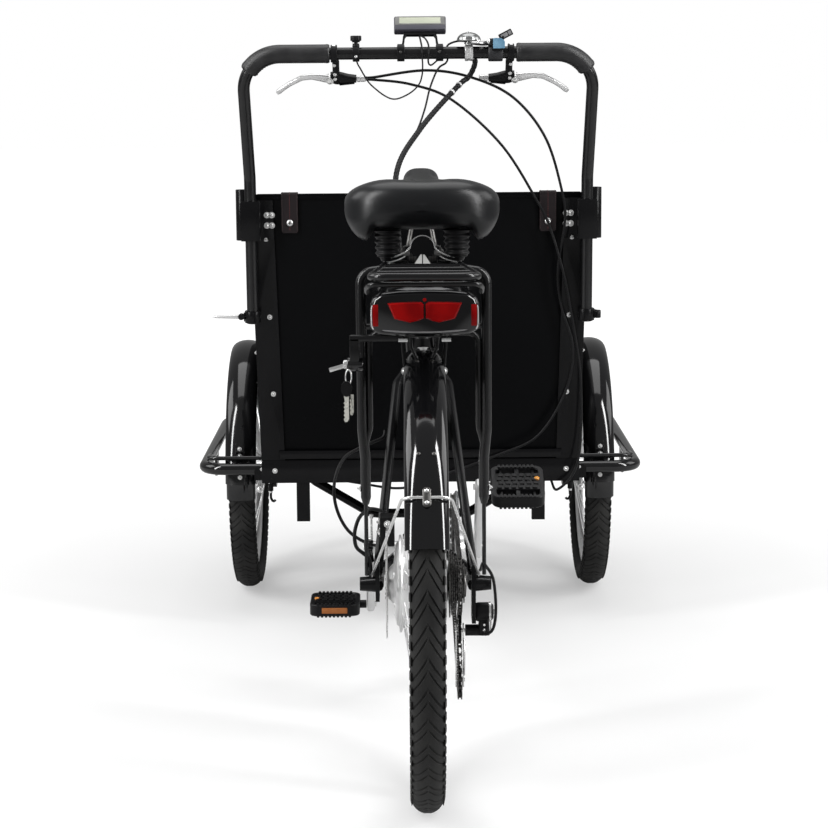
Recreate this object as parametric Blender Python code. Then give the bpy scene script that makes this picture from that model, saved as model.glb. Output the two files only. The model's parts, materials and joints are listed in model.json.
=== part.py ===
"""An electric cargo tricycle with a box between two front wheels, as separate pieces in metres.

+Y is forward, +X is the rider's right and +Z is up. The box, the front wheels and the
handlebar turn together about a pivot pin under the box. Every piece is a closed solid.
"""

import math

import bmesh
import bpy
from mathutils import Matrix, Vector

# Clearances
GAP = 0.0003
RUNNING_GAP = 0.0005
SMOOTH_ANGLE = math.radians(40)

# Wheels and wheelbase
WHEELBASE = 1.45
TRACK = 0.72
REAR_TYRE_RADIUS = 0.333
REAR_TYRE_WIDTH = 0.048
REAR_RIM_RADIUS = 0.285
FRONT_TYRE_RADIUS = 0.254
FRONT_TYRE_WIDTH = 0.052
FRONT_RIM_RADIUS = 0.2085
RIM_WIDTH = 0.027
RIM_DEPTH = 0.019
SPOKE_RADIUS = 0.0011
FRONT_SPOKES = 20
REAR_SPOKES = 24
FRONT_HUB_RADIUS = 0.017
FRONT_FLANGE_RADIUS = 0.030
FRONT_HUB_LENGTH = 0.072
FLANGE_WIDTH = 0.004
HUB_MOTOR_RADIUS = 0.072
HUB_MOTOR_WIDTH = 0.074
HUB_MOTOR_OFFSET = -0.006

# Box and its chassis
BOX_REACH = 0.42
BOX_SETBACK = 0.45
BOX_FLOOR_HEIGHT = 0.344
BOX_DEPTH = 0.51
BOX_FRONT_DROP = 0.11
BOX_HALF_BOTTOM = 0.3045
BOX_HALF_TOP = 0.318
BOX_REAR_LEAN = 0.031
BOX_FRONT_LEAN = 0.060
BOX_WALL = 0.012
POST_WIDTH = 0.045
POST_THICKNESS = 0.003
RIM_CAP_HEIGHT = 0.010
RIM_CAP_OVERHANG = 0.003
RAIL_HEIGHT = 0.044
RAIL_WIDTH = 0.030
LEG_SPAN = 0.452
LEG_WIDTH = 0.025
LEG_DEPTH = 0.016
LEG_LENGTH = 0.076
AXLE_PLATE_THICKNESS = 0.006
AXLE_PLATE_LENGTH = 0.060
BRAKE_PLATE_RADIUS = 0.045
BRAKE_PLATE_WIDTH = 0.010
STUB_RADIUS = 0.007
CRADLE_RADIUS = 0.0095
CRADLE_SPAN = 0.48
CRADLE_LOW = 0.172
PIVOT_SETBACK = 0.11
PIVOT_PIN_RADIUS = 0.018
PIVOT_SLEEVE_RADIUS = 0.030
PIVOT_COLLAR_RADIUS = 0.027
PIVOT_COLLAR_HEIGHT = 0.006

# Wheel guards and front mudguards
GUARD_TUBE_RADIUS = 0.0115
GUARD_REACH = 0.3113
GUARD_WHEEL_GAP = 0.0315
GUARD_HEIGHT = 0.303
GUARD_BEND = 0.045
GUARD_FLANGE = 0.004
GUARD_FLANGE_WIDTH = 0.036
GUARD_FLANGE_HEIGHT = 0.040
GUARD_PLATE_WIDTH = 0.046
GUARD_PLATE_THICKNESS = 0.006
GUARD_PLATE_DROP = 0.016
AXLE_CAP_RADIUS = 0.009
AXLE_CAP_LENGTH = 0.014
MUDGUARD_CLEARANCE = 0.012
MUDGUARD_SHEET = 0.0024
FRONT_MUDGUARD_WIDTH = 0.062
REAR_MUDGUARD_WIDTH = 0.060
MUDGUARD_DROP = 0.017
MUDGUARD_BRACKET_WIDTH = 0.048
MUDGUARD_BRACKET_THICKNESS = 0.003
MUDGUARD_ARM_RADIUS = 0.0035
MUDGUARD_ARM_RISE = 0.15

# Handlebar
BAR_RADIUS = 0.011
BAR_BORE = 0.0117
BAR_HALF_WIDTH = 0.3133
BAR_HALF_TOP = 0.3195
BAR_HEIGHT = 1.111
BAR_PULL_BACK = 0.075
BAR_KNEE_BEND = 0.045
BAR_CORNER_BEND = 0.068
BAR_BEND_STEPS = 5
GRIP_BEND_STEPS = 3
KNEE_RISE = 0.030
UPRIGHT_OFFSET = 0.0165
UPRIGHT_BOTTOM = 0.612
GRIP_RADIUS = 0.0172
GRIP_BORE = 0.0125
LEFT_GRIP_START = 0.160
RIGHT_GRIP_START = 0.178
BRACKET_HEIGHT = 0.074
BRACKET_HALF_WIDTH = 0.0175
BRACKET_DROP = 0.002
SOCKET_RADIUS = 0.0125
SOCKET_HEIGHT = 0.095
CLAMP_HEIGHT = 0.625
CLAMP_RING_RADIUS = 0.0155
CLAMP_RING_HEIGHT = 0.022
LEVER_BLADE_LENGTH = 0.056
CAM_RADIUS = 0.0060
CAM_LENGTH = 0.015

# Controls on the handlebar
LEFT_BRAKE_X = -0.152
RIGHT_BRAKE_X = 0.168
DISPLAY_X = 0.004
DISPLAY_WIDTH = 0.094
DISPLAY_HEIGHT = 0.045
DISPLAY_THICKNESS = 0.017
BUTTON_X = -0.112
BELL_X = 0.092
BELL_RADIUS = 0.022
BELL_LIFT = 0.021
STRIKER_OUT = 0.016
STRIKER_BACK = 0.022
SHIFTER_X = 0.140
SHIFTER_HALF = 0.0165
SHIFT_LEVER_PATH = ((0.003, -0.0025, 0.003), (0.014, -0.0025, 0.020), (0.026, -0.0025, 0.028))
BRAKE_DROP = math.radians(55)
BRAKE_PIVOT_REACH = 0.055
BRAKE_BODY_LENGTH = 0.040
BRAKE_BODY_START = 0.0185
BRAKE_BODY_HEIGHT = 0.016
BRAKE_NECK_HALF = 0.0095
BRAKE_ARM_START = 0.044
BRAKE_HUB_RADIUS = 0.0075
BRAKE_LEVER_LENGTH = 0.098
BARREL_LENGTH = 0.017
BARREL_RADIUS = 0.0062
DISPLAY_TILT = math.radians(28)
DISPLAY_LIFT = 0.026
DISPLAY_ARM = 0.035
DISPLAY_CLAMP_WIDTH = 0.013
BUTTON_RADIUS = 0.0100
BUTTON_HEIGHT = 0.010
BUTTON_POINTS = 6
BUTTON_LIFT = 0.0085
BUTTON_STEM_RADIUS = 0.0033
BUTTON_TRAVEL = 0.0015
STRAP_X = 0.2415
STRAP_WIDTH = 0.031
STRAP_THICKNESS = 0.0025
STRAP_LENGTH = 0.073
STRAP_INSIDE = 0.050
CABLE_RADIUS = 0.0025
CABLE_SLACK = 0.5
CABLE_LONGEST_STEP = 0.06
BUNDLE_RADIUS = 0.0050
BUNDLE_X = 0.1026

# Rear frame
BRACKET_AXLE_AHEAD = 0.46
BRACKET_AXLE_HEIGHT = 0.288
SEAT_ANGLE = math.radians(70)
SEAT_TUBE_LENGTH = 0.40
SEAT_TUBE_RADIUS = 0.0170
SEAT_POST_RADIUS = 0.0136
SEAT_POST_DEPTH = 0.16
SEAT_COLLAR_RADIUS = 0.0215
SEAT_COLLAR_HEIGHT = 0.018
MAIN_TUBE_RADIUS = 0.025
BRACE_RADIUS = 0.016
SHELL_RADIUS = 0.023
SHELL_HALF = 0.034
DROPOUT_INNER = 0.0675
DROPOUT_THICKNESS = 0.006
CHAINSTAY_RADIUS = 0.009
SEATSTAY_RADIUS = 0.0075
HANGER_DROP = 0.058
REAR_CAP_RADIUS = 0.0125
REAR_CAP_LENGTH = 0.023
REAR_CAP_TAPER = 0.82

# Drive
CRANK_LENGTH = 0.170
CRANK_ANGLE = math.radians(43)
CRANK_INNER = 0.084
CRANK_THICKNESS = 0.014
CRANK_AXLE_RADIUS = 0.011
CRANK_SECTION = ((-1, -0.6), (-0.6, -1), (0.6, -1), (1, -0.6), (1, 0.6), (0.6, 1), (-0.6, 1), (-1, 0.6))
CHAIN_LINE = 0.050
CHAIN_WIDTH = 0.007
CHAIN_HEIGHT = 0.009
CHAIN_LIFT = 0.0009
CHAINRING_RADIUS = 0.081
CHAINGUARD_RADIUS = 0.093
COG_RADIUS = 0.033
PEDAL_WIDTH = 0.086
PEDAL_LENGTH = 0.098
PEDAL_THICKNESS = 0.026
PEDAL_STUB = 0.011
PEDAL_TILT = math.radians(22)
PEDAL_CORNER = 0.014
ROTOR_RADIUS = 0.080
ROTOR_THICKNESS = 0.002
ROTOR_X = -0.057
PULLEY_RADIUS = 0.020
DERAILLEUR_DROP = 0.062
DERAILLEUR_DRUM_RADIUS = 0.0135
DERAILLEUR_DRUM_LENGTH = 0.026
CAGE_LENGTH = 0.090

# Saddle
SADDLE_WIDTH = 0.236
SADDLE_LENGTH = 0.285
SADDLE_NOSE_WIDTH = 0.058
SADDLE_TOP = 0.9185
SADDLE_NOSE_RISE = 0.0095
SADDLE_UNDER = 0.8425
SADDLE_HANG = 0.020
SADDLE_HANG_START = 0.082
SADDLE_NOSE_LIFT = 0.032
SADDLE_REAR_AHEAD = 0.105
SADDLE_DIP = 0.004
SADDLE_GROOVE = 0.004
SADDLE_WIDEST = 0.32
SADDLE_WAIST = 0.76
SADDLE_FLAT_SHARE = 0.45
SADDLE_REAR_ROUND = 0.17
SADDLE_NOSE_ROUND = 0.12
NOSE_HOLDER_BEHIND = 0.012
SADDLE_SEAT = 0.0006
CLAMP_HALF_HEIGHT = 0.009
POST_HEAD_HEIGHT = 0.020
SPRING_AHEAD = 0.052
SPRING_RADIUS = 0.0205
SPRING_HEIGHT = 0.040
SPRING_SPACING = 0.104
SPRING_RIBS = 4
SPRING_RIB_DEPTH = 0.003

# Rack and battery
RACK_HEIGHT = 0.800
RACK_FRONT_HEIGHT = 0.787
RACK_TUBE_RADIUS = 0.0058
RACK_HALF_WIDTH = 0.074
RACK_FRONT_HALF_WIDTH = 0.053
RACK_BEND = 0.022
RACK_BEHIND = 0.175
RACK_AHEAD = 0.205
RACK_LEG_X = 0.0935
RACK_LEG_RADIUS = 0.007
RACK_SLEEVE_RADIUS = 0.0105
RACK_SLEEVE_TOP = 0.765
RACK_SLEEVE_LOW = 0.56
RACK_LEG_END = 0.460
RACK_ROD_RADIUS = 0.003
RACK_STRUT_RADIUS = 0.004
BATTERY_HALF_WIDTH = 0.0745
BATTERY_BEHIND = 0.178
BATTERY_LENGTH = 0.345
BATTERY_BOTTOM = 0.718
BATTERY_HEIGHT = 0.0635
BATTERY_RAIL_THICKNESS = 0.005
LIGHT_THICKNESS = 0.010
LOCK_REACH = 0.108
LOCK_BEHIND = 0.12
LOCK_HEIGHT = 0.674

# Places worked out from the sizes above
REAR_AXLE_Y = (REAR_TYRE_RADIUS - WHEELBASE - BOX_REACH) / 2
FRONT_AXLE_Y = REAR_AXLE_Y + WHEELBASE
GUARD_HALF_SPAN = TRACK / 2 + FRONT_TYRE_WIDTH / 2 + GUARD_WHEEL_GAP + GUARD_TUBE_RADIUS
KNEE_HEIGHT = BOX_FLOOR_HEIGHT + BOX_DEPTH + KNEE_RISE
REAR_AXLE = Vector((0, REAR_AXLE_Y, REAR_TYRE_RADIUS))
CRANK_AXLE = Vector((0, REAR_AXLE_Y + BRACKET_AXLE_AHEAD, BRACKET_AXLE_HEIGHT))
PIVOT = Vector((0, FRONT_AXLE_Y - PIVOT_SETBACK, CRADLE_LOW))
RAIL_BOTTOM = BOX_FLOOR_HEIGHT - RAIL_HEIGHT
BOX_BASE = BOX_FLOOR_HEIGHT + GAP
BOX_TOP = BOX_FLOOR_HEIGHT + BOX_DEPTH
SEAT_WAY = Vector((0, -math.cos(SEAT_ANGLE), math.sin(SEAT_ANGLE)))
SEAT_TUBE_TOP = CRANK_AXLE + SEAT_WAY * SEAT_TUBE_LENGTH
PEDAL_X = CRANK_INNER + CRANK_THICKNESS + GAP + PEDAL_STUB

# Cable routes, as (across, ahead of the rear axle, up), for a bar this far above the box
ROUTE_RISE = 0.257
ROUTE_LEFT_HUB = [
    (0.014, 0.890, 1.080),
    (0.096, 0.890, 1.067),
    (0.173, 0.892, 1.030),
    (0.232, 0.900, 0.957),
    (0.265, 0.935, 0.858),
    (0.272, 0.952, 0.801),
    (0.2600, 0.965, 0.710),
    (0.2670, 0.970, 0.640),
    (0.289, 0.970, 0.562),
    (0.276, 0.978, 0.477),
    (0.224, 0.984, 0.391),
    (0.148, 0.986, 0.354),
    (0.060, 0.986, 0.322),
    (-0.030, 1.000, 0.289),
    (-0.120, 1.080, 0.284),
    (-0.225, 1.190, 0.284),
    (-0.264, 1.290, 0.278),
    (-0.270, 1.390, 0.266),
    (-0.286, 1.440, 0.258),
    (-0.2980, 1.440, 0.258),
]
ROUTE_RIGHT_HUB = [
    (-0.013, 0.900, 1.055),
    (0.062, 0.900, 1.026),
    (0.152, 0.903, 0.944),
    (0.217, 0.935, 0.843),
    (0.244, 0.955, 0.790),
    (0.268, 0.955, 0.710),
    (0.283, 0.962, 0.640),
    (0.297, 0.972, 0.559),
    (0.305, 0.978, 0.489),
    (0.305, 0.984, 0.377),
    (0.292, 0.984, 0.318),
    (0.262, 0.996, 0.284),
    (0.258, 1.100, 0.280),
    (0.264, 1.300, 0.276),
    (0.270, 1.400, 0.266),
    (0.286, 1.440, 0.260),
    (0.2980, 1.440, 0.260),
]
ROUTE_BUNDLE = [
    (0.092, 0.880, 1.068),
    (0.070, 0.860, 1.050),
    (0.001, 0.750, 0.976),
    (-0.040, 0.620, 0.905),
    (-0.036, 0.555, 0.790),
    (-0.016, 0.520, 0.650),
    (-0.002, 0.503, 0.560),
    (0.0, 0.500, 0.5045),
]
ROUTE_REAR_BRAKE = [
    (-0.0600, 0.224, 0.5250),
    (-0.0625, 0.214, 0.5160),
    (-0.088, 0.172, 0.511),
    (-0.120, 0.125, 0.500),
    (-0.135, 0.100, 0.468),
    (-0.133, 0.094, 0.430),
    (-0.116, 0.092, 0.395),
    (-0.088, 0.088, 0.376),
    (-0.062, 0.079, 0.374),
    (-0.050, 0.065, 0.391),
    (-0.050, 0.053, 0.4100),
    (-0.050, 0.0424, 0.4100),
]
ROUTE_SHIFT = [
    (0.0830, 0.085, 0.3330),
    (0.0835, 0.070, 0.3375),
    (0.0850, 0.025, 0.3570),
    (0.0880, -0.015, 0.3620),
    (0.0985, -0.024, 0.344),
    (0.1022, -0.026, 0.300),
    (0.0980, -0.026, 0.270),
    (0.0875, -0.015, 0.2590),
    (0.0875, -0.0014, 0.2590),
]

SURFACES = {
    "black_paint": ((0.012, 0.012, 0.013), 0.32, 0.0),
    "gloss_black": ((0.008, 0.008, 0.009), 0.12, 0.0),
    "box_panel": ((0.014, 0.015, 0.017), 0.45, 0.0),
    "tyre": ((0.028, 0.028, 0.030), 0.80, 0.0),
    "rubber": ((0.018, 0.018, 0.019), 0.70, 0.0),
    "steel": ((0.62, 0.62, 0.62), 0.25, 1.0),
    "aluminium": ((0.72, 0.72, 0.72), 0.35, 1.0),
    "black_plastic": ((0.020, 0.020, 0.022), 0.50, 0.0),
    "dark_steel": ((0.10, 0.10, 0.10), 0.35, 1.0),
    "vinyl": ((0.015, 0.015, 0.016), 0.42, 0.0),
    "leather": ((0.030, 0.016, 0.018), 0.60, 0.0),
    "red_lens": ((0.60, 0.02, 0.02), 0.15, 0.0),
    "screen_plastic": ((0.030, 0.031, 0.033), 0.35, 0.0),
    "grey_plastic": ((0.12, 0.12, 0.13), 0.40, 0.0),
    "clear_plastic": ((0.45, 0.46, 0.47), 0.25, 0.0),
}


# Building blocks


def surface(name):
    found = bpy.data.materials.get(name)
    if found:
        return found
    colour, roughness, metallic = SURFACES[name]
    made = bpy.data.materials.new(name)
    made.use_nodes = True
    shader = made.node_tree.nodes["Principled BSDF"]
    shader.inputs["Base Color"].default_value = (*colour, 1)
    shader.inputs["Roughness"].default_value = roughness
    shader.inputs["Metallic"].default_value = metallic
    made.diffuse_color = (*colour, 1)
    return made


def body(name, place, parent=None):
    """An empty on a joint's axis, which carries the pieces that move there."""
    empty = bpy.data.objects.new(name, None)
    bpy.context.collection.objects.link(empty)
    empty.parent = parent
    origin = parent["place"] if parent else (0, 0, 0)
    empty.location = Vector(place) - Vector(origin)
    empty["place"] = tuple(place)
    return empty


def face_outwards(shape):
    bmesh.ops.recalc_face_normals(shape, faces=shape.faces)
    if shape.calc_volume(signed=True) < 0:
        bmesh.ops.reverse_faces(shape, faces=shape.faces)


def piece(name, shape, finish, carrier):
    """A named object from a bmesh in world places, carried by the empty of its body."""
    mesh = bpy.data.meshes.new(name)
    face_outwards(shape)
    shape.to_mesh(mesh)
    shape.free()
    place = Vector(carrier["place"])
    mesh.transform(Matrix.Translation(-place))
    mesh.shade_smooth()
    mesh.set_sharp_from_angle(angle=SMOOTH_ANGLE)
    mesh.materials.append(surface(finish))
    obj = bpy.data.objects.new(name, mesh)
    bpy.context.collection.objects.link(obj)
    obj.parent = carrier
    return obj


def tool(obj, shape, operation):
    mesh = bpy.data.meshes.new(obj.name + "_shape")
    face_outwards(shape)
    shape.to_mesh(mesh)
    shape.free()
    helper = bpy.data.objects.new(mesh.name, mesh)
    bpy.context.collection.objects.link(helper)
    helper.hide_render = True
    helper.display_type = "WIRE"
    change = obj.modifiers.new(operation.title(), "BOOLEAN")
    change.operation = operation
    change.solver = "EXACT"
    change.object = helper
    return change


def fuse(obj, *shapes):
    for shape in shapes:
        tool(obj, shape, "UNION")


def cut(obj, *shapes):
    for shape in shapes:
        tool(obj, shape, "DIFFERENCE")


def soften(obj, width, segments=1):
    bevel = obj.modifiers.new("Soft edges", "BEVEL")
    bevel.width = width
    bevel.segments = segments
    bevel.limit_method = "ANGLE"
    bevel.angle_limit = math.radians(50)


def block(low, high, turn=None, about=None):
    """A box between two opposite corners, turned by a matrix about a point."""
    low, high = Vector(low), Vector(high)
    shape = bmesh.new()
    bmesh.ops.create_cube(shape, size=1)
    size = high - low
    bmesh.ops.scale(shape, vec=size, verts=shape.verts)
    bmesh.ops.translate(shape, vec=(low + high) / 2, verts=shape.verts)
    if turn:
        bmesh.ops.rotate(shape, cent=about or (low + high) / 2, matrix=turn, verts=shape.verts)
    return shape


def rod(start, end, radius, sides=12, end_radius=None):
    start, end = Vector(start), Vector(end)
    shape = bmesh.new()
    way = end - start
    bmesh.ops.create_cone(
        shape,
        cap_ends=True,
        segments=sides,
        radius1=radius,
        radius2=radius if end_radius is None else end_radius,
        depth=way.length,
    )
    shape.transform(Matrix.Translation((start + end) / 2) @ way.to_track_quat("Z", "Y").to_matrix().to_4x4())
    return shape


def ring_points(radius, sides, squash=1.0):
    turns = [2 * math.pi * k / sides for k in range(sides)]
    return [(radius * math.cos(a), radius * squash * math.sin(a)) for a in turns]


def sweep(points, outline, closed=False, side=None):
    """An outline of (across, along) pairs carried along a path, with flat ends unless the path is closed."""
    points = [Vector(p) for p in points]
    count = len(points)
    shape = bmesh.new()
    rings = []
    across = Vector(side) if side else None
    for k, point in enumerate(points):
        before = points[k - 1] if k or closed else point
        after = points[(k + 1) % count] if k < count - 1 or closed else point
        way = (after - before).normalized()
        if across is None:
            across = way.orthogonal()
        across = (across - way * across.dot(way)).normalized()
        other = way.cross(across)
        rings.append([shape.verts.new(point + across * u + other * v) for u, v in outline])
    pairs = list(zip(rings, rings[1:]))
    if closed:
        pairs.append((rings[-1], rings[0]))
    for first, second in pairs:
        for k in range(len(outline)):
            after = (k + 1) % len(outline)
            shape.faces.new((first[k], first[after], second[after], second[k]))
    if not closed:
        shape.faces.new(rings[0])
        shape.faces.new(rings[-1])
    return shape


def tube(points, radius, sides=10, closed=False):
    return sweep(points, ring_points(radius, sides), closed)


def rounded(points, radius, steps=4):
    """The path through points with each inner corner an arc, of one radius or of one for each corner."""
    points = [Vector(p) for p in points]
    path = [points[0]]
    radii = list(radius) if isinstance(radius, tuple) else [radius] * (len(points) - 2)
    for before, corner, after, radius in zip(points, points[1:], points[2:], radii):
        to_before = (before - corner).normalized()
        to_after = (after - corner).normalized()
        half = to_before.angle(to_after) / 2
        reach = radius / math.tan(half)
        centre = corner + (to_before + to_after).normalized() * (radius / math.sin(half))
        start = corner + to_before * reach - centre
        end = corner + to_after * reach - centre
        for k in range(steps + 1):
            path.append(centre + start.slerp(end, k / steps) * radius)
    path.append(points[-1])
    return path


def smooth(points, spacing):
    """Points at even steps along a smooth curve through the route's own points."""
    points = [Vector(p) for p in points]
    ends = [2 * points[0] - points[1], *points, 2 * points[-1] - points[-2]]
    path = [points[0]]
    for a, b, c, d in zip(ends, ends[1:], ends[2:], ends[3:]):
        count = max(1, round((c - b).length / spacing))
        for k in range(1, count + 1):
            t = k / count
            straight = 2 * b + (c - a) * t
            bend = (2 * a - 5 * b + 4 * c - d) * t**2
            twist = (3 * b - a - 3 * c + d) * t**3
            path.append(0.5 * (straight + bend + twist))
    return path


def thinned(path, slack):
    """The path without the points that lie within the slack of a straight run."""
    keep = [0]
    first = 0
    for k in range(2, len(path)):
        run = path[k] - path[first]
        off = [(p - path[first]).cross(run).length / run.length for p in path[first + 1 : k]]
        if max(off) > slack or run.length > CABLE_LONGEST_STEP:
            first = k - 1
            keep.append(first)
    keep.append(len(path) - 1)
    return [path[k] for k in keep]


def cable(name, points, radius, finish, carrier):
    curve = bpy.data.curves.new(name, "CURVE")
    curve.dimensions = "3D"
    curve.bevel_depth = radius
    curve.bevel_resolution = 2
    curve.use_fill_caps = True
    middle = thinned(smooth(points[1:-1], radius * 2), radius * CABLE_SLACK)
    path = [Vector(points[0]), *middle, Vector(points[-1])]
    line = curve.splines.new("POLY")
    line.points.add(len(path) - 1)
    place = Vector(carrier["place"])
    for spot, point in zip(line.points, path):
        spot.co = (*(point - place), 1)
    line.use_smooth = True
    curve.materials.append(surface(finish))
    obj = bpy.data.objects.new(name, curve)
    bpy.context.collection.objects.link(obj)
    obj.parent = carrier
    return obj


def turned_spot(along, out, angle, axis, centre):
    if axis == "X":
        spot = (along, -out * math.sin(angle), out * math.cos(angle))
    elif axis == "Y":
        spot = (out * math.sin(angle), along, out * math.cos(angle))
    else:
        spot = (out * math.sin(angle), out * math.cos(angle), along)
    return Vector(spot) + Vector(centre)


def turned(profile, centre, axis="X", sides=32, start=0.0, sweep_angle=2 * math.pi):
    """A closed outline of (along the axis, from the axis) pairs, turned about the axis.

    A full turn gives a ring, and a part turn gives an arc with flat ends. Angles are from
    straight up, towards the rear for an X axis.
    """
    full = sweep_angle >= 2 * math.pi - 1e-6
    count = sides if full else sides + 1
    shape = bmesh.new()
    rings = []
    for k in range(count):
        angle = start + sweep_angle * k / sides
        spots = [turned_spot(along, out, angle, axis, centre) for along, out in profile]
        rings.append([shape.verts.new(spot) for spot in spots])
    pairs = list(zip(rings, rings[1:]))
    if full:
        pairs.append((rings[-1], rings[0]))
    for first, second in pairs:
        for k in range(len(profile)):
            after = (k + 1) % len(profile)
            shape.faces.new((first[k], first[after], second[after], second[k]))
    if not full:
        shape.faces.new(rings[0])
        shape.faces.new(rings[-1])
    return shape


def solid_of_turn(profile, centre, axis="Z", sides=20):
    """A solid from (along, out) pairs whose first and last pairs lie on the axis."""
    shape = bmesh.new()
    rings = []
    for along, out in profile[1:-1]:
        turns = [2 * math.pi * k / sides for k in range(sides)]
        rings.append([shape.verts.new(turned_spot(along, out, a, axis, centre)) for a in turns])
    ends = [shape.verts.new(turned_spot(profile[k][0], 0, 0, axis, centre)) for k in (0, -1)]
    for k in range(sides):
        after = (k + 1) % sides
        for first, second in zip(rings, rings[1:]):
            shape.faces.new((first[k], first[after], second[after], second[k]))
        shape.faces.new((ends[0], rings[0][after], rings[0][k]))
        shape.faces.new((ends[1], rings[-1][k], rings[-1][after]))
    return shape


def loft(lower, upper):
    """A solid between two outlines of as many points."""
    shape = bmesh.new()
    first = [shape.verts.new(p) for p in lower]
    second = [shape.verts.new(p) for p in upper]
    count = len(first)
    for k in range(count):
        after = (k + 1) % count
        shape.faces.new((first[k], first[after], second[after], second[k]))
    shape.faces.new(first)
    shape.faces.new(second)
    return shape


def together(*shapes):
    """Several shapes in one bmesh, for a tool whose parts don't touch."""
    whole = bmesh.new()
    for shape in shapes:
        mesh = bpy.data.meshes.new("part")
        shape.to_mesh(mesh)
        whole.from_mesh(mesh)
        shape.free()
        bpy.data.meshes.remove(mesh)
    return whole


# The box's slanting faces


def box_rear(height):
    """Where the rear face of the box lies at a height."""
    share = (height - BOX_BASE) / (BOX_TOP - BOX_BASE)
    return FRONT_AXLE_Y - BOX_SETBACK - BOX_REAR_LEAN * share


def box_front(height):
    share = (height - BOX_BASE) / (BOX_TOP - BOX_FRONT_DROP - BOX_BASE)
    return FRONT_AXLE_Y + BOX_REACH - BOX_FRONT_LEAN * (1 - share)


def box_half(height):
    share = (height - BOX_BASE) / (BOX_TOP - BOX_BASE)
    return BOX_HALF_BOTTOM + (BOX_HALF_TOP - BOX_HALF_BOTTOM) * share


def upright_y(height):
    """Where the axis of a handlebar upright lies while it stands behind the box."""
    return box_rear(height) - UPRIGHT_OFFSET


def shell_outline(top):
    """The sides and the front in one bent sheet, open at the rear."""
    inset = POST_THICKNESS + GAP
    rear_height = BOX_TOP if top else BOX_BASE
    front_height = BOX_TOP - BOX_FRONT_DROP if top else BOX_BASE
    rear = box_rear(rear_height) + inset
    front = box_front(front_height)
    wide, narrow = box_half(rear_height) - inset, box_half(front_height) - inset
    return [
        (-wide, rear, rear_height),
        (-narrow, front, front_height),
        (narrow, front, front_height),
        (wide, rear, rear_height),
        (wide - BOX_WALL, rear, rear_height),
        (narrow - BOX_WALL, front - BOX_WALL, front_height),
        (-narrow + BOX_WALL, front - BOX_WALL, front_height),
        (-wide + BOX_WALL, rear, rear_height),
    ]


def box_pieces(front):
    piece("box_shell", loft(shell_outline(False), shell_outline(True)), "box_panel", front)
    inset = POST_THICKNESS + GAP

    def rear_section(side):
        """The rear panel's cross-section, with a cap along its top."""
        cap = BOX_TOP - RIM_CAP_HEIGHT
        spots = [
            (box_rear(BOX_BASE) + inset, BOX_BASE),
            (box_rear(cap) + inset, cap),
            (box_rear(cap) + inset - RIM_CAP_OVERHANG, cap),
            (box_rear(BOX_TOP) + inset - RIM_CAP_OVERHANG, BOX_TOP),
            (box_rear(BOX_TOP) + inset + BOX_WALL, BOX_TOP),
            (box_rear(BOX_BASE) + inset + BOX_WALL, BOX_BASE),
        ]
        return [(side * (box_half(z) - inset - BOX_WALL - GAP), y, z) for y, z in spots]

    piece("box_wall_rear", loft(rear_section(-1), rear_section(1)), "box_panel", front)
    floor_top = BOX_BASE + BOX_WALL
    low = [
        (side * (box_half(BOX_BASE) - inset - BOX_WALL - GAP), y, BOX_BASE)
        for side, y in (
            (-1, box_rear(BOX_BASE) + inset + BOX_WALL + GAP),
            (-1, box_front(BOX_BASE) - BOX_WALL - GAP),
            (1, box_front(BOX_BASE) - BOX_WALL - GAP),
            (1, box_rear(BOX_BASE) + inset + BOX_WALL + GAP),
        )
    ]
    high = [(x, y, floor_top) for x, y, z in low]
    piece("box_floor", loft(low, high), "box_panel", front)


def corner_post(side, front):
    """An angle profile over the rear corner, with the lower guide ring of the upright."""

    def angle_outline(height):
        outer, back = box_half(height), box_rear(height)
        spots = [
            (outer, back),
            (outer, back + POST_WIDTH),
            (outer - POST_THICKNESS, back + POST_WIDTH),
            (outer - POST_THICKNESS, back + POST_THICKNESS),
            (outer - POST_WIDTH, back + POST_THICKNESS),
            (outer - POST_WIDTH, back),
        ]
        return [(side * x, y, height) for x, y in spots]

    top = BOX_TOP - RIM_CAP_HEIGHT - GAP
    name = "corner_post_left" if side < 0 else "corner_post_right"
    post = piece(name, loft(angle_outline(BOX_BASE), angle_outline(top)), "black_paint", front)
    low, high = CLAMP_HEIGHT - CLAMP_RING_HEIGHT / 2, CLAMP_HEIGHT + CLAMP_RING_HEIGHT / 2
    x = side * BAR_HALF_WIDTH
    ring = rod((x, upright_y(low), low), (x, upright_y(high), high), CLAMP_RING_RADIUS, 14)
    web = block(
        (x - 0.008, upright_y(CLAMP_HEIGHT), low + 0.003),
        (x + 0.008, box_rear(CLAMP_HEIGHT) + POST_THICKNESS / 2, high - 0.003),
    )
    bore_low, bore_high = low - 0.01, high + 0.01
    bore = rod(
        (x, upright_y(bore_low), bore_low),
        (x, upright_y(bore_high), bore_high),
        BAR_BORE,
        12,
    )
    fuse(post, web, ring)
    cut(post, bore)
    upper_guide(side, post)


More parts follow.
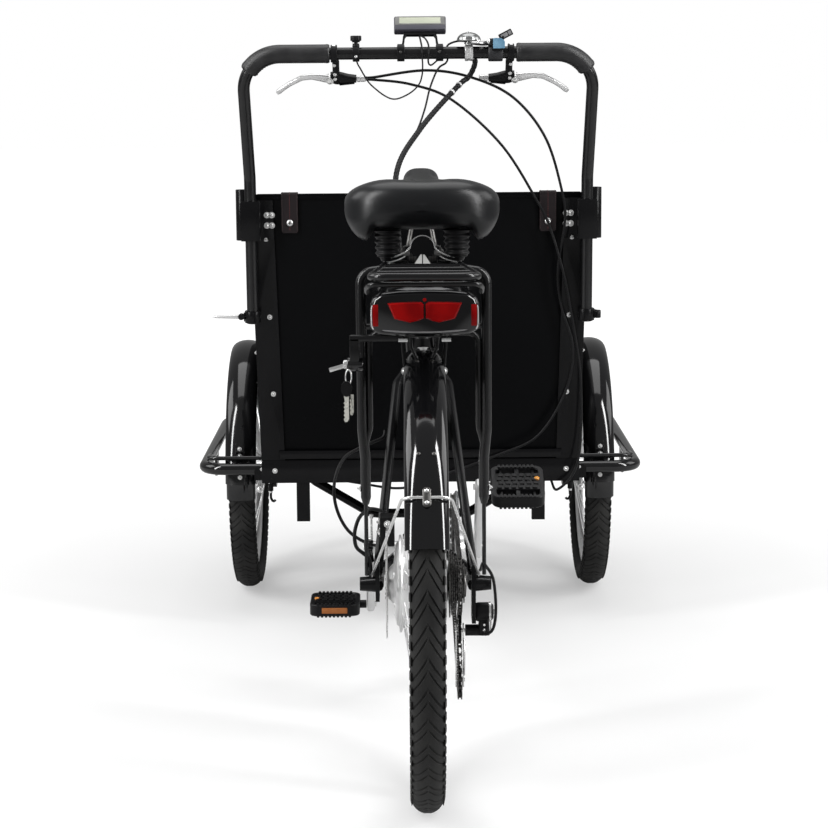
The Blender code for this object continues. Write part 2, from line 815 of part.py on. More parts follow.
def chassis(front):
    """The rails under the box, with the legs, the axle plates, the cradle tube and the pivot pin."""
    back, ahead = box_rear(BOX_BASE), box_front(BOX_BASE)
    half = BOX_HALF_BOTTOM
    rails = piece(
        "front_chassis",
        block((-half, back, RAIL_BOTTOM), (half, ahead, BOX_FLOOR_HEIGHT)),
        "black_paint",
        front,
    )
    middle = PIVOT.y
    for low, high in ((back, middle - RAIL_WIDTH / 2), (middle + RAIL_WIDTH / 2, ahead)):
        first = low + RAIL_WIDTH if low == back else low
        last = high - RAIL_WIDTH if high == ahead else high
        cut(
            rails,
            block(
                (RAIL_WIDTH - half, first, RAIL_BOTTOM - 0.01),
                (half - RAIL_WIDTH, last, BOX_FLOOR_HEIGHT + 0.01),
            ),
        )
    for side in (-1, 1):
        leg_x = side * LEG_SPAN / 2
        fuse(
            rails,
            block(
                (leg_x - LEG_WIDTH / 2, back + 0.004, RAIL_BOTTOM - LEG_LENGTH),
                (leg_x + LEG_WIDTH / 2, back + 0.004 + LEG_DEPTH, RAIL_BOTTOM + 0.010),
            ),
        )
        outer = side * half
        inner = side * (half - AXLE_PLATE_THICKNESS)
        fuse(
            rails,
            block(
                (min(outer, inner), FRONT_AXLE_Y - AXLE_PLATE_LENGTH / 2, FRONT_TYRE_RADIUS - 0.022),
                (max(outer, inner), FRONT_AXLE_Y + AXLE_PLATE_LENGTH / 2, RAIL_BOTTOM + 0.010),
            ),
            rod(
                (outer - side * 0.002, FRONT_AXLE_Y, FRONT_TYRE_RADIUS),
                (outer + side * BRAKE_PLATE_WIDTH, FRONT_AXLE_Y, FRONT_TYRE_RADIUS),
                BRAKE_PLATE_RADIUS,
                18,
            ),
        )
    top = RAIL_BOTTOM + 0.010
    half_cradle = CRADLE_SPAN / 2
    cradle = [
        (-half_cradle, PIVOT.y, top),
        (-half_cradle, PIVOT.y, RAIL_BOTTOM - 0.045),
        (-half_cradle * 0.42, PIVOT.y, CRADLE_LOW),
        (half_cradle * 0.42, PIVOT.y, CRADLE_LOW),
        (half_cradle, PIVOT.y, RAIL_BOTTOM - 0.045),
        (half_cradle, PIVOT.y, top),
    ]
    fuse(
        rails,
        tube(rounded(cradle, 0.05, 3), CRADLE_RADIUS, 8),
        rod(PIVOT - Vector((0, 0, CRADLE_RADIUS)), (0, PIVOT.y, top), PIVOT_PIN_RADIUS, 16),
        rod(
            PIVOT - Vector((0, 0, CRADLE_RADIUS)),
            PIVOT + Vector((0, 0, CRADLE_RADIUS + PIVOT_COLLAR_HEIGHT)),
            PIVOT_COLLAR_RADIUS,
            16,
        ),
    )


def guard(side, front):
    """The tube round a front wheel, with the plate that holds the outer end of its axle."""
    face = BOX_HALF_BOTTOM + GAP
    back, ahead = FRONT_AXLE_Y - GUARD_REACH, FRONT_AXLE_Y + GUARD_REACH
    path = [
        (side * face, back, GUARD_HEIGHT),
        (side * GUARD_HALF_SPAN, back, GUARD_HEIGHT),
        (side * GUARD_HALF_SPAN, ahead, GUARD_HEIGHT),
        (side * face, ahead, GUARD_HEIGHT),
    ]
    name = "wheel_guard_left" if side < 0 else "wheel_guard_right"
    loop = piece(name, tube(rounded(path, GUARD_BEND, 3), GUARD_TUBE_RADIUS, 8), "gloss_black", front)
    for y in (back, ahead):
        xs = sorted((side * face, side * (face + GUARD_FLANGE)))
        fuse(
            loop,
            block(
                (xs[0], y - GUARD_FLANGE_WIDTH / 2, RAIL_BOTTOM - GUARD_FLANGE_HEIGHT / 4),
                (xs[1], y + GUARD_FLANGE_WIDTH / 2, RAIL_BOTTOM + GUARD_FLANGE_HEIGHT * 3 / 4),
            ),
        )
    half_plate = GUARD_PLATE_THICKNESS / 2
    plate = sorted((side * (GUARD_HALF_SPAN - half_plate), side * (GUARD_HALF_SPAN + half_plate)))
    fuse(
        loop,
        block(
            (plate[0], FRONT_AXLE_Y - GUARD_PLATE_WIDTH / 2, FRONT_TYRE_RADIUS - GUARD_PLATE_DROP),
            (plate[1], FRONT_AXLE_Y + GUARD_PLATE_WIDTH / 2, GUARD_HEIGHT),
        ),
        rod(
            (side * GUARD_HALF_SPAN, FRONT_AXLE_Y, FRONT_TYRE_RADIUS),
            (side * (GUARD_HALF_SPAN + half_plate + AXLE_CAP_LENGTH), FRONT_AXLE_Y, FRONT_TYRE_RADIUS),
            AXLE_CAP_RADIUS,
        ),
    )


def mudguard_outline(radius, width, arch):
    """The cross-section of a mudguard, arched over the tyre, as (along the axle, from the axle) pairs."""
    turns = [math.pi * (k / arch - 0.5) for k in range(arch + 1)]
    outer = [
        (width / 2 * math.sin(a), radius - MUDGUARD_DROP * (1 - math.cos(a))) for a in turns
    ]
    inner = [
        (
            (width / 2 - MUDGUARD_SHEET) * math.sin(a),
            radius - MUDGUARD_SHEET - (MUDGUARD_DROP - MUDGUARD_SHEET) * (1 - math.cos(a)),
        )
        for a in reversed(turns)
    ]
    # The two rims end on one level, so the lips are square to the sheet.
    outer[0] = (outer[0][0], inner[-1][1])
    outer[-1] = (outer[-1][0], inner[0][1])
    return outer + inner


def front_mudguard(side, front):
    radius = FRONT_TYRE_RADIUS + MUDGUARD_CLEARANCE + MUDGUARD_SHEET
    centre = (side * TRACK / 2, FRONT_AXLE_Y, FRONT_TYRE_RADIUS)
    start, end = math.radians(-62), math.radians(88)
    arc = turned(
        mudguard_outline(radius, FRONT_MUDGUARD_WIDTH, 4), centre, "X", 12, start, end - start
    )
    name = "front_mudguard_left" if side < 0 else "front_mudguard_right"
    made = piece(name, arc, "gloss_black", front)
    back = FRONT_AXLE_Y - GUARD_REACH + GUARD_TUBE_RADIUS + GAP
    half = MUDGUARD_BRACKET_WIDTH / 2
    fuse(
        made,
        block(
            (centre[0] - half, back, GUARD_HEIGHT - MUDGUARD_BRACKET_THICKNESS),
            (centre[0] + half, FRONT_AXLE_Y - radius + MUDGUARD_DROP * 0.36, GUARD_HEIGHT),
        ),
    )
    middle = side * (TRACK / 2 - FRONT_MUDGUARD_WIDTH / 2)
    height = GUARD_HEIGHT + MUDGUARD_ARM_RISE
    wall = side * (box_half(height) + GAP)
    reach = math.sqrt(max(0.0, (radius - MUDGUARD_DROP * 0.82) ** 2 - (height - FRONT_TYRE_RADIUS) ** 2))
    fuse(
        made,
        rod(
            (middle + side * MUDGUARD_SHEET * 1.25, FRONT_AXLE_Y - reach, height),
            (wall + side * GAP * 5, FRONT_AXLE_Y - reach, height),
            MUDGUARD_ARM_RADIUS,
            8,
        ),
    )


def wheel_outline(tyre_radius, tyre_width, rim_radius):
    """The tyre's and the rim's closed cross-sections, as (along the axle, from the axle) pairs."""
    half = tyre_width / 2
    height = tyre_radius - rim_radius
    seat = RIM_WIDTH / 2
    start = math.asin(min(0.95, seat / half))
    turns = [start + (2 * math.pi - 2 * start) * k / 7 for k in range(8)]
    centre = tyre_radius - height / 2
    peak = max(-math.cos(a) for a in turns)
    tyre = [(half * math.sin(a), centre - height / 2 * math.cos(a) / peak) for a in turns]
    tyre = [(x, max(out, rim_radius)) for x, out in tyre]
    top = min(out for x, out in tyre) - GAP
    rim = [
        (-seat, top),
        (seat, top),
        (seat * 0.92, top - 0.009),
        (seat * 0.35, top - RIM_DEPTH),
        (-seat * 0.35, top - RIM_DEPTH),
        (-seat * 0.92, top - 0.009),
    ]
    return tyre, rim


def spokes(centre, count, flange_radius, flange_x, rim_radius):
    """Radial spokes from two flanges to the rim, with a side to each flange in turn."""
    made = []
    for k in range(count):
        angle = 2 * math.pi * (k + 0.21) / count
        way = Vector((0, math.sin(angle), math.cos(angle)))
        side = flange_x[k % 2]
        start = Vector(centre) + Vector((side, 0, 0)) + way * (flange_radius - 0.003)
        end = Vector(centre) + Vector((0.002 if side > 0 else -0.002, 0, 0)) + way * (rim_radius + 0.003)
        made.append(rod(start, end, SPOKE_RADIUS, 3))
    return together(*made)


def front_wheel(side, spin):
    centre = (side * TRACK / 2, FRONT_AXLE_Y, FRONT_TYRE_RADIUS)
    word = "left" if side < 0 else "right"
    tyre, rim = wheel_outline(FRONT_TYRE_RADIUS, FRONT_TYRE_WIDTH, FRONT_RIM_RADIUS)
    piece(f"front_tyre_{word}", turned(tyre, centre, "X", 32), "tyre", spin)
    wheel = piece(f"front_wheel_{word}", turned(rim, centre, "X", 32), "aluminium", spin)
    inner = side * (BOX_HALF_BOTTOM + BRAKE_PLATE_WIDTH + GAP) - centre[0]
    outer = side * (GUARD_HALF_SPAN - GUARD_PLATE_THICKNESS / 2 - GAP) - centre[0]
    half = FRONT_HUB_LENGTH / 2
    sign = side
    hub = [
        (inner, 0),
        (inner, STUB_RADIUS),
        (-sign * half, STUB_RADIUS),
        (-sign * half, FRONT_FLANGE_RADIUS),
        (-sign * (half - FLANGE_WIDTH), FRONT_FLANGE_RADIUS),
        (-sign * (half - FLANGE_WIDTH), FRONT_HUB_RADIUS),
        (sign * (half - FLANGE_WIDTH), FRONT_HUB_RADIUS),
        (sign * (half - FLANGE_WIDTH), FRONT_FLANGE_RADIUS),
        (sign * half, FRONT_FLANGE_RADIUS),
        (sign * half, STUB_RADIUS),
        (outer, STUB_RADIUS),
        (outer, 0),
    ]
    lowest = min(out for along, out in rim)
    flange = half - FLANGE_WIDTH / 2
    fuse(
        wheel,
        spokes(centre, FRONT_SPOKES, FRONT_FLANGE_RADIUS, (-flange, flange), lowest),
        solid_of_turn(hub, centre, "X", 10),
    )


def rear_wheel(spin, cog_spin):
    tyre, rim = wheel_outline(REAR_TYRE_RADIUS, REAR_TYRE_WIDTH, REAR_RIM_RADIUS)
    centre = REAR_AXLE
    piece("rear_tyre", turned(tyre, centre, "X", 36), "tyre", spin)
    left = HUB_MOTOR_OFFSET - HUB_MOTOR_WIDTH / 2
    right = HUB_MOTOR_OFFSET + HUB_MOTOR_WIDTH / 2
    rotor_side = ROTOR_X + ROTOR_THICKNESS / 2 + GAP
    motor = [
        (rotor_side, 0),
        (rotor_side, 0.022),
        (left - 0.004, 0.030),
        (left, HUB_MOTOR_RADIUS - 0.010),
        (left + 0.004, HUB_MOTOR_RADIUS),
        (right - 0.004, HUB_MOTOR_RADIUS),
        (right, HUB_MOTOR_RADIUS - 0.012),
        (right + 0.002, 0.024),
        (right + 0.002, 0),
    ]
    lowest = min(out for along, out in rim)
    wheel = piece("rear_wheel", turned(rim, centre, "X", 36), "aluminium", spin)
    reach = HUB_MOTOR_WIDTH / 2 - 0.012
    flanges = (HUB_MOTOR_OFFSET - reach, HUB_MOTOR_OFFSET + reach)
    fuse(
        wheel,
        spokes(centre, REAR_SPOKES, HUB_MOTOR_RADIUS, flanges, lowest),
        solid_of_turn(motor, centre, "X", 22),
    )
    rotor = piece(
        "brake_rotor",
        rod(
            (ROTOR_X - ROTOR_THICKNESS / 2, centre.y, centre.z),
            (ROTOR_X + ROTOR_THICKNESS / 2, centre.y, centre.z),
            ROTOR_RADIUS,
            24,
        ),
        "steel",
        spin,
    )
    slots = []
    for k in range(6):
        angle = 2 * math.pi * (k + 0.5) / 6
        spot = Vector((ROTOR_X, centre.y - 0.045 * math.sin(angle), centre.z + 0.045 * math.cos(angle)))
        slots.append(rod(spot - Vector((0.01, 0, 0)), spot + Vector((0.01, 0, 0)), 0.015, 6))
    cut(rotor, together(*slots))
    inner = right + 0.002 + GAP
    first = CHAIN_LINE - CHAIN_WIDTH / 2 - GAP
    last = CHAIN_LINE + CHAIN_WIDTH / 2 + GAP
    stay_side = DROPOUT_INNER + DROPOUT_THICKNESS / 2 - CHAINSTAY_RADIUS - RUNNING_GAP
    cogs = [
        (inner, 0),
        (inner, COG_RADIUS + 0.018),
        (first - 0.006, COG_RADIUS + 0.018),
        (first - 0.006, COG_RADIUS + 0.009),
        (first, COG_RADIUS + 0.009),
        (first, COG_RADIUS),
        (last, COG_RADIUS),
        (last, COG_RADIUS - 0.008),
        (stay_side, COG_RADIUS - 0.008),
        (stay_side, 0.010),
        (DROPOUT_INNER - GAP, 0.010),
        (DROPOUT_INNER - GAP, 0),
    ]
    piece("cassette", solid_of_turn(cogs, centre, "X", 16), "dark_steel", cog_spin)


def rear_frame(rear):
    """Seat tube, main tube to the pivot, brace, stays and dropouts, with the nuts under their caps."""
    frame = piece(
        "rear_frame",
        rod(
            CRANK_AXLE - Vector((SHELL_HALF, 0, 0)),
            CRANK_AXLE + Vector((SHELL_HALF, 0, 0)),
            SHELL_RADIUS,
            18,
        ),
        "black_paint",
        rear,
    )
    sleeve_low = PIVOT.z + CRADLE_RADIUS + PIVOT_COLLAR_HEIGHT + GAP
    sleeve_high = sleeve_low + 0.075
    tail = Vector((0, PIVOT.y, (sleeve_low + sleeve_high) / 2))
    brace_foot = CRANK_AXLE.lerp(tail, 0.46)
    brace_head = CRANK_AXLE + SEAT_WAY * (SEAT_TUBE_LENGTH * 0.62)
    fuse(
        frame,
        rod(CRANK_AXLE, SEAT_TUBE_TOP, SEAT_TUBE_RADIUS, 14),
        rod(CRANK_AXLE, tail, MAIN_TUBE_RADIUS, 14),
        tube(
            rounded([brace_head, brace_head + Vector((0, 0.16, -0.045)), brace_foot], 0.10, 3),
            BRACE_RADIUS,
            10,
        ),
        rod((0, PIVOT.y, sleeve_low), (0, PIVOT.y, sleeve_high), PIVOT_SLEEVE_RADIUS, 18),
        rod(
            SEAT_TUBE_TOP - SEAT_WAY * SEAT_COLLAR_HEIGHT,
            SEAT_TUBE_TOP + SEAT_WAY * 0.002,
            SEAT_COLLAR_RADIUS,
            16,
        ),
    )
    middle = DROPOUT_INNER + DROPOUT_THICKNESS / 2
    for side in (-1, 1):
        xs = sorted((side * DROPOUT_INNER, side * (DROPOUT_INNER + DROPOUT_THICKNESS)))
        chainstay = [
            CRANK_AXLE + Vector((side * 0.026, -0.012, 0.004)),
            CRANK_AXLE + Vector((side * 0.039, -0.085, 0.008)),
            REAR_AXLE + Vector((side * middle, 0.13, -0.012)),
            REAR_AXLE + Vector((side * middle, 0.012, -0.006)),
        ]
        seatstay = [
            SEAT_TUBE_TOP - SEAT_WAY * 0.045 + Vector((side * 0.011, 0, 0)),
            SEAT_TUBE_TOP - SEAT_WAY * 0.060 + Vector((side * 0.041, -0.045, -0.020)),
            REAR_AXLE + Vector((side * middle, 0.010, 0.014)),
        ]
        cap = side * (DROPOUT_INNER + DROPOUT_THICKNESS)
        fuse(
            frame,
            tube(rounded(chainstay, 0.06, 2), CHAINSTAY_RADIUS, 8),
            tube(rounded(seatstay, 0.02, 2), SEATSTAY_RADIUS, 8),
            block(
                (xs[0], REAR_AXLE.y - 0.014, REAR_AXLE.z - (0.024 if side < 0 else HANGER_DROP)),
                (xs[1], REAR_AXLE.y + 0.030, REAR_AXLE.z + 0.030),
            ),
            rod(
                (cap - side * 0.001, REAR_AXLE.y, REAR_AXLE.z),
                (cap + side * REAR_CAP_LENGTH, REAR_AXLE.y, REAR_AXLE.z),
                REAR_CAP_RADIUS,
                12,
                REAR_CAP_RADIUS * REAR_CAP_TAPER,
            ),
        )
    # The seat post's bore, the crank axle's bore and the pivot pin's bore
    cut(
        frame,
        rod(
            SEAT_TUBE_TOP - SEAT_WAY * (SEAT_POST_DEPTH + 0.04),
            SEAT_TUBE_TOP + SEAT_WAY * 0.02,
            SEAT_POST_RADIUS + RUNNING_GAP,
            14,
        ),
        rod(
            CRANK_AXLE - Vector((0.1, 0, 0)),
            CRANK_AXLE + Vector((0.1, 0, 0)),
            CRANK_AXLE_RADIUS + RUNNING_GAP,
            12,
        ),
        rod(
            (0, PIVOT.y, sleeve_low - 0.01),
            (0, PIVOT.y, sleeve_high + 0.01),
            PIVOT_PIN_RADIUS + RUNNING_GAP,
            16,
        ),
    )


def rear_mudguard(rear):
    radius = REAR_TYRE_RADIUS + MUDGUARD_CLEARANCE + MUDGUARD_SHEET
    start, end = math.radians(-48), math.radians(69.5)
    arc = turned(
        mudguard_outline(radius, REAR_MUDGUARD_WIDTH, 4), REAR_AXLE, "X", 12, start, end - start
    )
    piece("rear_mudguard", arc, "gloss_black", rear)
    at = math.radians(58)
    wire = 0.0023
    reach = radius + wire + GAP
    top = REAR_AXLE + Vector((0, -reach * math.sin(at), reach * math.cos(at)))
    foot_x = DROPOUT_INNER + DROPOUT_THICKNESS + wire + 0.0025
    width = REAR_MUDGUARD_WIDTH / 2 + wire + 0.004
    foot = Vector((foot_x, REAR_AXLE.y - 0.004, REAR_AXLE.z + REAR_CAP_RADIUS + wire + GAP))
    path = [
        (-foot.x, foot.y, foot.z),
        (-width, top.y + 0.012, top.z - 0.006),
        (-width + 0.012, top.y, top.z),
        (width - 0.012, top.y, top.z),
        (width, top.y + 0.012, top.z - 0.006),
        (foot.x, foot.y, foot.z),
    ]
    stay = piece("mudguard_stay", tube(rounded(path, 0.008, 2), wire, 8), "aluminium", rear)
    fuse(
        stay,
        block(
            top + Vector((-0.007, -0.0035, -0.013)),
            top + Vector((0.007, 0.0022, 0.013)),
            Matrix.Rotation(at - math.pi / 2, 3, "X"),
            top,
        ),
    )


def saddle_share(y):
    return (y - REAR_AXLE_Y - SADDLE_REAR_AHEAD) / SADDLE_LENGTH


def eased(value):
    """A smooth step from 0 to 1."""
    value = min(1.0, max(0.0, value))
    return value * value * (3 - 2 * value)


def quarter(value, power):
    """A rounded rise from 0 to 1, as along a quarter of a squared ellipse."""
    value = min(1.0, max(0.0, value))
    return (1 - (1 - value) ** power) ** (1 / power)


def saddle_crown(along):
    """The height of the cushion's middle line, which rises to the nose."""
    dip = SADDLE_DIP * math.sin(math.pi * along) ** 2
    return SADDLE_TOP - dip + SADDLE_NOSE_RISE * eased(2.5 * along - 1.4)


def saddle_under(y):
    """The height of the cushion's underside, flat over the springs and rising to the nose."""
    lift = SADDLE_NOSE_LIFT * eased((saddle_share(y) - SADDLE_FLAT_SHARE) * 2)
    return SADDLE_UNDER + lift


def saddle_hang(x, along):
    """How far the underside hangs below its middle, outside the springs and near the rear."""
    outside = eased((abs(x) - SADDLE_HANG_START) / 0.02)
    return SADDLE_HANG * outside * math.exp(-(((along - 0.24) / 0.20) ** 2))


def saddle_half_width(along):
    nose = SADDLE_NOSE_WIDTH / 2
    if along < SADDLE_WIDEST:
        return SADDLE_WIDTH / 2 * quarter(along / SADDLE_WIDEST, 2.5)
    waist = 1 - eased((along - SADDLE_WIDEST) / (SADDLE_WAIST - SADDLE_WIDEST))
    return nose + (SADDLE_WIDTH / 2 - nose) * waist


def saddle_cushion(carrier):
    """The cushion, with a crown, rounded sides and a flat underside."""
    back = REAR_AXLE_Y + SADDLE_REAR_AHEAD
    stations = 18
    around = 18
    shape = bmesh.new()
    rings = []
    for k in range(stations + 1):
        along = (1 - math.cos(math.pi * k / stations)) / 2
        y = back + SADDLE_LENGTH * along
        end = quarter((1 - along) / SADDLE_NOSE_ROUND, 2.0)
        half = max(saddle_half_width(along) * end, 0.004)
        crown, under = saddle_crown(along), saddle_under(y)
        middle = under + (crown - under) * 0.45
        height = max(0.15, quarter(along / SADDLE_REAR_ROUND, 2.2) * end)
        ring = []
        for j in range(around):
            angle = 2 * math.pi * (j + 0.5) / around
            c, s = math.cos(angle), math.sin(angle)
            power = 0.72 if s > 0 else 0.60
            x = half * math.copysign(abs(c) ** power, c)
            reach = crown - middle if s > 0 else middle - under
            if s > 0:
                sink = SADDLE_GROOVE * math.exp(-((x / 0.02) ** 2)) * math.sin(math.pi * along)
            else:
                sink = saddle_hang(x, along)
            z = middle + height * (reach * math.copysign(abs(s) ** power, s) - sink)
            ring.append(shape.verts.new((x, y, z)))
        rings.append(ring)
    for first, second in zip(rings, rings[1:]):
        for j in range(around):
            after = (j + 1) % around
            shape.faces.new((first[j], first[after], second[after], second[j]))
    shape.faces.new(rings[0])
    shape.faces.new(rings[-1])
    piece("saddle", shape, "vinyl", carrier)


def rail_height():
    """The height of the saddle rails, below the springs."""
    spring_y = REAR_AXLE_Y + SADDLE_REAR_AHEAD + SPRING_AHEAD
    return saddle_under(spring_y) - SADDLE_SEAT - SPRING_HEIGHT - 0.003


def post_head():
    """The middle of the seat post's head, just below the saddle clamp."""
    height = rail_height() - CLAMP_HALF_HEIGHT - GAP - POST_HEAD_HEIGHT / 2
    return SEAT_TUBE_TOP + SEAT_WAY * ((height - SEAT_TUBE_TOP.z) / SEAT_WAY.z)


def saddle_frame(carrier):
    """Rails, their clamp and the two ribbed springs under the saddle."""
    head = post_head()
    spring_y = REAR_AXLE_Y + SADDLE_REAR_AHEAD + SPRING_AHEAD
    spring_top = saddle_under(spring_y) - SADDLE_SEAT
    spring_low = spring_top - SPRING_HEIGHT
    nose_y = REAR_AXLE_Y + SADDLE_REAR_AHEAD + SADDLE_LENGTH - 0.045
    nose_z = saddle_under(nose_y - NOSE_HOLDER_BEHIND) - SADDLE_SEAT
    rail_z = rail_height()
    bar = block(
        (-SPRING_SPACING / 2 - 0.012, spring_y - 0.010, rail_z - 0.003),
        (SPRING_SPACING / 2 + 0.012, spring_y + 0.010, spring_low + 0.001),
    )
    frame = piece("saddle_frame", bar, "rubber", carrier)
    for side in (-1, 1):
        profile = [(spring_low, 0)]
        for k in range(2 * SPRING_RIBS + 1):
            out = SPRING_RADIUS - (SPRING_RIB_DEPTH if k % 2 else 0)
            profile.append((spring_low + SPRING_HEIGHT * k / (2 * SPRING_RIBS), out))
        profile.append((spring_top, 0))
        nose = (side * 0.010, nose_y, nose_z - 0.006)
        rail = [
            (side * SPRING_SPACING / 2 * 0.6, spring_y, rail_z),
            (side * 0.022, spring_y + 0.060, rail_z),
            (side * 0.022, head.y + 0.035, rail_z + 0.002),
            nose,
        ]
        fuse(
            frame,
            solid_of_turn(profile, (side * SPRING_SPACING / 2, spring_y, 0), "Z", 10),
            tube(rounded(rail, 0.03, 2), 0.0037, 6),
        )
    fuse(
        frame,
        block(
            (-0.028, head.y - 0.013, rail_z - CLAMP_HALF_HEIGHT),
            (0.028, head.y + 0.013, rail_z + CLAMP_HALF_HEIGHT),
        ),
        block((-0.014, nose_y - NOSE_HOLDER_BEHIND, nose_z - 0.011), (0.014, nose_y + 0.006, nose_z)),
    )


def seat_post(carrier):
    head = post_head()
    post = piece(
        "seat_post",
        rod(SEAT_TUBE_TOP - SEAT_WAY * SEAT_POST_DEPTH, head, SEAT_POST_RADIUS, 14),
        "aluminium",
        carrier,
    )
    half = POST_HEAD_HEIGHT / 2
    fuse(post, block(head - Vector((0.016, 0.014, half)), head + Vector((0.016, 0.014, half))))


def rack_spot(side, ahead, lift=0.0):
    """A place on the rack's side tube, or across it for a side below one."""
    share = (ahead + RACK_BEHIND) / (RACK_AHEAD + RACK_BEHIND)
    half = RACK_HALF_WIDTH + (RACK_FRONT_HALF_WIDTH - RACK_HALF_WIDTH) * share
    height = RACK_HEIGHT + (RACK_FRONT_HEIGHT - RACK_HEIGHT) * share
    return Vector((side * half, REAR_AXLE_Y + ahead, height + lift))


def rack(rear):
    loop = [
        rack_spot(0, -RACK_BEHIND),
        rack_spot(-1, -RACK_BEHIND),
        rack_spot(-1, RACK_AHEAD),
        rack_spot(1, RACK_AHEAD),
        rack_spot(1, -RACK_BEHIND),
        rack_spot(0, -RACK_BEHIND),
    ]
    path = rounded(loop, RACK_BEND, 3)[1:-1]
    deck = piece("rack", tube(path, RACK_TUBE_RADIUS, 8, closed=True), "black_paint", rear)
    foot = REAR_TYRE_RADIUS + REAR_CAP_RADIUS + GAP
    for side in (-1, 1):
        x = side * RACK_LEG_X
        top = rack_spot(side, 0)
        leg = [top, (x, REAR_AXLE_Y, top.z), (x, REAR_AXLE_Y, RACK_LEG_END)]
        low = (side * (SEAT_TUBE_RADIUS + RACK_STRUT_RADIUS + GAP), SEAT_TUBE_TOP.y, SEAT_TUBE_TOP.z - 0.030)
        fuse(
            deck,
            tube(rounded(leg, 0.02, 2), RACK_LEG_RADIUS, 8),
            rod((x, REAR_AXLE_Y, RACK_SLEEVE_LOW), (x, REAR_AXLE_Y, RACK_SLEEVE_TOP), RACK_SLEEVE_RADIUS, 8),
            rod((x, REAR_AXLE_Y, RACK_LEG_END + 0.01), (x, REAR_AXLE_Y, foot), RACK_ROD_RADIUS, 6),
            rod(rack_spot(side * 0.6, RACK_AHEAD), low, RACK_STRUT_RADIUS, 6),
        )
    for share in (0.25, 0.5, 0.75):
        ahead = share * (RACK_AHEAD + RACK_BEHIND) - RACK_BEHIND
        fuse(deck, rod(rack_spot(-1, ahead), rack_spot(1, ahead), 0.004, 6))
    rail_top = BATTERY_BOTTOM - GAP
    rail_low = rail_top - BATTERY_RAIL_THICKNESS
    fuse(
        deck,
        rod(
            (-RACK_LEG_X, REAR_AXLE_Y, rail_top - 0.0045),
            (RACK_LEG_X, REAR_AXLE_Y, rail_top - 0.0045),
            0.004,
            8,
        ),
        block(
            (-0.030, REAR_AXLE_Y - BATTERY_BEHIND + 0.04, rail_low),
            (0.030, REAR_AXLE_Y - BATTERY_BEHIND + BATTERY_LENGTH - 0.01, rail_top),
        ),
        block(
            (lock_face().x + 0.004, lock_face().y - 0.008, rail_low - 0.006),
            (-0.020, lock_face().y + 0.008, rail_low + 0.002),
        ),
        block(
            (lock_face().x + 0.004, lock_face().y - 0.008, lock_face().z),
            (lock_face().x + 0.017, lock_face().y + 0.008, rail_low - 0.002),
        ),
        rod(lock_face(), lock_face() + Vector((0.022, 0, 0)), 0.0095, 14),
    )


def lock_face():
    """The middle of the face of the battery's lock, left of the rail."""
    return Vector((-LOCK_REACH, REAR_AXLE_Y - LOCK_BEHIND, LOCK_HEIGHT))


def light_outline(inset, top):
    """The rear light's tapered outline, as (across, up), drawn in from its edge by the inset."""
    upper, lower = 0.051 - inset, 0.040 - inset
    high, low = top - 0.015 - inset, top - 0.041 + inset
    return (-upper, high), (-lower, low), (lower, low), (upper, high)


def battery_pieces(pack):
    back = REAR_AXLE_Y - BATTERY_BEHIND
    top = BATTERY_BOTTOM + BATTERY_HEIGHT
    case = piece(
        "battery",
        block((-BATTERY_HALF_WIDTH, back, BATTERY_BOTTOM), (BATTERY_HALF_WIDTH, back + BATTERY_LENGTH, top)),
        "black_plastic",
        pack,
    )
    soften(case, 0.009, 2)
    lens = loft(
        [
            (x, back - GAP, z)
            for x, z in light_outline(0.0, top)
        ],
        [
            (x, back - GAP - LIGHT_THICKNESS, z)
            for x, z in light_outline(0.002, top)
        ],
    )
    piece("rear_light", lens, "red_lens", pack)


def battery_key(turn):
    """The key in the battery's lock, which hangs from the rack's rail."""
    start = Vector(turn["place"]) - Vector((GAP, 0, 0))
    key = piece("battery_key", rod(start, start - Vector((0.005, 0, 0)), 0.006, 12), "black_plastic", turn)
    fuse(
        key,
        block(start + Vector((-0.026, -0.0018, -0.009)), start + Vector((-0.012, 0.0018, 0.009))),
        block(start + Vector((-0.014, -0.0010, -0.004)), start + Vector((-0.004, 0.0010, 0.004))),
    )


def chain_path():
    """The chain's centre line: over the ring, over the cog, round both pulleys and back."""
    lift = CHAIN_HEIGHT / 2 + CHAIN_LIFT
    upper, lower = pulleys()
    wheels = [
        (CRANK_AXLE, CHAINRING_RADIUS + lift, 1, 14),
        (REAR_AXLE, COG_RADIUS + lift, 1, 8),
        (upper, PULLEY_RADIUS + lift, -1, 5),
        (lower, PULLEY_RADIUS + lift, 1, 6),
    ]
    legs = [chain_leg(first, second) for first, second in zip(wheels, wheels[1:] + wheels[:1])]
    stops = []
    for k, (centre, radius, turn, steps) in enumerate(wheels):
        first = legs[k - 1] - turn * math.pi / 2
        last = legs[k] - turn * math.pi / 2
        swept = (turn * (last - first)) % (2 * math.pi)
        for j in range(steps + 1):
            a = first + turn * swept * j / steps
            stops.append((CHAIN_LINE, centre.y + radius * math.cos(a), centre.z + radius * math.sin(a)))
    return stops


def chain_leg(first, second):
    """The angle of the straight run between two wheels, each turned one way (1) or the other (-1)."""
    run = second[0] - first[0]
    run.x = 0
    return math.atan2(run.z, run.y) + math.asin((first[1] * first[2] - second[1] * second[2]) / run.length)


def pulleys():
    """The centres of the two small wheels in the derailleur's cage."""
    upper = REAR_AXLE + Vector((0, 0.012, -DERAILLEUR_DROP - 0.012))
    lower = upper + Vector((0, 0.010, -CAGE_LENGTH + 0.012))
    upper.x = lower.x = CHAIN_LINE
    return upper, lower


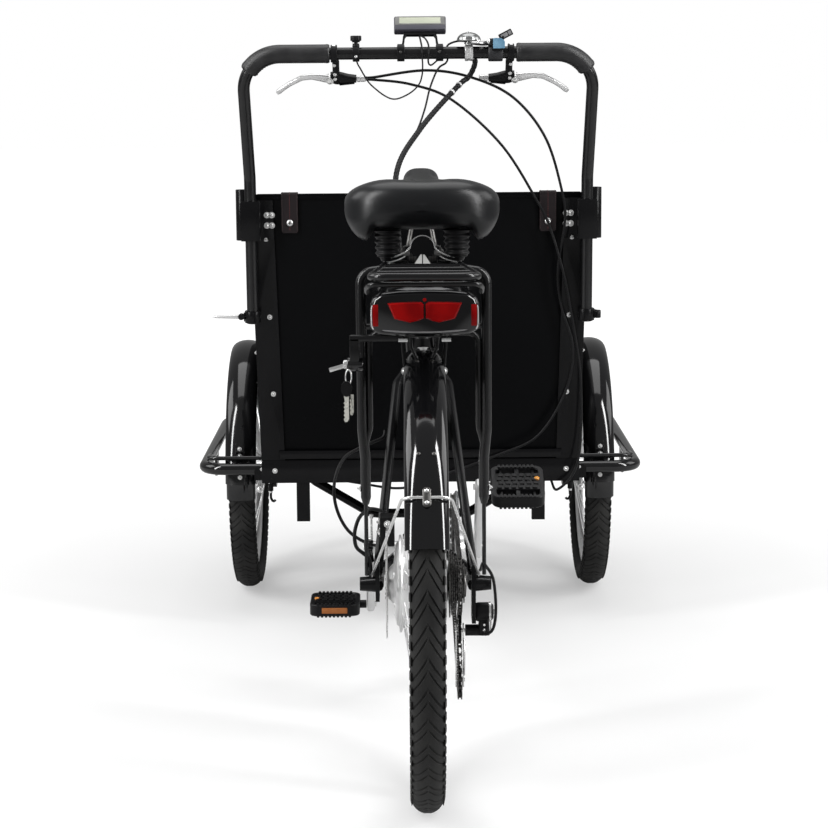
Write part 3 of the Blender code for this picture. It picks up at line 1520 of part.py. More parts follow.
def drive(rear, crank, cage):
    path = chain_path()
    outline = [
        (-CHAIN_WIDTH / 2, -CHAIN_HEIGHT / 2),
        (CHAIN_WIDTH / 2, -CHAIN_HEIGHT / 2),
        (CHAIN_WIDTH / 2, CHAIN_HEIGHT / 2),
        (-CHAIN_WIDTH / 2, CHAIN_HEIGHT / 2),
    ]
    piece("chain", sweep(path, outline, closed=True, side=(1, 0, 0)), "dark_steel", rear)
    ring = piece(
        "chainring",
        rod(
            (CHAIN_LINE - 0.002, CRANK_AXLE.y, CRANK_AXLE.z),
            (CHAIN_LINE + 0.002, CRANK_AXLE.y, CRANK_AXLE.z),
            CHAINRING_RADIUS,
            28,
        ),
        "dark_steel",
        crank,
    )
    holes = []
    for k in range(5):
        a = 2 * math.pi * k / 5
        spot = Vector((CHAIN_LINE, CRANK_AXLE.y + 0.052 * math.cos(a), CRANK_AXLE.z + 0.052 * math.sin(a)))
        holes.append(rod(spot - Vector((0.02, 0, 0)), spot + Vector((0.02, 0, 0)), 0.018, 6))
    axle_hole = rod(
        CRANK_AXLE + Vector((0.02, 0, 0)),
        CRANK_AXLE + Vector((0.08, 0, 0)),
        CRANK_AXLE_RADIUS + RUNNING_GAP,
        12,
    )
    cut(ring, together(*holes), axle_hole)
    guard_low = CHAIN_LINE + CHAIN_WIDTH / 2 + 0.003
    shield = [
        (guard_low, 0.062),
        (guard_low, CHAINGUARD_RADIUS - 0.004),
        (guard_low - 0.003, CHAINGUARD_RADIUS),
        (guard_low + 0.0015, CHAINGUARD_RADIUS + 0.002),
        (guard_low + 0.0030, CHAINGUARD_RADIUS - 0.002),
        (guard_low + 0.0030, 0.062),
    ]
    piece("chainguard", turned(shield, CRANK_AXLE, "X", 24), "clear_plastic", crank)
    way = Vector((0, math.sin(CRANK_ANGLE), -math.cos(CRANK_ANGLE)))
    axle = rod(
        CRANK_AXLE - Vector((CRANK_INNER + 0.004, 0, 0)),
        CRANK_AXLE + Vector((CRANK_INNER + 0.004, 0, 0)),
        CRANK_AXLE_RADIUS,
        12,
    )
    arms = piece("cranks", axle, "aluminium", crank)
    for side in (-1, 1):
        direction = way * -side
        start = CRANK_AXLE + Vector((side * (CRANK_INNER + CRANK_THICKNESS / 2), 0, 0))
        end = start + direction * CRANK_LENGTH
        across = Vector((1, 0, 0))
        outline = [
            (u * CRANK_THICKNESS / 2, v * 0.0125)
            for u, v in CRANK_SECTION
        ]
        fuse(
            arms,
            sweep([start - direction * 0.014, end + direction * 0.012], outline, side=across),
            rod(
                start - Vector((side * CRANK_THICKNESS / 2, 0, 0)),
                start + Vector((side * CRANK_THICKNESS / 2, 0, 0)),
                0.018,
                12,
            ),
        )
    spider_low = CHAIN_LINE + 0.002 + GAP
    fuse(
        arms,
        rod(
            CRANK_AXLE + Vector((spider_low, 0, 0)),
            CRANK_AXLE + Vector((CRANK_INNER + 0.002, 0, 0)),
            0.033,
            16,
            0.018,
        ),
    )
    upper, lower = pulleys()
    derailleur(rear, cage, upper, lower)


def derailleur(rear, cage, upper, lower):
    """The body that hangs beside the dropout, and the sprung cage with its two small wheels."""
    hanger = REAR_AXLE + Vector((DROPOUT_INNER + DROPOUT_THICKNESS + GAP, 0.006, -0.045))
    outer = hanger + Vector((DERAILLEUR_DRUM_LENGTH, 0, 0))
    made = piece("derailleur", rod(hanger, outer, DERAILLEUR_DRUM_RADIUS, 16), "black_plastic", rear)
    knuckle = Vector((CHAIN_LINE + CHAIN_WIDTH / 2 + 0.0046, upper.y, upper.z))
    fuse(
        made,
        sweep(
            [hanger + Vector((0.012, 0, 0.006)), hanger + Vector((0.012, 0.004, -0.034))],
            [(-0.009, -0.010), (0.009, -0.010), (0.009, 0.010), (-0.009, 0.010)],
            side=(1, 0, 0),
        ),
        rod(knuckle, (hanger.x + 0.020, upper.y, upper.z), 0.0085, 14),
    )
    xs = (-(CHAIN_WIDTH / 2 + 0.0018), CHAIN_WIDTH / 2 + 0.0018)
    half_pulley = Vector((0.0022, 0, 0))
    wheels = together(
        rod(upper - half_pulley, upper + half_pulley, PULLEY_RADIUS, 12),
        rod(lower - half_pulley, lower + half_pulley, PULLEY_RADIUS, 12),
    )
    outline = [(-0.001, -0.0075), (0.001, -0.0075), (0.001, 0.0075), (-0.001, 0.0075)]
    plates = []
    reach = (lower - upper).normalized()
    for x in xs:
        shift = Vector((x, 0, 0))
        ends = [upper + shift - reach * 0.009, lower + shift + reach * 0.009]
        plates.append(sweep(ends, outline, side=(1, 0, 0)))
    half = CHAIN_WIDTH / 2 + 0.0022
    cage_piece = piece("derailleur_cage", plates[0], "steel", cage)
    fuse(
        cage_piece,
        plates[1],
        rod(upper - Vector((half, 0, 0)), upper + Vector((half, 0, 0)), 0.004, 10),
        rod(lower - Vector((half, 0, 0)), lower + Vector((half, 0, 0)), 0.004, 10),
        wheels,
    )


def pedal(side, carrier):
    """A block pedal on its stub axle; the right one hangs tilted, as it was left."""
    place = Vector(carrier["place"])
    word = "left" if side < 0 else "right"
    inner = side * PEDAL_X
    outer = side * (PEDAL_X + PEDAL_WIDTH)
    tilt = Matrix.Rotation(PEDAL_TILT if side > 0 else 0.0, 3, "X")
    xs = sorted((inner, outer))
    ys = (place.y - PEDAL_LENGTH / 2, place.y + PEDAL_LENGTH / 2)
    corner = PEDAL_CORNER / 2
    outline = [
        (xs[0] + corner, ys[0]),
        (xs[1] - corner, ys[0]),
        (xs[1], ys[0] + PEDAL_CORNER),
        (xs[1], ys[1] - PEDAL_CORNER),
        (xs[1] - corner, ys[1]),
        (xs[0] + corner, ys[1]),
        (xs[0], ys[1] - PEDAL_CORNER),
        (xs[0], ys[0] + PEDAL_CORNER),
    ]
    rings = [
        [place + tilt @ (Vector((x, y, place.z + lift)) - place) for x, y in outline]
        for lift in (-PEDAL_THICKNESS / 2, PEDAL_THICKNESS / 2)
    ]
    made = piece(f"pedal_{word}", loft(*rings), "black_plastic", carrier)
    middle = (xs[0] + xs[1]) / 2
    windows = []
    for end in (-1, 1):
        windows.append(
            block(
                (middle - 0.030, place.y + end * 0.034 - 0.0085, place.z - 0.1),
                (middle + 0.030, place.y + end * 0.034 + 0.0085, place.z + 0.1),
                tilt,
                place,
            )
        )
    cut(made, together(*windows))
    stub = (side * (PEDAL_X - PEDAL_STUB), place.y, place.z)
    fuse(made, rod(stub, (inner + side * 0.01, place.y, place.z), 0.007))


def caliper(rear):
    """The disc brake's caliper, astride the rotor above the left dropout."""
    centre = REAR_AXLE + Vector((ROTOR_X, 0.030, ROTOR_RADIUS - 0.012))
    made = piece(
        "brake_caliper",
        block(centre + Vector((-0.0095, -0.024, -0.014)), centre + Vector((0.012, 0.012, 0.030))),
        "black_plastic",
        rear,
    )
    slot = ROTOR_THICKNESS / 2 + RUNNING_GAP
    cut(made, block(centre + Vector((-slot, -0.03, -0.03)), centre + Vector((slot, 0.04, 0.0155))))
    soften(made, 0.002)


def bar_corner(side):
    """The knee of an upright above the box, and the corner where it meets the crossbar."""
    knee = Vector((side * BAR_HALF_WIDTH, upright_y(KNEE_HEIGHT), KNEE_HEIGHT))
    return knee, Vector((side * BAR_HALF_TOP, bar_y(), BAR_HEIGHT))


def handlebar(carrier):
    """The push bar: a tube bent into a U, standing in its guides behind the box."""
    low = Vector((BAR_HALF_WIDTH, upright_y(UPRIGHT_BOTTOM), UPRIGHT_BOTTOM))
    left_knee, left_top = bar_corner(-1)
    knee, top = bar_corner(1)
    path = [low * Vector((-1, 1, 1)), left_knee, left_top, top, knee, low]
    bends = (BAR_KNEE_BEND, BAR_CORNER_BEND, BAR_CORNER_BEND, BAR_KNEE_BEND)
    piece("handlebar", tube(rounded(path, bends, BAR_BEND_STEPS), BAR_RADIUS, 10), "black_paint", carrier)


def bar_y():
    return upright_y(KNEE_HEIGHT) - BAR_PULL_BACK


def grip(side, carrier):
    """A padded sleeve over the bar's end and most of the bend beside it."""
    knee, top = bar_corner(side)
    inner = LEFT_GRIP_START if side < 0 else RIGHT_GRIP_START
    start = Vector((side * inner, bar_y(), BAR_HEIGHT))
    path = rounded([start, top, knee], BAR_CORNER_BEND, BAR_BEND_STEPS)[: 2 + GRIP_BEND_STEPS]
    name = "grip_left" if side < 0 else "grip_right"
    made = piece(name, tube(path, GRIP_RADIUS, 8), "leather", carrier)
    along = (path[0] - path[1]).normalized()
    down = (path[-1] - path[-2]).normalized()
    bore = [path[0] + along * 0.02, *path, path[-1] + down * 0.02]
    cut(made, tube(bore, GRIP_BORE, 10))


def upper_guide(side, post):
    """The upper guide of an upright, with its flange on the wall and the socket beside the box."""
    top = BOX_TOP - RIM_CAP_HEIGHT - BRACKET_DROP
    low = top - BRACKET_HEIGHT
    x = side * BAR_HALF_WIDTH

    def section(height):
        back = upright_y(height) - BAR_RADIUS - 0.0045
        face = box_rear(height) + POST_THICKNESS / 2
        inner = side * (BAR_HALF_WIDTH - BRACKET_HALF_WIDTH)
        flange = side * (box_half(height) - POST_WIDTH + 0.001)
        outer = side * (BAR_HALF_WIDTH + BRACKET_HALF_WIDTH)
        return [
            (outer, face, height),
            (flange, face, height),
            (flange, face - 0.004, height),
            (inner, face - 0.004, height),
            (inner, back, height),
            (outer, back, height),
        ]

    socket_x = side * (BOX_HALF_TOP + GAP + SOCKET_RADIUS)
    socket_y = box_rear(BOX_TOP) + 0.020
    socket_top = BOX_TOP + 0.008
    socket_low = socket_top - SOCKET_HEIGHT
    strap_x = side * (BAR_HALF_WIDTH + BRACKET_HALF_WIDTH - 0.002)
    fuse(
        post,
        loft(section(low), section(top)),
        rod((socket_x, socket_y, socket_low), (socket_x, socket_y, socket_top), SOCKET_RADIUS, 12),
        block(
            (strap_x - 0.004, upright_y(top) - 0.004, low + 0.004),
            (strap_x + 0.004, socket_y, top - 0.004),
        ),
    )
    cut(
        post,
        rod(
            (x, upright_y(low - 0.02), low - 0.02),
            (x, upright_y(top + 0.02), top + 0.02),
            BAR_BORE,
            12,
        ),
        rod(
            (socket_x, socket_y, socket_low + 0.006),
            (socket_x, socket_y, socket_top + 0.02),
            SOCKET_RADIUS - 0.0025,
            10,
        ),
    )


def release_x(side):
    """Where a quick release's cam turns, just outside the guide's ring."""
    return side * (BAR_HALF_WIDTH + CLAMP_RING_RADIUS + GAP + CAM_RADIUS)


def quick_release(side, carrier):
    """The cam lever of a lower guide: the left one points outwards and the right one forwards."""
    place = Vector(carrier["place"])
    turning = Vector((0, 1, 0)) if side < 0 else Vector((0, 0, 1))
    name = "quick_release_left" if side < 0 else "quick_release_right"
    half_cam = turning * CAM_LENGTH / 2
    made = piece(name, rod(place - half_cam, place + half_cam, CAM_RADIUS, 16), "black_plastic", carrier)
    way = Vector((-1, 0, 0)) if side < 0 else Vector((0, 1, 0))
    outline = [(-0.005, -0.0015), (0.005, -0.0015), (0.005, 0.0015), (-0.005, 0.0015)]
    across = Vector((0, 1, 0)) if side < 0 else Vector((1, 0, 0))
    if side > 0:
        outline = [(0.4 * u, 2.6 * v) for u, v in outline]
    fuse(made, sweep([place, place + way * LEVER_BLADE_LENGTH], outline, side=across))


def strap(side, front):
    """A leather strap over the rear wall's rim, held by one screw."""
    half = STRAP_THICKNESS / 2
    over = BOX_TOP + GAP + half
    inner = box_rear(BOX_TOP) + POST_THICKNESS + GAP + BOX_WALL + GAP + half
    outer_top = box_rear(BOX_TOP) + POST_THICKNESS - RIM_CAP_OVERHANG - half
    low = BOX_TOP - STRAP_LENGTH
    outer_low = box_rear(low) + POST_THICKNESS - RIM_CAP_OVERHANG - half
    inner_low = inner + BOX_REAR_LEAN * STRAP_INSIDE / BOX_DEPTH
    path = [
        (0, outer_low, low),
        (0, outer_top, over),
        (0, inner, over),
        (0, inner_low, BOX_TOP - STRAP_INSIDE),
    ]
    outline = [
        (-STRAP_WIDTH / 2, -half),
        (STRAP_WIDTH / 2, -half),
        (STRAP_WIDTH / 2, half),
        (-STRAP_WIDTH / 2, half),
    ]
    shape = sweep(rounded(path, STRAP_THICKNESS * 0.8, 2), outline, side=(1, 0, 0))
    bmesh.ops.translate(shape, vec=(side * STRAP_X, 0, 0), verts=shape.verts)
    piece("strap_left" if side < 0 else "strap_right", shape, "leather", front)


def bar_spot(x, reach=0.0, lift=0.0):
    """A place beside the crossbar: reach runs forward and down along the brake lever's plane."""
    ahead = reach * math.cos(BRAKE_DROP)
    down = reach * math.sin(BRAKE_DROP)
    rise = Vector((0, math.sin(BRAKE_DROP), math.cos(BRAKE_DROP))) * lift
    return Vector((x, bar_y() + ahead, BAR_HEIGHT - down)) + rise


def bar_ring(x, width, radius):
    return rod(bar_spot(x - width / 2), bar_spot(x + width / 2), radius, 12)


def bar_bore(x, width):
    return rod(bar_spot(x - width), bar_spot(x + width), BAR_BORE, 12)


def brake_mount(side, carrier):
    """The clamp and body that hold a brake lever, with the cable's barrel on its inner side."""
    x = LEFT_BRAKE_X if side < 0 else RIGHT_BRAKE_X
    word = "left" if side < 0 else "right"
    made = piece(f"brake_mount_{word}", bar_ring(x, 0.011, BAR_RADIUS + 0.005), "black_plastic", carrier)
    inner, outer = x - side * BRAKE_BODY_LENGTH, x + side * 0.004
    neck = sorted((x - side * BRAKE_NECK_HALF, outer))
    arm = sorted((inner, outer))
    half = BRAKE_BODY_HEIGHT / 2
    centre = bar_spot(0)
    tilt = Matrix.Rotation(-BRAKE_DROP, 3, "X")
    axis_x = brake_axis_x(side)
    fuse(
        made,
        block(
            (neck[0], centre.y + BRAKE_BODY_START, centre.z - half),
            (neck[1], centre.y + BRAKE_ARM_START + 0.002, centre.z + half),
            tilt,
            centre,
        ),
        block(
            (arm[0], centre.y + BRAKE_ARM_START, centre.z - half + 0.0005),
            (arm[1], centre.y + BRAKE_PIVOT_REACH + 0.008, centre.z + half - 0.0005),
            tilt,
            centre,
        ),
        block(
            (x - 0.0045, centre.y + BAR_RADIUS + 0.002, centre.z - BRAKE_BODY_HEIGHT / 2 + 0.002),
            (x + 0.0045, centre.y + BRAKE_BODY_START + 0.003, centre.z + BRAKE_BODY_HEIGHT / 2 - 0.002),
            tilt,
            centre,
        ),
        rod(
            bar_spot(inner + side * 0.002, BRAKE_PIVOT_REACH),
            bar_spot(inner - side * BARREL_LENGTH, BRAKE_PIVOT_REACH),
            BARREL_RADIUS,
        ),
    )
    cut(
        made,
        bar_bore(x, 0.07),
        rod(
            bar_spot(axis_x, BRAKE_PIVOT_REACH, -0.02),
            bar_spot(axis_x, BRAKE_PIVOT_REACH, 0.02),
            BRAKE_HUB_RADIUS + RUNNING_GAP,
            14,
        ),
    )


def brake_axis_x(side):
    return (LEFT_BRAKE_X if side < 0 else RIGHT_BRAKE_X) + side * (0.004 + BRAKE_HUB_RADIUS * 0.6)


def brake_lever(side, carrier):
    """The blade: out along the bar, then away from it towards its tip."""
    axis_x = brake_axis_x(side)
    hub = rod(
        bar_spot(axis_x, BRAKE_PIVOT_REACH, -0.006),
        bar_spot(axis_x, BRAKE_PIVOT_REACH, 0.006),
        BRAKE_HUB_RADIUS,
        14,
    )
    made = piece("brake_lever_left" if side < 0 else "brake_lever_right", hub, "aluminium", carrier)
    stops = (
        (0.002, BRAKE_PIVOT_REACH),
        (0.35 * BRAKE_LEVER_LENGTH, BRAKE_PIVOT_REACH - 0.006),
        (0.75 * BRAKE_LEVER_LENGTH, BRAKE_PIVOT_REACH + 0.010),
        (BRAKE_LEVER_LENGTH, BRAKE_PIVOT_REACH + 0.030),
    )
    path = [bar_spot(axis_x + side * out, reach) for out, reach in stops]
    normal = Vector((0, math.sin(BRAKE_DROP), math.cos(BRAKE_DROP)))
    outline = [(-0.0045, -0.003), (0.0045, -0.003), (0.0045, 0.003), (-0.0045, 0.003)]
    fuse(made, sweep(smooth(path, 0.016), outline, side=normal))


def controls(bar, bodies):
    """The display, the bell, the shifter and the assist button on the crossbar."""
    ring = BAR_RADIUS + 0.004
    top = bar_spot(0)
    tilt = Matrix.Rotation(-DISPLAY_TILT, 3, "X")
    screen = piece(
        "display",
        block(
            (DISPLAY_X - DISPLAY_WIDTH / 2, top.y - DISPLAY_THICKNESS / 2, top.z + DISPLAY_LIFT),
            (
                DISPLAY_X + DISPLAY_WIDTH / 2,
                top.y + DISPLAY_THICKNESS / 2,
                top.z + DISPLAY_LIFT + DISPLAY_HEIGHT,
            ),
            tilt,
            top,
        ),
        "screen_plastic",
        bodies["display"],
    )
    for side in (-1, 1):
        x = DISPLAY_X + side * DISPLAY_ARM
        fuse(
            screen,
            bar_ring(x, DISPLAY_CLAMP_WIDTH, ring),
            block(
                (x - 0.004, top.y - 0.003, top.z + BAR_RADIUS + 0.002),
                (x + 0.004, top.y + 0.003, top.z + DISPLAY_LIFT + 0.004),
                tilt,
                top,
            ),
        )
    cut(screen, bar_bore(DISPLAY_X, 0.1))
    bell = piece("bell", bar_ring(BELL_X, 0.009, ring), "steel", bar)
    base = top.z + BELL_LIFT
    dome = [
        (base, 0),
        (base, BELL_RADIUS),
        (base + 0.004, BELL_RADIUS * 0.98),
        (base + 0.010, BELL_RADIUS * 0.80),
        (base + 0.014, BELL_RADIUS * 0.50),
        (base + 0.016, BELL_RADIUS * 0.20),
        (base + 0.016, 0),
    ]
    fuse(
        bell,
        rod((BELL_X, top.y, top.z + BAR_RADIUS + 0.002), (BELL_X, top.y, base + 0.002), 0.006, 10),
        solid_of_turn(dome, (BELL_X, top.y, 0), "Z", 14),
        block(
            (BELL_X - 0.004, top.y - STRIKER_BACK - 0.004, base - 0.0065),
            (BELL_X + STRIKER_OUT + 0.003, top.y + 0.002, base - 0.0035),
        ),
    )
    cut(bell, bar_bore(BELL_X, 0.1))
    spot = Vector(bodies["striker"]["place"])
    pin = rod(spot, spot + Vector((0, 0, 0.005)), 0.003, 10)
    striker = piece("bell_striker", pin, "steel", bodies["striker"])
    fuse(
        striker,
        block(spot + Vector((0, -0.0015, 0.001)), spot + Vector((0.019, 0.0015, 0.004))),
        rod(spot + Vector((0.019, 0, -0.002)), spot + Vector((0.019, 0, 0.007)), 0.003, 6),
    )
    shifter = piece("shifter", bar_ring(SHIFTER_X, 0.026, ring + 0.001), "grey_plastic", bar)
    fuse(
        shifter,
        block(
            (SHIFTER_X - 0.015, top.y - SHIFTER_HALF, top.z + BAR_RADIUS + 0.001),
            (SHIFTER_X + 0.015, top.y + SHIFTER_HALF, top.z + BAR_RADIUS + 0.014),
        ),
    )
    cut(shifter, bar_bore(SHIFTER_X, 0.1))
    spot = Vector(bodies["shift_lever"]["place"])
    hub = rod(spot, spot - Vector((0, 0.005, 0)), 0.009, 14)
    lever = piece("shift_lever", hub, "black_plastic", bodies["shift_lever"])
    outline = [(-0.0025, -0.004), (0.0025, -0.004), (0.0025, 0.004), (-0.0025, 0.004)]
    fuse(
        lever,
        sweep(
            [spot + Vector(shift) for shift in SHIFT_LEVER_PATH],
            outline,
            side=(0, 1, 0),
        ),
    )
    mount = piece("button_mount", bar_ring(BUTTON_X, 0.012, ring), "black_plastic", bar)
    seat = Vector((BUTTON_X, top.y, BAR_HEIGHT + BAR_RADIUS + BUTTON_LIFT))
    fuse(mount, rod((BUTTON_X, top.y, top.z + BAR_RADIUS + 0.002), seat, 0.0055, 10))
    cut(
        mount,
        bar_bore(BUTTON_X, 0.1),
        rod(seat - Vector((0, 0, 0.007)), seat + Vector((0, 0, 0.01)), BUTTON_STEM_RADIUS + GAP, 10),
    )
    low = seat.z + BUTTON_TRAVEL + GAP
    star = []
    for k in range(2 * BUTTON_POINTS):
        a = math.pi * k / BUTTON_POINTS
        out = BUTTON_RADIUS if k % 2 == 0 else BUTTON_RADIUS * 0.8
        star.append((BUTTON_X + out * math.cos(a), top.y + out * math.sin(a)))
    knob = piece(
        "assist_button",
        loft([(x, y, low) for x, y in star], [(x, y, low + BUTTON_HEIGHT) for x, y in star]),
        "black_plastic",
        bodies["button"],
    )
    fuse(knob, rod(seat - Vector((0, 0, 0.005)), (seat.x, seat.y, low + 0.001), BUTTON_STEM_RADIUS, 10))


def from_rear_axle(points):
    """The route's points in place. Those above the box rise and sink with the bar's height."""
    stretch = (BAR_HEIGHT - BOX_TOP) / ROUTE_RISE
    made = []
    for x, ahead, z in points:
        high = BOX_TOP + (z - BOX_TOP) * stretch if z > BOX_TOP else z
        made.append(Vector((x, REAR_AXLE_Y + ahead, high)))
    return made


def cables(bar, rear):
    """The brake cables, the wrapped bundle to the frame and the cables beside the rear wheel."""
    barrel = LEFT_BRAKE_X + BRAKE_BODY_LENGTH + BARREL_LENGTH + GAP
    for name, lift, route in (
        ("brake_cable_left", 0.0035, ROUTE_LEFT_HUB),
        ("brake_cable_right", -0.0035, ROUTE_RIGHT_HUB),
    ):
        start = bar_spot(barrel, BRAKE_PIVOT_REACH, lift)
        points = [start, start + Vector((0.012, 0, 0)), *from_rear_axle(route)]
        cable(name, points, CABLE_RADIUS, "rubber", bar)
    start = Vector((BUNDLE_X, bar_y(), BAR_HEIGHT - BAR_RADIUS - GAP))
    points = [start, start - Vector((0, 0, 0.010)), *from_rear_axle(ROUTE_BUNDLE)]
    cable("cable_bundle", points, BUNDLE_RADIUS, "rubber", bar)
    cable("rear_brake_cable", from_rear_axle(ROUTE_REAR_BRAKE), CABLE_RADIUS, "rubber", rear)
    cable("shift_cable", from_rear_axle(ROUTE_SHIFT), CABLE_RADIUS * 0.9, "rubber", rear)


def main():
    for obj in list(bpy.data.objects):
        bpy.data.objects.remove(obj)
    rear = body("rear_body", REAR_AXLE)
    front = body("front_body", PIVOT, rear)
    bar = body("bar_body", (0, upright_y(CLAMP_HEIGHT), CLAMP_HEIGHT), front)
    box_pieces(front)
    chassis(front)
    for side in (-1, 1):
        corner_post(side, front)
        guard(side, front)
        front_mudguard(side, front)
        spin = body(
            "front_spin_left" if side < 0 else "front_spin_right",
            (side * TRACK / 2, FRONT_AXLE_Y, FRONT_TYRE_RADIUS),
            front,
        )
        front_wheel(side, spin)
        release = body(
            "release_body_left" if side < 0 else "release_body_right",
            (release_x(side), upright_y(CLAMP_HEIGHT), CLAMP_HEIGHT),
            front,
        )
        quick_release(side, release)
        strap(side, front)
        grip(side, bar)
        brake_mount(side, bar)
        brake_lever(
            side,
            body(
                "brake_body_left" if side < 0 else "brake_body_right",
                bar_spot(brake_axis_x(side), BRAKE_PIVOT_REACH),
                bar,
            ),
        )
    handlebar(bar)
    button_rise = Vector((0, 0, BAR_RADIUS + BUTTON_LIFT))
    controls(
        bar,
        {
            "display": body("display_body", bar_spot(DISPLAY_X), bar),
            "striker": body(
                "striker_body",
                bar_spot(BELL_X + STRIKER_OUT) + Vector((0, -STRIKER_BACK, BELL_LIFT - 0.0035 + GAP)),
                bar,
            ),
            "shift_lever": body(
                "shift_lever_body",
                bar_spot(SHIFTER_X + 0.004) + Vector((0, -SHIFTER_HALF - GAP, BAR_RADIUS + 0.0045)),
                bar,
            ),
            "button": body("button_body", bar_spot(BUTTON_X) + button_rise, bar),
        },
    )
    rear_spin = body("rear_spin", REAR_AXLE, rear)
    cog_spin = body("cog_spin", REAR_AXLE, rear)
    rear_wheel(rear_spin, cog_spin)
    rear_frame(rear)
    rear_mudguard(rear)
    rack(rear)
    battery_pieces(body("battery_body", (0, REAR_AXLE_Y, BATTERY_BOTTOM), rear))
    battery_key(body("key_body", lock_face(), rear))
    seat = body("seat_body", SEAT_TUBE_TOP, rear)
    saddle_cushion(seat)
    saddle_frame(seat)
    seat_post(seat)
    crank = body("crank_body", CRANK_AXLE, rear)
    upper, lower = pulleys()
    cage = body("cage_body", upper, rear)
    drive(rear, crank, cage)
    way = Vector((0, math.sin(CRANK_ANGLE), -math.cos(CRANK_ANGLE)))
    for side in (-1, 1):
        spot = CRANK_AXLE + Vector((side * PEDAL_X, 0, 0)) + way * (-side * CRANK_LENGTH)
        pedal(side, body("pedal_body_left" if side < 0 else "pedal_body_right", spot, crank))
    caliper(rear)
    cables(bar, rear)


main()
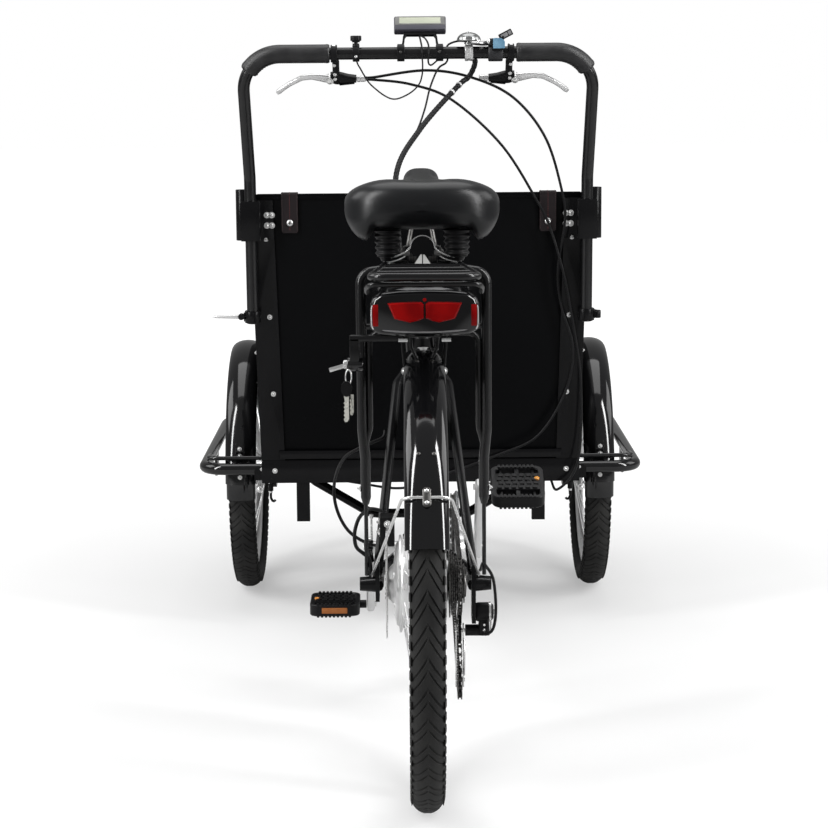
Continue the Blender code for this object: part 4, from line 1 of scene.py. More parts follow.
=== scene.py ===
import bmesh
import bpy
import json
from math import asin, atan2, copysign, cos, exp, pi, radians, sin, sqrt, tan
from mathutils import Matrix, Vector
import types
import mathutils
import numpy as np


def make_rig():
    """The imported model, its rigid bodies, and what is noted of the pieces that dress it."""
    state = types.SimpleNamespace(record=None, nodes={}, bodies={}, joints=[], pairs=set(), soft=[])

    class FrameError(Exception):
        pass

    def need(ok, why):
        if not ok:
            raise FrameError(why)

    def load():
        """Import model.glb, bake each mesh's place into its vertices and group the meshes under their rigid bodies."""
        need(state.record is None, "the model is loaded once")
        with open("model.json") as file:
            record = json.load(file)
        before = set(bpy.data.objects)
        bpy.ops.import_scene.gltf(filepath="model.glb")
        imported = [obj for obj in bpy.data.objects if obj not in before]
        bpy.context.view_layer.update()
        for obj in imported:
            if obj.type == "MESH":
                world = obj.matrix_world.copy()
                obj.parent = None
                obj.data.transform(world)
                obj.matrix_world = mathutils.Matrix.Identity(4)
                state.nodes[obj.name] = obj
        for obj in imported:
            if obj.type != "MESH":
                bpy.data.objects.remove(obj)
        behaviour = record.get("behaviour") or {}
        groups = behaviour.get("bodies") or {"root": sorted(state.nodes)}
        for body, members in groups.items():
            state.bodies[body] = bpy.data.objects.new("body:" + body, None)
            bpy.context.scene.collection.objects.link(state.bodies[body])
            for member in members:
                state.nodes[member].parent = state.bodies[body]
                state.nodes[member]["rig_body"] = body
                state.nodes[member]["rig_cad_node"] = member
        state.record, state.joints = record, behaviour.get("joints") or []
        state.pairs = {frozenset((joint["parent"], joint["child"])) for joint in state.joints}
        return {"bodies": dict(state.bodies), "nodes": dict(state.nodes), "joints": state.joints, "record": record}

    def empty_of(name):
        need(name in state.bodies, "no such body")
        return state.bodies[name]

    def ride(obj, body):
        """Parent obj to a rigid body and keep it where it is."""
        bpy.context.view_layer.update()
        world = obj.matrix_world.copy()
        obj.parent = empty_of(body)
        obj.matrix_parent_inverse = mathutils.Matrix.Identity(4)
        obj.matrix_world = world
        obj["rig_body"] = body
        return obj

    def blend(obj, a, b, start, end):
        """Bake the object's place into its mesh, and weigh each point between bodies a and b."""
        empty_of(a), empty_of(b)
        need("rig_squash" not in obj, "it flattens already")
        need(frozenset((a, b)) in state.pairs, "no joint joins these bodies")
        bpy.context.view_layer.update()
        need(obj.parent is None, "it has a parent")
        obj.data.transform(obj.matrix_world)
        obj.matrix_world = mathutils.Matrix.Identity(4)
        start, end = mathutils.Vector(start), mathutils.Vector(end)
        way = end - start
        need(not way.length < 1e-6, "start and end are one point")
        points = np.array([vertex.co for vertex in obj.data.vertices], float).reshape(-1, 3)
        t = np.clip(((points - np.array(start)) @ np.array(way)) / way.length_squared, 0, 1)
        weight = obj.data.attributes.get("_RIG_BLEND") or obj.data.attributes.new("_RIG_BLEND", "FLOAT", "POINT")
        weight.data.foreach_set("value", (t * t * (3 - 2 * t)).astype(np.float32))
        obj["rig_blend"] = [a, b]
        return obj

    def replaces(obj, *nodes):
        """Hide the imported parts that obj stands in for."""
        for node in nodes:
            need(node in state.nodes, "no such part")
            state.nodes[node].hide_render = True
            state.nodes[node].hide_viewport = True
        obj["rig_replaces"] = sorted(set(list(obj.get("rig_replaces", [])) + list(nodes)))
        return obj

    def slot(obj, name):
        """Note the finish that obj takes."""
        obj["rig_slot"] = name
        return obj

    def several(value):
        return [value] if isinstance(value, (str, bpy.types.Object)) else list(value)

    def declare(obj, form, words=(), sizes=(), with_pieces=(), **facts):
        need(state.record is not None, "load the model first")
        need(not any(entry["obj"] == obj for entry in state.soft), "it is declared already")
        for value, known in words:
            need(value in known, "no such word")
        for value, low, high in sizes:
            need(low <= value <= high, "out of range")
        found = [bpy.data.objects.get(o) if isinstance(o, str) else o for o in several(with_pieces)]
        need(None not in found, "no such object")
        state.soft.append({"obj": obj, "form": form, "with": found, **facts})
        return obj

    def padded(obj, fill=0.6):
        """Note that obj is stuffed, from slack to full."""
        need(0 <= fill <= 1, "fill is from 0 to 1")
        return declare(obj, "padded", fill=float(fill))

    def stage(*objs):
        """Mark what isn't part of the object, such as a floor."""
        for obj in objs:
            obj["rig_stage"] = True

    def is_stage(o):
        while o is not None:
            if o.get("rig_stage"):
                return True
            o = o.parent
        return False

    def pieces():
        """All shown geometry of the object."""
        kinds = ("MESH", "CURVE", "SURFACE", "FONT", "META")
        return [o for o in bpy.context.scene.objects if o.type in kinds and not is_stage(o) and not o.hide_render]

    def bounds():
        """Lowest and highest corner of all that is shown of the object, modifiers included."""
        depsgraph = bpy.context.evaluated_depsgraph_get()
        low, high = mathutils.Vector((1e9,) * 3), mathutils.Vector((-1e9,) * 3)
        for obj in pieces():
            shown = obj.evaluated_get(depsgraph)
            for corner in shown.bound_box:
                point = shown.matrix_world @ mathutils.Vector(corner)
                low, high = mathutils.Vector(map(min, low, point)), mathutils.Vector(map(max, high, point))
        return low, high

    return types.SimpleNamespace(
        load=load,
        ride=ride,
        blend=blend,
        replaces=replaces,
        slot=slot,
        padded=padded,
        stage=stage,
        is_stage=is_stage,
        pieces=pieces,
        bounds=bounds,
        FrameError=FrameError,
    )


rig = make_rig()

# An electric cargo tricycle, dressed round the CAD solids. Lengths are metres: X to the right, Y ahead, Z up.
# Each visible piece rides on the body that it is fixed to; blended pieces bridge two bodies.
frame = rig.load()
CAD_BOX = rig.bounds()

# Camera, fitted to the photograph
CAMERA_PLACE = (-0.0254, -3.9462, 1.0709)
CAMERA_YAW, CAMERA_PITCH, CAMERA_ROLL = -0.186, -8.695, -0.444
CAMERA_LENS = 96.23
cam_data = bpy.data.cameras.new("camera")
cam = bpy.data.objects.new("camera", cam_data)
bpy.context.scene.collection.objects.link(cam)
cam_data.lens = CAMERA_LENS
cam_data.sensor_width = 36
cam_data.clip_end = 60
turned_camera = Matrix.Translation(CAMERA_PLACE)
for angle, axis in ((CAMERA_YAW, "Z"), (90 + CAMERA_PITCH, "X"), (CAMERA_ROLL, "Z")):
    turned_camera = turned_camera @ Matrix.Rotation(radians(angle), 4, axis)
cam.matrix_world = turned_camera
bpy.context.scene.camera = cam
bpy.context.scene.view_settings.view_transform = "Standard"


# Materials
def nodes_of(mat):
    """The node tree of a new material, with its main shader."""
    mat.use_nodes = True
    tree = mat.node_tree
    tree.nodes.clear()
    out = tree.nodes.new("ShaderNodeOutputMaterial")
    shader = tree.nodes.new("ShaderNodeBsdfPrincipled")
    tree.links.new(shader.outputs[0], out.inputs[0])
    return tree, shader


def noise(tree, scale, detail, stretch=None):
    """A noise value in the object's own coordinates, drawn out along an axis where stretch is given."""
    source = tree.nodes.new("ShaderNodeTexCoord").outputs["Object"]
    if stretch:
        turn = tree.nodes.new("ShaderNodeMapping")
        turn.inputs["Scale"].default_value = stretch
        tree.links.new(source, turn.inputs["Vector"])
        source = turn.outputs[0]
    grain = tree.nodes.new("ShaderNodeTexNoise")
    grain.inputs["Scale"].default_value = scale
    grain.inputs["Detail"].default_value = detail
    tree.links.new(source, grain.inputs["Vector"])
    return grain.outputs["Fac"]


def ramp(tree, value, *limits):
    """Maps a value from the first two limits onto the last two."""
    m = tree.nodes.new("ShaderNodeMapRange")
    for word, limit in zip(("From Min", "From Max", "To Min", "To Max"), limits):
        m.inputs[word].default_value = limit
    tree.links.new(value, m.inputs["Value"])
    return m.outputs[0]


def product(tree, first, second):
    m = tree.nodes.new("ShaderNodeMath")
    m.operation = "MULTIPLY"
    tree.links.new(first, m.inputs[0])
    tree.links.new(second, m.inputs[1])
    return m.outputs[0]


def two_colours(tree, value, first, second):
    """Mixes a colour, or a socket that holds one, with a second colour."""
    m = tree.nodes.new("ShaderNodeMix")
    m.data_type = "RGBA"
    if isinstance(first, tuple):
        m.inputs["A"].default_value = (*first, 1)
    else:
        tree.links.new(first, m.inputs["A"])
    m.inputs["B"].default_value = (*second, 1)
    tree.links.new(value, m.inputs["Factor"])
    return m.outputs["Result"]


def material(
    name, colour, second, rough, metal=0.0, spots=6.0, grain=400.0, bump=0.1, stretch=None, coat=0.0, wear=None,
    cells=0.0, through=0.0, spec=0.5,
):
    """A surface with slow colour change, roughness change, fine grain, and paler worn edges."""
    mat = bpy.data.materials.new(name)
    tree, shader = nodes_of(mat)
    slow = noise(tree, spots, 5.0)
    height = noise(tree, grain, 2.0, stretch)
    tone = two_colours(tree, ramp(tree, slow, 0.35, 0.65, 0, 1), colour, second)
    if wear:
        edge = tree.nodes.new("ShaderNodeNewGeometry").outputs["Pointiness"]
        patches = ramp(tree, noise(tree, 45.0, 4.0), 0.45, 0.6, 0, 1)
        tone = two_colours(tree, product(tree, ramp(tree, edge, 0.53, 0.62, 0, 0.8), patches), tone, wear)
    if cells:
        web = tree.nodes.new("ShaderNodeTexVoronoi")
        web.inputs["Scale"].default_value = cells
        tree.links.new(tree.nodes.new("ShaderNodeTexCoord").outputs["Object"], web.inputs["Vector"])
        height = web.outputs["Distance"]
    tree.links.new(tone, shader.inputs["Base Color"])
    tree.links.new(ramp(tree, slow, 0.3, 0.7, *rough), shader.inputs["Roughness"])
    shader.inputs["Metallic"].default_value = metal
    shader.inputs["Coat Weight"].default_value = coat
    shader.inputs["Coat Roughness"].default_value = 0.08
    shader.inputs["Specular IOR Level"].default_value = spec
    shader.inputs["Transmission Weight"].default_value = through
    relief = tree.nodes.new("ShaderNodeBump")
    relief.inputs["Strength"].default_value = bump
    relief.inputs["Distance"].default_value = 0.001
    tree.links.new(height, relief.inputs["Height"])
    tree.links.new(relief.outputs[0], shader.inputs["Normal"])
    mat.diffuse_color = (*colour, 1)
    return mat


# Each look: two colours, the range of roughness and the rest
LOOKS = {
    "black_paint": (
        (0.0028, 0.0028, 0.0032), (0.004, 0.004, 0.0044), (0.2, 0.27),
        dict(spots=3, grain=900, bump=0.04, spec=0.17)
    ),
    "bar_paint": (
        (0.003, 0.003, 0.0034), (0.0044, 0.0044, 0.0048), (0.2, 0.27),
        dict(spots=3, grain=900, bump=0.04, spec=0.42)
    ),
    "gloss_black": (
        (0.0025, 0.0025, 0.003), (0.004, 0.004, 0.0045), (0.06, 0.12), dict(grain=300, bump=0.02, spec=0.55)
    ),
    "box_panel": (
        (0.0018, 0.0019, 0.0022), (0.0026, 0.0027, 0.0031), (0.26, 0.34),
        dict(spots=3, grain=700, bump=0.03, spec=0.05)
    ),
    "tyre": (
        (0.015, 0.015, 0.015), (0.029, 0.0288, 0.028), (0.55, 0.72), dict(spots=14, grain=500, bump=0.35, spec=0.14)
    ),
    "rubber": ((0.004, 0.004, 0.0045), (0.007, 0.007, 0.0075), (0.36, 0.5), dict(grain=600, bump=0.12, spec=0.18)),
    "steel": (
        (0.66, 0.66, 0.66), (0.8, 0.8, 0.79), (0.2, 0.34),
        dict(metal=0.82, spots=20, grain=250, bump=0.04, stretch=(1, 1, 12))
    ),
    "aluminium": (
        (0.72, 0.72, 0.72), (0.84, 0.84, 0.84), (0.26, 0.4), dict(metal=0.72, spots=16, grain=500, bump=0.06)
    ),
    "black_plastic": (
        (0.0036, 0.0036, 0.004), (0.006, 0.006, 0.0067), (0.3, 0.42), dict(grain=1400, bump=0.15, spec=0.19)
    ),
    "dark_steel": (
        (0.07, 0.068, 0.066), (0.14, 0.137, 0.133), (0.28, 0.45), dict(metal=1.0, spots=40, grain=300, bump=0.1)
    ),
    "vinyl": (
        (0.0035, 0.0038, 0.0044), (0.0055, 0.0058, 0.0066), (0.27, 0.33),
        dict(spots=8, bump=0.05, cells=900, spec=0.32)
    ),
    "leather": (
        (0.0062, 0.0045, 0.0052), (0.011, 0.0068, 0.0078), (0.48, 0.62),
        dict(spots=25, bump=0.25, cells=700, spec=0.2, wear=(0.025, 0.014, 0.015))
    ),
    "red_lens": (
        (0.15, 0.001, 0.0014), (0.24, 0.002, 0.002), (0.1, 0.16), dict(spots=26, grain=200, bump=0.05, spec=0.16)
    ),
    "screen_plastic": ((0.014, 0.0145, 0.016), (0.02, 0.0205, 0.022), (0.36, 0.46), dict(grain=1200, bump=0.15)),
    "grey_plastic": ((0.01, 0.01, 0.012), (0.016, 0.017, 0.02), (0.4, 0.5), dict(grain=1200, bump=0.2)),
    "clear_plastic": ((0.55, 0.56, 0.57), (0.65, 0.66, 0.67), (0.1, 0.18), dict(grain=300, bump=0.05, through=0.8)),
    "grip_leather": (
        (0.008, 0.008, 0.0086), (0.013, 0.013, 0.0138), (0.34, 0.46),
        dict(spots=40, bump=0.2, cells=900, spec=0.45, wear=(0.03, 0.027, 0.026))
    ),
    "thread": ((0.02, 0.012, 0.013), (0.034, 0.02, 0.021), (0.6, 0.7), dict(spots=80, grain=900, bump=0.3)),
    "chrome": (
        (0.28, 0.285, 0.285), (0.38, 0.385, 0.38), (0.2, 0.3), dict(metal=0.85, spots=20, grain=300, bump=0.03)
    ),
    "lcd": ((0.37, 0.39, 0.31), (0.43, 0.45, 0.36), (0.16, 0.22), dict(spots=12, grain=600, bump=0.02, coat=0.5)),
    "amber_lens": (
        (0.52, 0.18, 0.015), (0.64, 0.26, 0.03), (0.1, 0.18), dict(spots=60, bump=0.35, cells=700, coat=0.5)
    ),
    "amber_strip": (
        (0.3, 0.095, 0.025), (0.38, 0.13, 0.035), (0.12, 0.2), dict(spots=60, bump=0.35, cells=700, spec=0.3)
    ),
    "bright_paint": (
        (0.62, 0.62, 0.6), (0.74, 0.74, 0.72), (0.28, 0.4), dict(metal=0.3, spots=30, grain=500, bump=0.06)
    ),
    "red_thread": ((0.09, 0.012, 0.014), (0.13, 0.02, 0.022), (0.6, 0.7), dict(spots=80, grain=900, bump=0.3)),
    "key_brass": (
        (0.66, 0.66, 0.6), (0.78, 0.77, 0.7), (0.22, 0.32), dict(metal=0.45, spots=60, grain=400, bump=0.06)
    ),
    "bezel_plastic": (
        (0.15, 0.15, 0.145), (0.2, 0.2, 0.195), (0.35, 0.45), dict(spots=30, grain=900, bump=0.08, spec=0.3)
    ),
    "button_plastic": ((0.04, 0.039, 0.05), (0.055, 0.053, 0.068), (0.4, 0.5), dict(grain=1200, bump=0.15)),
    # Pale grey that paints highlights: the light streaks on the battery's top and the lit insets of the gear lever's
    # paddle.
    "ridge_plastic": (
        (0.12, 0.12, 0.123), (0.18, 0.18, 0.184), (0.3, 0.42), dict(spots=30, grain=900, bump=0.12, spec=0.3)
    ),
    "pale_window": (
        (0.085, 0.19, 0.29), (0.14, 0.27, 0.38), (0.12, 0.2), dict(spots=40, grain=600, bump=0.02, coat=0.4)
    ),
}
M = {name: material(name, *look, **more) for name, (*look, more) in LOOKS.items()}
SLOT = {s["node"]: s["material_slot"] for s in frame["record"]["subparts"]}
for node, slot in SLOT.items():
    o = bpy.data.objects[node]
    if not o.material_slots:
        o.data.materials.append(M[slot])
    for s in o.material_slots:
        s.material = M[slot]
SLOTS = set(SLOT.values())


# Shapes
def vec(x, y, z):
    return Vector((x, y, z))


def made(name, shape, mat, body, replaced=None, angle=40):
    """Turns a bmesh, or a list of them, into a piece that rides on a body."""
    bm = join(*shape) if isinstance(shape, list) else shape
    bmesh.ops.remove_doubles(bm, verts=bm.verts, dist=0.00001)
    bmesh.ops.recalc_face_normals(bm, faces=bm.faces)
    mesh = bpy.data.meshes.new(name)
    bm.to_mesh(mesh)
    bm.free()
    mesh.shade_smooth()
    mesh.set_sharp_from_angle(angle=radians(angle))
    mesh.materials.append(M[mat])
    o = bpy.data.objects.new(name, mesh)
    bpy.context.scene.collection.objects.link(o)
    if body:
        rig.ride(o, body)
    if replaced:
        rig.replaces(o, replaced)
    if mat in SLOTS:
        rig.slot(o, mat)
    return o


def join(*shapes):
    """All the shapes in the first bmesh."""
    first = shapes[0]
    for other in shapes[1:]:
        mesh = bpy.data.meshes.new("part")
        other.to_mesh(mesh)
        other.free()
        first.from_mesh(mesh)
        bpy.data.meshes.remove(mesh)
    return first


def round_steps(count, offset=0.0):
    """The angles of so many steps round a circle."""
    return [2 * pi * (k + offset) / count for k in range(count)]


def circle(radius, sides):
    """A round outline."""
    return [(radius * cos(t), radius * sin(t)) for t in round_steps(sides)]


def flat(wide, tall):
    """A rectangle's outline from its half widths."""
    return [(-wide, -tall), (wide, -tall), (wide, tall), (-wide, tall)]


def bent(value, power):
    """A power that keeps the value's sign."""
    return copysign(abs(value) ** power, value)


def squarish(wide, tall, power, tall_power, count):
    """An outline between an ellipse and a rectangle: the lower the powers, the squarer."""
    turns = round_steps(count, 0.5)
    return [(wide * bent(cos(t), power), tall * bent(sin(t), tall_power)) for t in turns]


def loft(rings, closed=False):
    """Walls between rings of points. The two ends are faces, or the last ring joins the first."""
    bm = bmesh.new()
    rows = [[bm.verts.new(p) for p in ring] for ring in rings]
    for first, second in zip(rows, rows[1:] + rows[:1] if closed else rows[1:]):
        for corners in zip(first, first[1:] + first[:1], second[1:] + second[:1], second):
            bm.faces.new(corners)
    if not closed:
        bm.faces.new(rows[0])
        bm.faces.new(rows[-1])
    return bm


def sweep(points, outline, closed=False, side=None, sizes=None):
    """An outline carried along a path, scaled at each point where sizes are given."""
    points = [Vector(p) for p in points]
    count = len(points)
    rings = []
    across = Vector(side) if side else None
    for k, point in enumerate(points):
        before = points[k - 1] if k or closed else point
        after = points[(k + 1) % count] if k < count - 1 or closed else point
        way = (after - before).normalized()
        if across is None:
            across = way.orthogonal()
        across = (across - way * across.dot(way)).normalized()
        other = way.cross(across)
        size = sizes[k] if sizes else 1.0
        wide, tall = size if isinstance(size, tuple) else (size, size)
        rings.append([point + across * u * wide + other * v * tall for u, v in outline])
    return loft(rings, closed)


def shaft(spot, stops, outline, side):
    """A sweep through stops, each with what spot needs to find its point and the outline's two scales."""
    path = [spot(*place) for *place, wide, tall in stops]
    return sweep(path, outline, side=side, sizes=[(wide, tall) for *place, wide, tall in stops])


def tube(points, radius, sides, closed=False, sizes=None):
    return sweep(points, circle(radius, sides), closed, sizes=sizes)


def rounded(points, radius, steps):
    """A path with its corners turned into arcs, of one radius or of one radius each."""
    points = [Vector(p) for p in points]
    path = [points[0]]
    radii = radius if isinstance(radius, tuple) else (radius,) * (len(points) - 2)
    for before, corner, after, radius in zip(points, points[1:], points[2:], radii):
        a = (before - corner).normalized()
        b = (after - corner).normalized()
        half = a.angle(b) / 2
        reach = radius / tan(half)
        centre = corner + (a + b).normalized() * (radius / sin(half))
        start = corner + a * reach - centre
        end = corner + b * reach - centre
        for k in range(steps + 1):
            path.append(centre + start.slerp(end, k / steps) * radius)
    path.append(points[-1])
    return path


def smooth(points, spacing):
    """A curve through all the points, with new ones at about this spacing."""
    points = [Vector(p) for p in points]
    ends = [2 * points[0] - points[1], *points, 2 * points[-1] - points[-2]]
    path = [points[0]]
    for a, b, c, d in zip(ends, ends[1:], ends[2:], ends[3:]):
        count = max(1, round((c - b).length / spacing))
        for k in range(1, count + 1):
            t = k / count
            path.append(
                0.5 * (2 * b + (c - a) * t + (2 * a - 5 * b + 4 * c - d) * t**2 + (3 * b - a - 3 * c + d) * t**3)
            )
    return path


def bent_tube(points, corner, steps, radius, sides):
    """A tube with its corners bent into arcs."""
    return tube(rounded(points, corner, steps), radius, sides)


def curved_tube(points, spacing, radius, sides):
    """A tube along a curve through all the points."""
    return tube(smooth(points, spacing), radius, sides)


def spot_round(axis, centre, along, out, angle):
    """A point so far along an axis and so far out from it, at an angle round it."""
    s, c = sin(angle), cos(angle)
    place = {"X": (along, -out * s, out * c), "Y": (out * s, along, out * c), "Z": (out * s, out * c, along)}[axis]
    return Vector(centre) + Vector(place)


def turned(profile, centre, axis, seg, start=0.0, span=2 * pi):
    """A closed profile of (along, out) pairs turned round an axis, all round or over part of it."""
    whole = span > 6.28
    angles = [start + span * k / seg for k in range(seg if whole else seg + 1)]
    bm = loft([[spot_round(axis, centre, a, r, angle) for a, r in profile] for angle in angles], whole)
    bmesh.ops.remove_doubles(bm, verts=bm.verts, dist=0.000005)
    bmesh.ops.dissolve_degenerate(bm, edges=bm.edges, dist=0.000005)
    return bm


def collar(centre, axis, ends, radii, seg, start=0.0, span=2 * pi):
    """A ring with a rectangular section, all round an axis or over part of it."""
    (a, b), (low, high) = ends, radii
    return turned([(a, low), (a, high), (b, high), (b, low)], centre, axis, seg, start, span)


def rod(start, end, radius, sides, end_radius=None):
    """A round bar between two points, thinner at its end where asked."""
    return tube([start, end], radius, sides, sizes=[1.0, (end_radius or radius) / radius])


def block(low, high, bevel=0.0, turn=None, about=None):
    """A box between two corners, with rounded edges and turned about a point where asked."""
    low, high = Vector(low), Vector(high)
    bm = bmesh.new()
    bmesh.ops.create_cube(bm, size=1.0)
    for v in bm.verts:
        v.co = (low + high) / 2 + v.co * (high - low)
    if bevel:
        bmesh.ops.bevel(bm, geom=bm.edges[:], offset=bevel, segments=2, affect="EDGES", profile=0.6)
    if turn:
        about = Vector(about)
        for v in bm.verts:
            v.co = about + turn @ (v.co - about)
    return bm


def bolt(place, way, radius, height, washer=True):
    """A hexagon head with a domed end on a washer."""
    place, way = Vector(place), Vector(way).normalized()
    shapes = [tube([place, place + way * height * 0.8, place + way * height], radius, 6, sizes=[1, 1, 0.82])]
    if washer:
        shapes += [
            tube([place - way * 0.0002, place + way * 0.0011], radius * 1.45, 18),
            tube(
                [place + way * height * 0.9, place + way * (height + 0.0015), place + way * (height + 0.0024)],
                radius * 0.5, 12, sizes=[1, 1, 0.4]
            )
        ]
    return join(*shapes)


def polish(node, bevel):
    """Smooth shading and fine edge rounds on a CAD node that stays."""
    o = bpy.data.objects[node]
    for p in o.data.polygons:
        p.use_smooth = True
    sharp = radians(35)
    o.modifiers.new("weld", "WELD").merge_threshold = 0.00002
    soft = o.modifiers.new("bevel", "BEVEL")
    soft.width = bevel
    soft.segments = 2
    soft.limit_method = "ANGLE"
    soft.angle_limit = sharp
    soft.harden_normals = False
    o.modifiers.new("split", "EDGE_SPLIT").split_angle = sharp


# Places
REAR_Y, FRONT_Y = -0.7685, 0.6815
REAR_R, FRONT_R = 0.333, 0.254
HALF_TRACK = 0.36
REAR = vec(0, REAR_Y, REAR_R)
CRANK = vec(0, -0.3085, 0.288)
BAR_Y, BAR_Z, BAR_R, CLAMP_BORE = 0.107175, 1.111, 0.011, 0.0112
LEG_X, LEG_LEAN, CLAMP_Z = 0.3133, 0.06082, 0.625
BRAKE_X = {-1: -0.152, 1: 0.168}
BRAKE_PIVOT = 0.055
KNOB_X, DISPLAY_X, BELL_X = -0.112, 0.004, 0.092
GUARD_REACH = 0.3113
SEAT_TUBE_Y, SEAT_TUBE_TOP = -0.4453, 0.6639
# The gap that the CAD leaves between solids that move against each other
GAP = 0.0003
SIDES = ((-1, "left"), (1, "right"))


def upright_y(z):
    """The line of the handlebar's legs."""
    return 0.1979 + (CLAMP_Z - z) * LEG_LEAN


def total_length(points):
    return sum((b - a).length for a, b in zip(points, points[1:]))


# Wheels
def tyre_profile(radius, width, rim_radius):
    """Half a tyre's cross-section after the other, from bead to bead, as (across, out) pairs."""
    rim_width, count = 0.027, 26
    half, height = width / 2, radius - rim_radius
    start = asin(min(0.95, rim_width / 2 / half))
    turns = [start + (2 * pi - 2 * start) * k / count for k in range(count + 1)]
    centre = radius - height / 2
    return [(half * sin(a), max(centre - height / 2 * cos(a), rim_radius)) for a in turns]


# One pitch of the tread: share of the pitch, and whether it is down in a groove
TREAD = (
    (0.0, 1), (0.09, 1), (0.12, 0), (0.36, 0), (0.39, 1), (0.46, 1), (0.49, 0), (0.66, 0), (0.82, 0), (0.97, 0)
)
PITCHES, TREAD_LEAN, GROOVE, CENTRE_GROOVE = 46, 0.95, 0.0022, 0.0006


def tyre(name, body, centre, radius, width, rim_radius):
    """A tyre with raised blocks between slanted double grooves, studs along its shoulders and two fine ribs."""
    profile = tyre_profile(radius, width, rim_radius)
    half, height = width / 2, radius - rim_radius
    rings = []
    for k in range(PITCHES):
        for share, low in TREAD:
            ring = []
            for x, out in profile:
                u = abs(x) / half
                top = out > radius - height * 0.36
                angle = 2 * pi * (k + share + TREAD_LEAN * min(u, 0.86)) / PITCHES
                depth = GROOVE if top and low and 0.1 < u < 0.92 else CENTRE_GROOVE if top and u < 0.1 else 0.0
                ring.append(spot_round("X", centre, x, out - depth, angle))
            rings.append(ring)
    bm = loft(rings, closed=True)
    stud, shoulder = 0.0016, radius - height * 0.3
    for side in (-1, 1):
        for angle in round_steps(PITCHES * 2, 0.5):
            span = 2 * pi * 0.3 / (PITCHES * 2)
            corners = []
            for end in (angle - span, angle + span):
                for x, r in ((half * 0.9, shoulder + 0.003), (half * 0.985, shoulder - 0.006)):
                    corners.append(spot_round("X", centre, side * x, r - 0.002, end))
                    tip = end * 0.9 + angle * 0.1
                    corners.append(spot_round("X", centre, side * (x + stud * 0.9), r + stud * 0.4, tip))
            vs = [bm.verts.new(c) for c in corners]
            for quad in ((1, 3, 7, 5), (0, 1, 5, 4), (2, 6, 7, 3), (0, 2, 3, 1), (4, 5, 7, 6), (0, 4, 6, 2)):
                bm.faces.new([vs[i] for i in quad])
        for r, lift in ((radius - 0.03, 0.0006), (rim_radius + 0.006, 0.0008)):
            x = half * sqrt(max(0.0, 1 - ((r - (radius + rim_radius) / 2) / (height / 2)) ** 2))
            rib = [(side * (x - 0.001), r - 0.0012), (side * (x + lift), r), (side * (x - 0.001), r + 0.0012)]
            join(bm, turned(rib, centre, "X", 96))
    return made(name, bm, "tyre", body, name.replace("_tread", ""), 32)


def crossed_spokes(centre, count, flanges, flange_radius, rim_radius, radius=0.001):
    """Spokes with nipples, from the two flanges of a hub to the rim."""
    shapes = []
    for k in range(count):
        x = flanges[k % 2]
        lead = 1 if (k // 2) % 2 else -1
        rim_angle = 2 * pi * (k + 0.21) / count
        hub_angle = rim_angle + lead * 2 * pi * 2.2 / count
        start = spot_round("X", centre, x, flange_radius - 0.003, hub_angle)
        end = spot_round("X", centre, copysign(0.003, x), rim_radius, rim_angle)
        shapes += [rod(start, end, radius, 6), rod(end - (end - start).normalized() * 0.012, end, radius * 1.9, 6)]
    return join(*shapes)


def mirrored(half):
    """A profile and its mirror image, in one loop."""
    return [(-x, out) for x, out in half] + [(x, out) for x, out in reversed(half)]


def rim_shape(centre, top):
    """A box-section rim; top is the radius of the tyre's bed."""
    seat, lip = 0.0135, 0.0016
    half = [(seat + lip, top + 0.003), (seat - 0.001, top + 0.003), (seat - 0.002, top - 0.001)]
    low = [
        (seat + lip * 0.6, top - 0.002), (seat + 0.0002, top - 0.009), (seat * 0.75, top - 0.013),
        (seat * 0.4, top - 0.018), (seat * 0.15, top - 0.019)
    ]
    profile = mirrored(half) + [(x, out) for x, out in low] + [(-x, out) for x, out in reversed(low)]
    return turned(profile, centre, "X", 96)


for side, word in SIDES:
    centre = vec(side * HALF_TRACK, FRONT_Y, FRONT_R)
    tyre(f"front_tyre_{word}_tread", f"{word}_wheel", centre, FRONT_R, 0.052, 0.2085)
    inner, outer = side * 0.315 - centre.x, side * 0.4255 - centre.x
    flange = [
        (0.04, 0.007), (0.04, 0.012), (0.036, 0.014), (0.036, 0.0295), (0.032, 0.0295), (0.03, 0.019),
        (0.022, 0.0165)
    ]
    hub = [(inner, 0), (inner, 0.007)] + [
        (side * x, out) for x, out in mirrored(flange)
    ] + [(outer, 0.007), (outer, 0)]
    valve = rod(spot_round("X", centre, 0, 0.188, 0.4), spot_round("X", centre, 0, 0.165, 0.4), 0.003, 12)
    spokes = crossed_spokes(centre, 28, (-0.034, 0.034), 0.0285, 0.19)
    made(
        f"front_wheel_{word}_built", [turned(hub, centre, "X", 40), valve, rim_shape(centre, 0.2078), spokes],
        "aluminium", f"{word}_wheel", f"front_wheel_{word}"
    )
    made(
        f"wheel_reflector_{word}",
        collar(centre, "X", (-0.0075, 0.0075), (0.149, 0.1725), 8, radians(114), radians(18)), "amber_lens",
        f"{word}_wheel"
    )

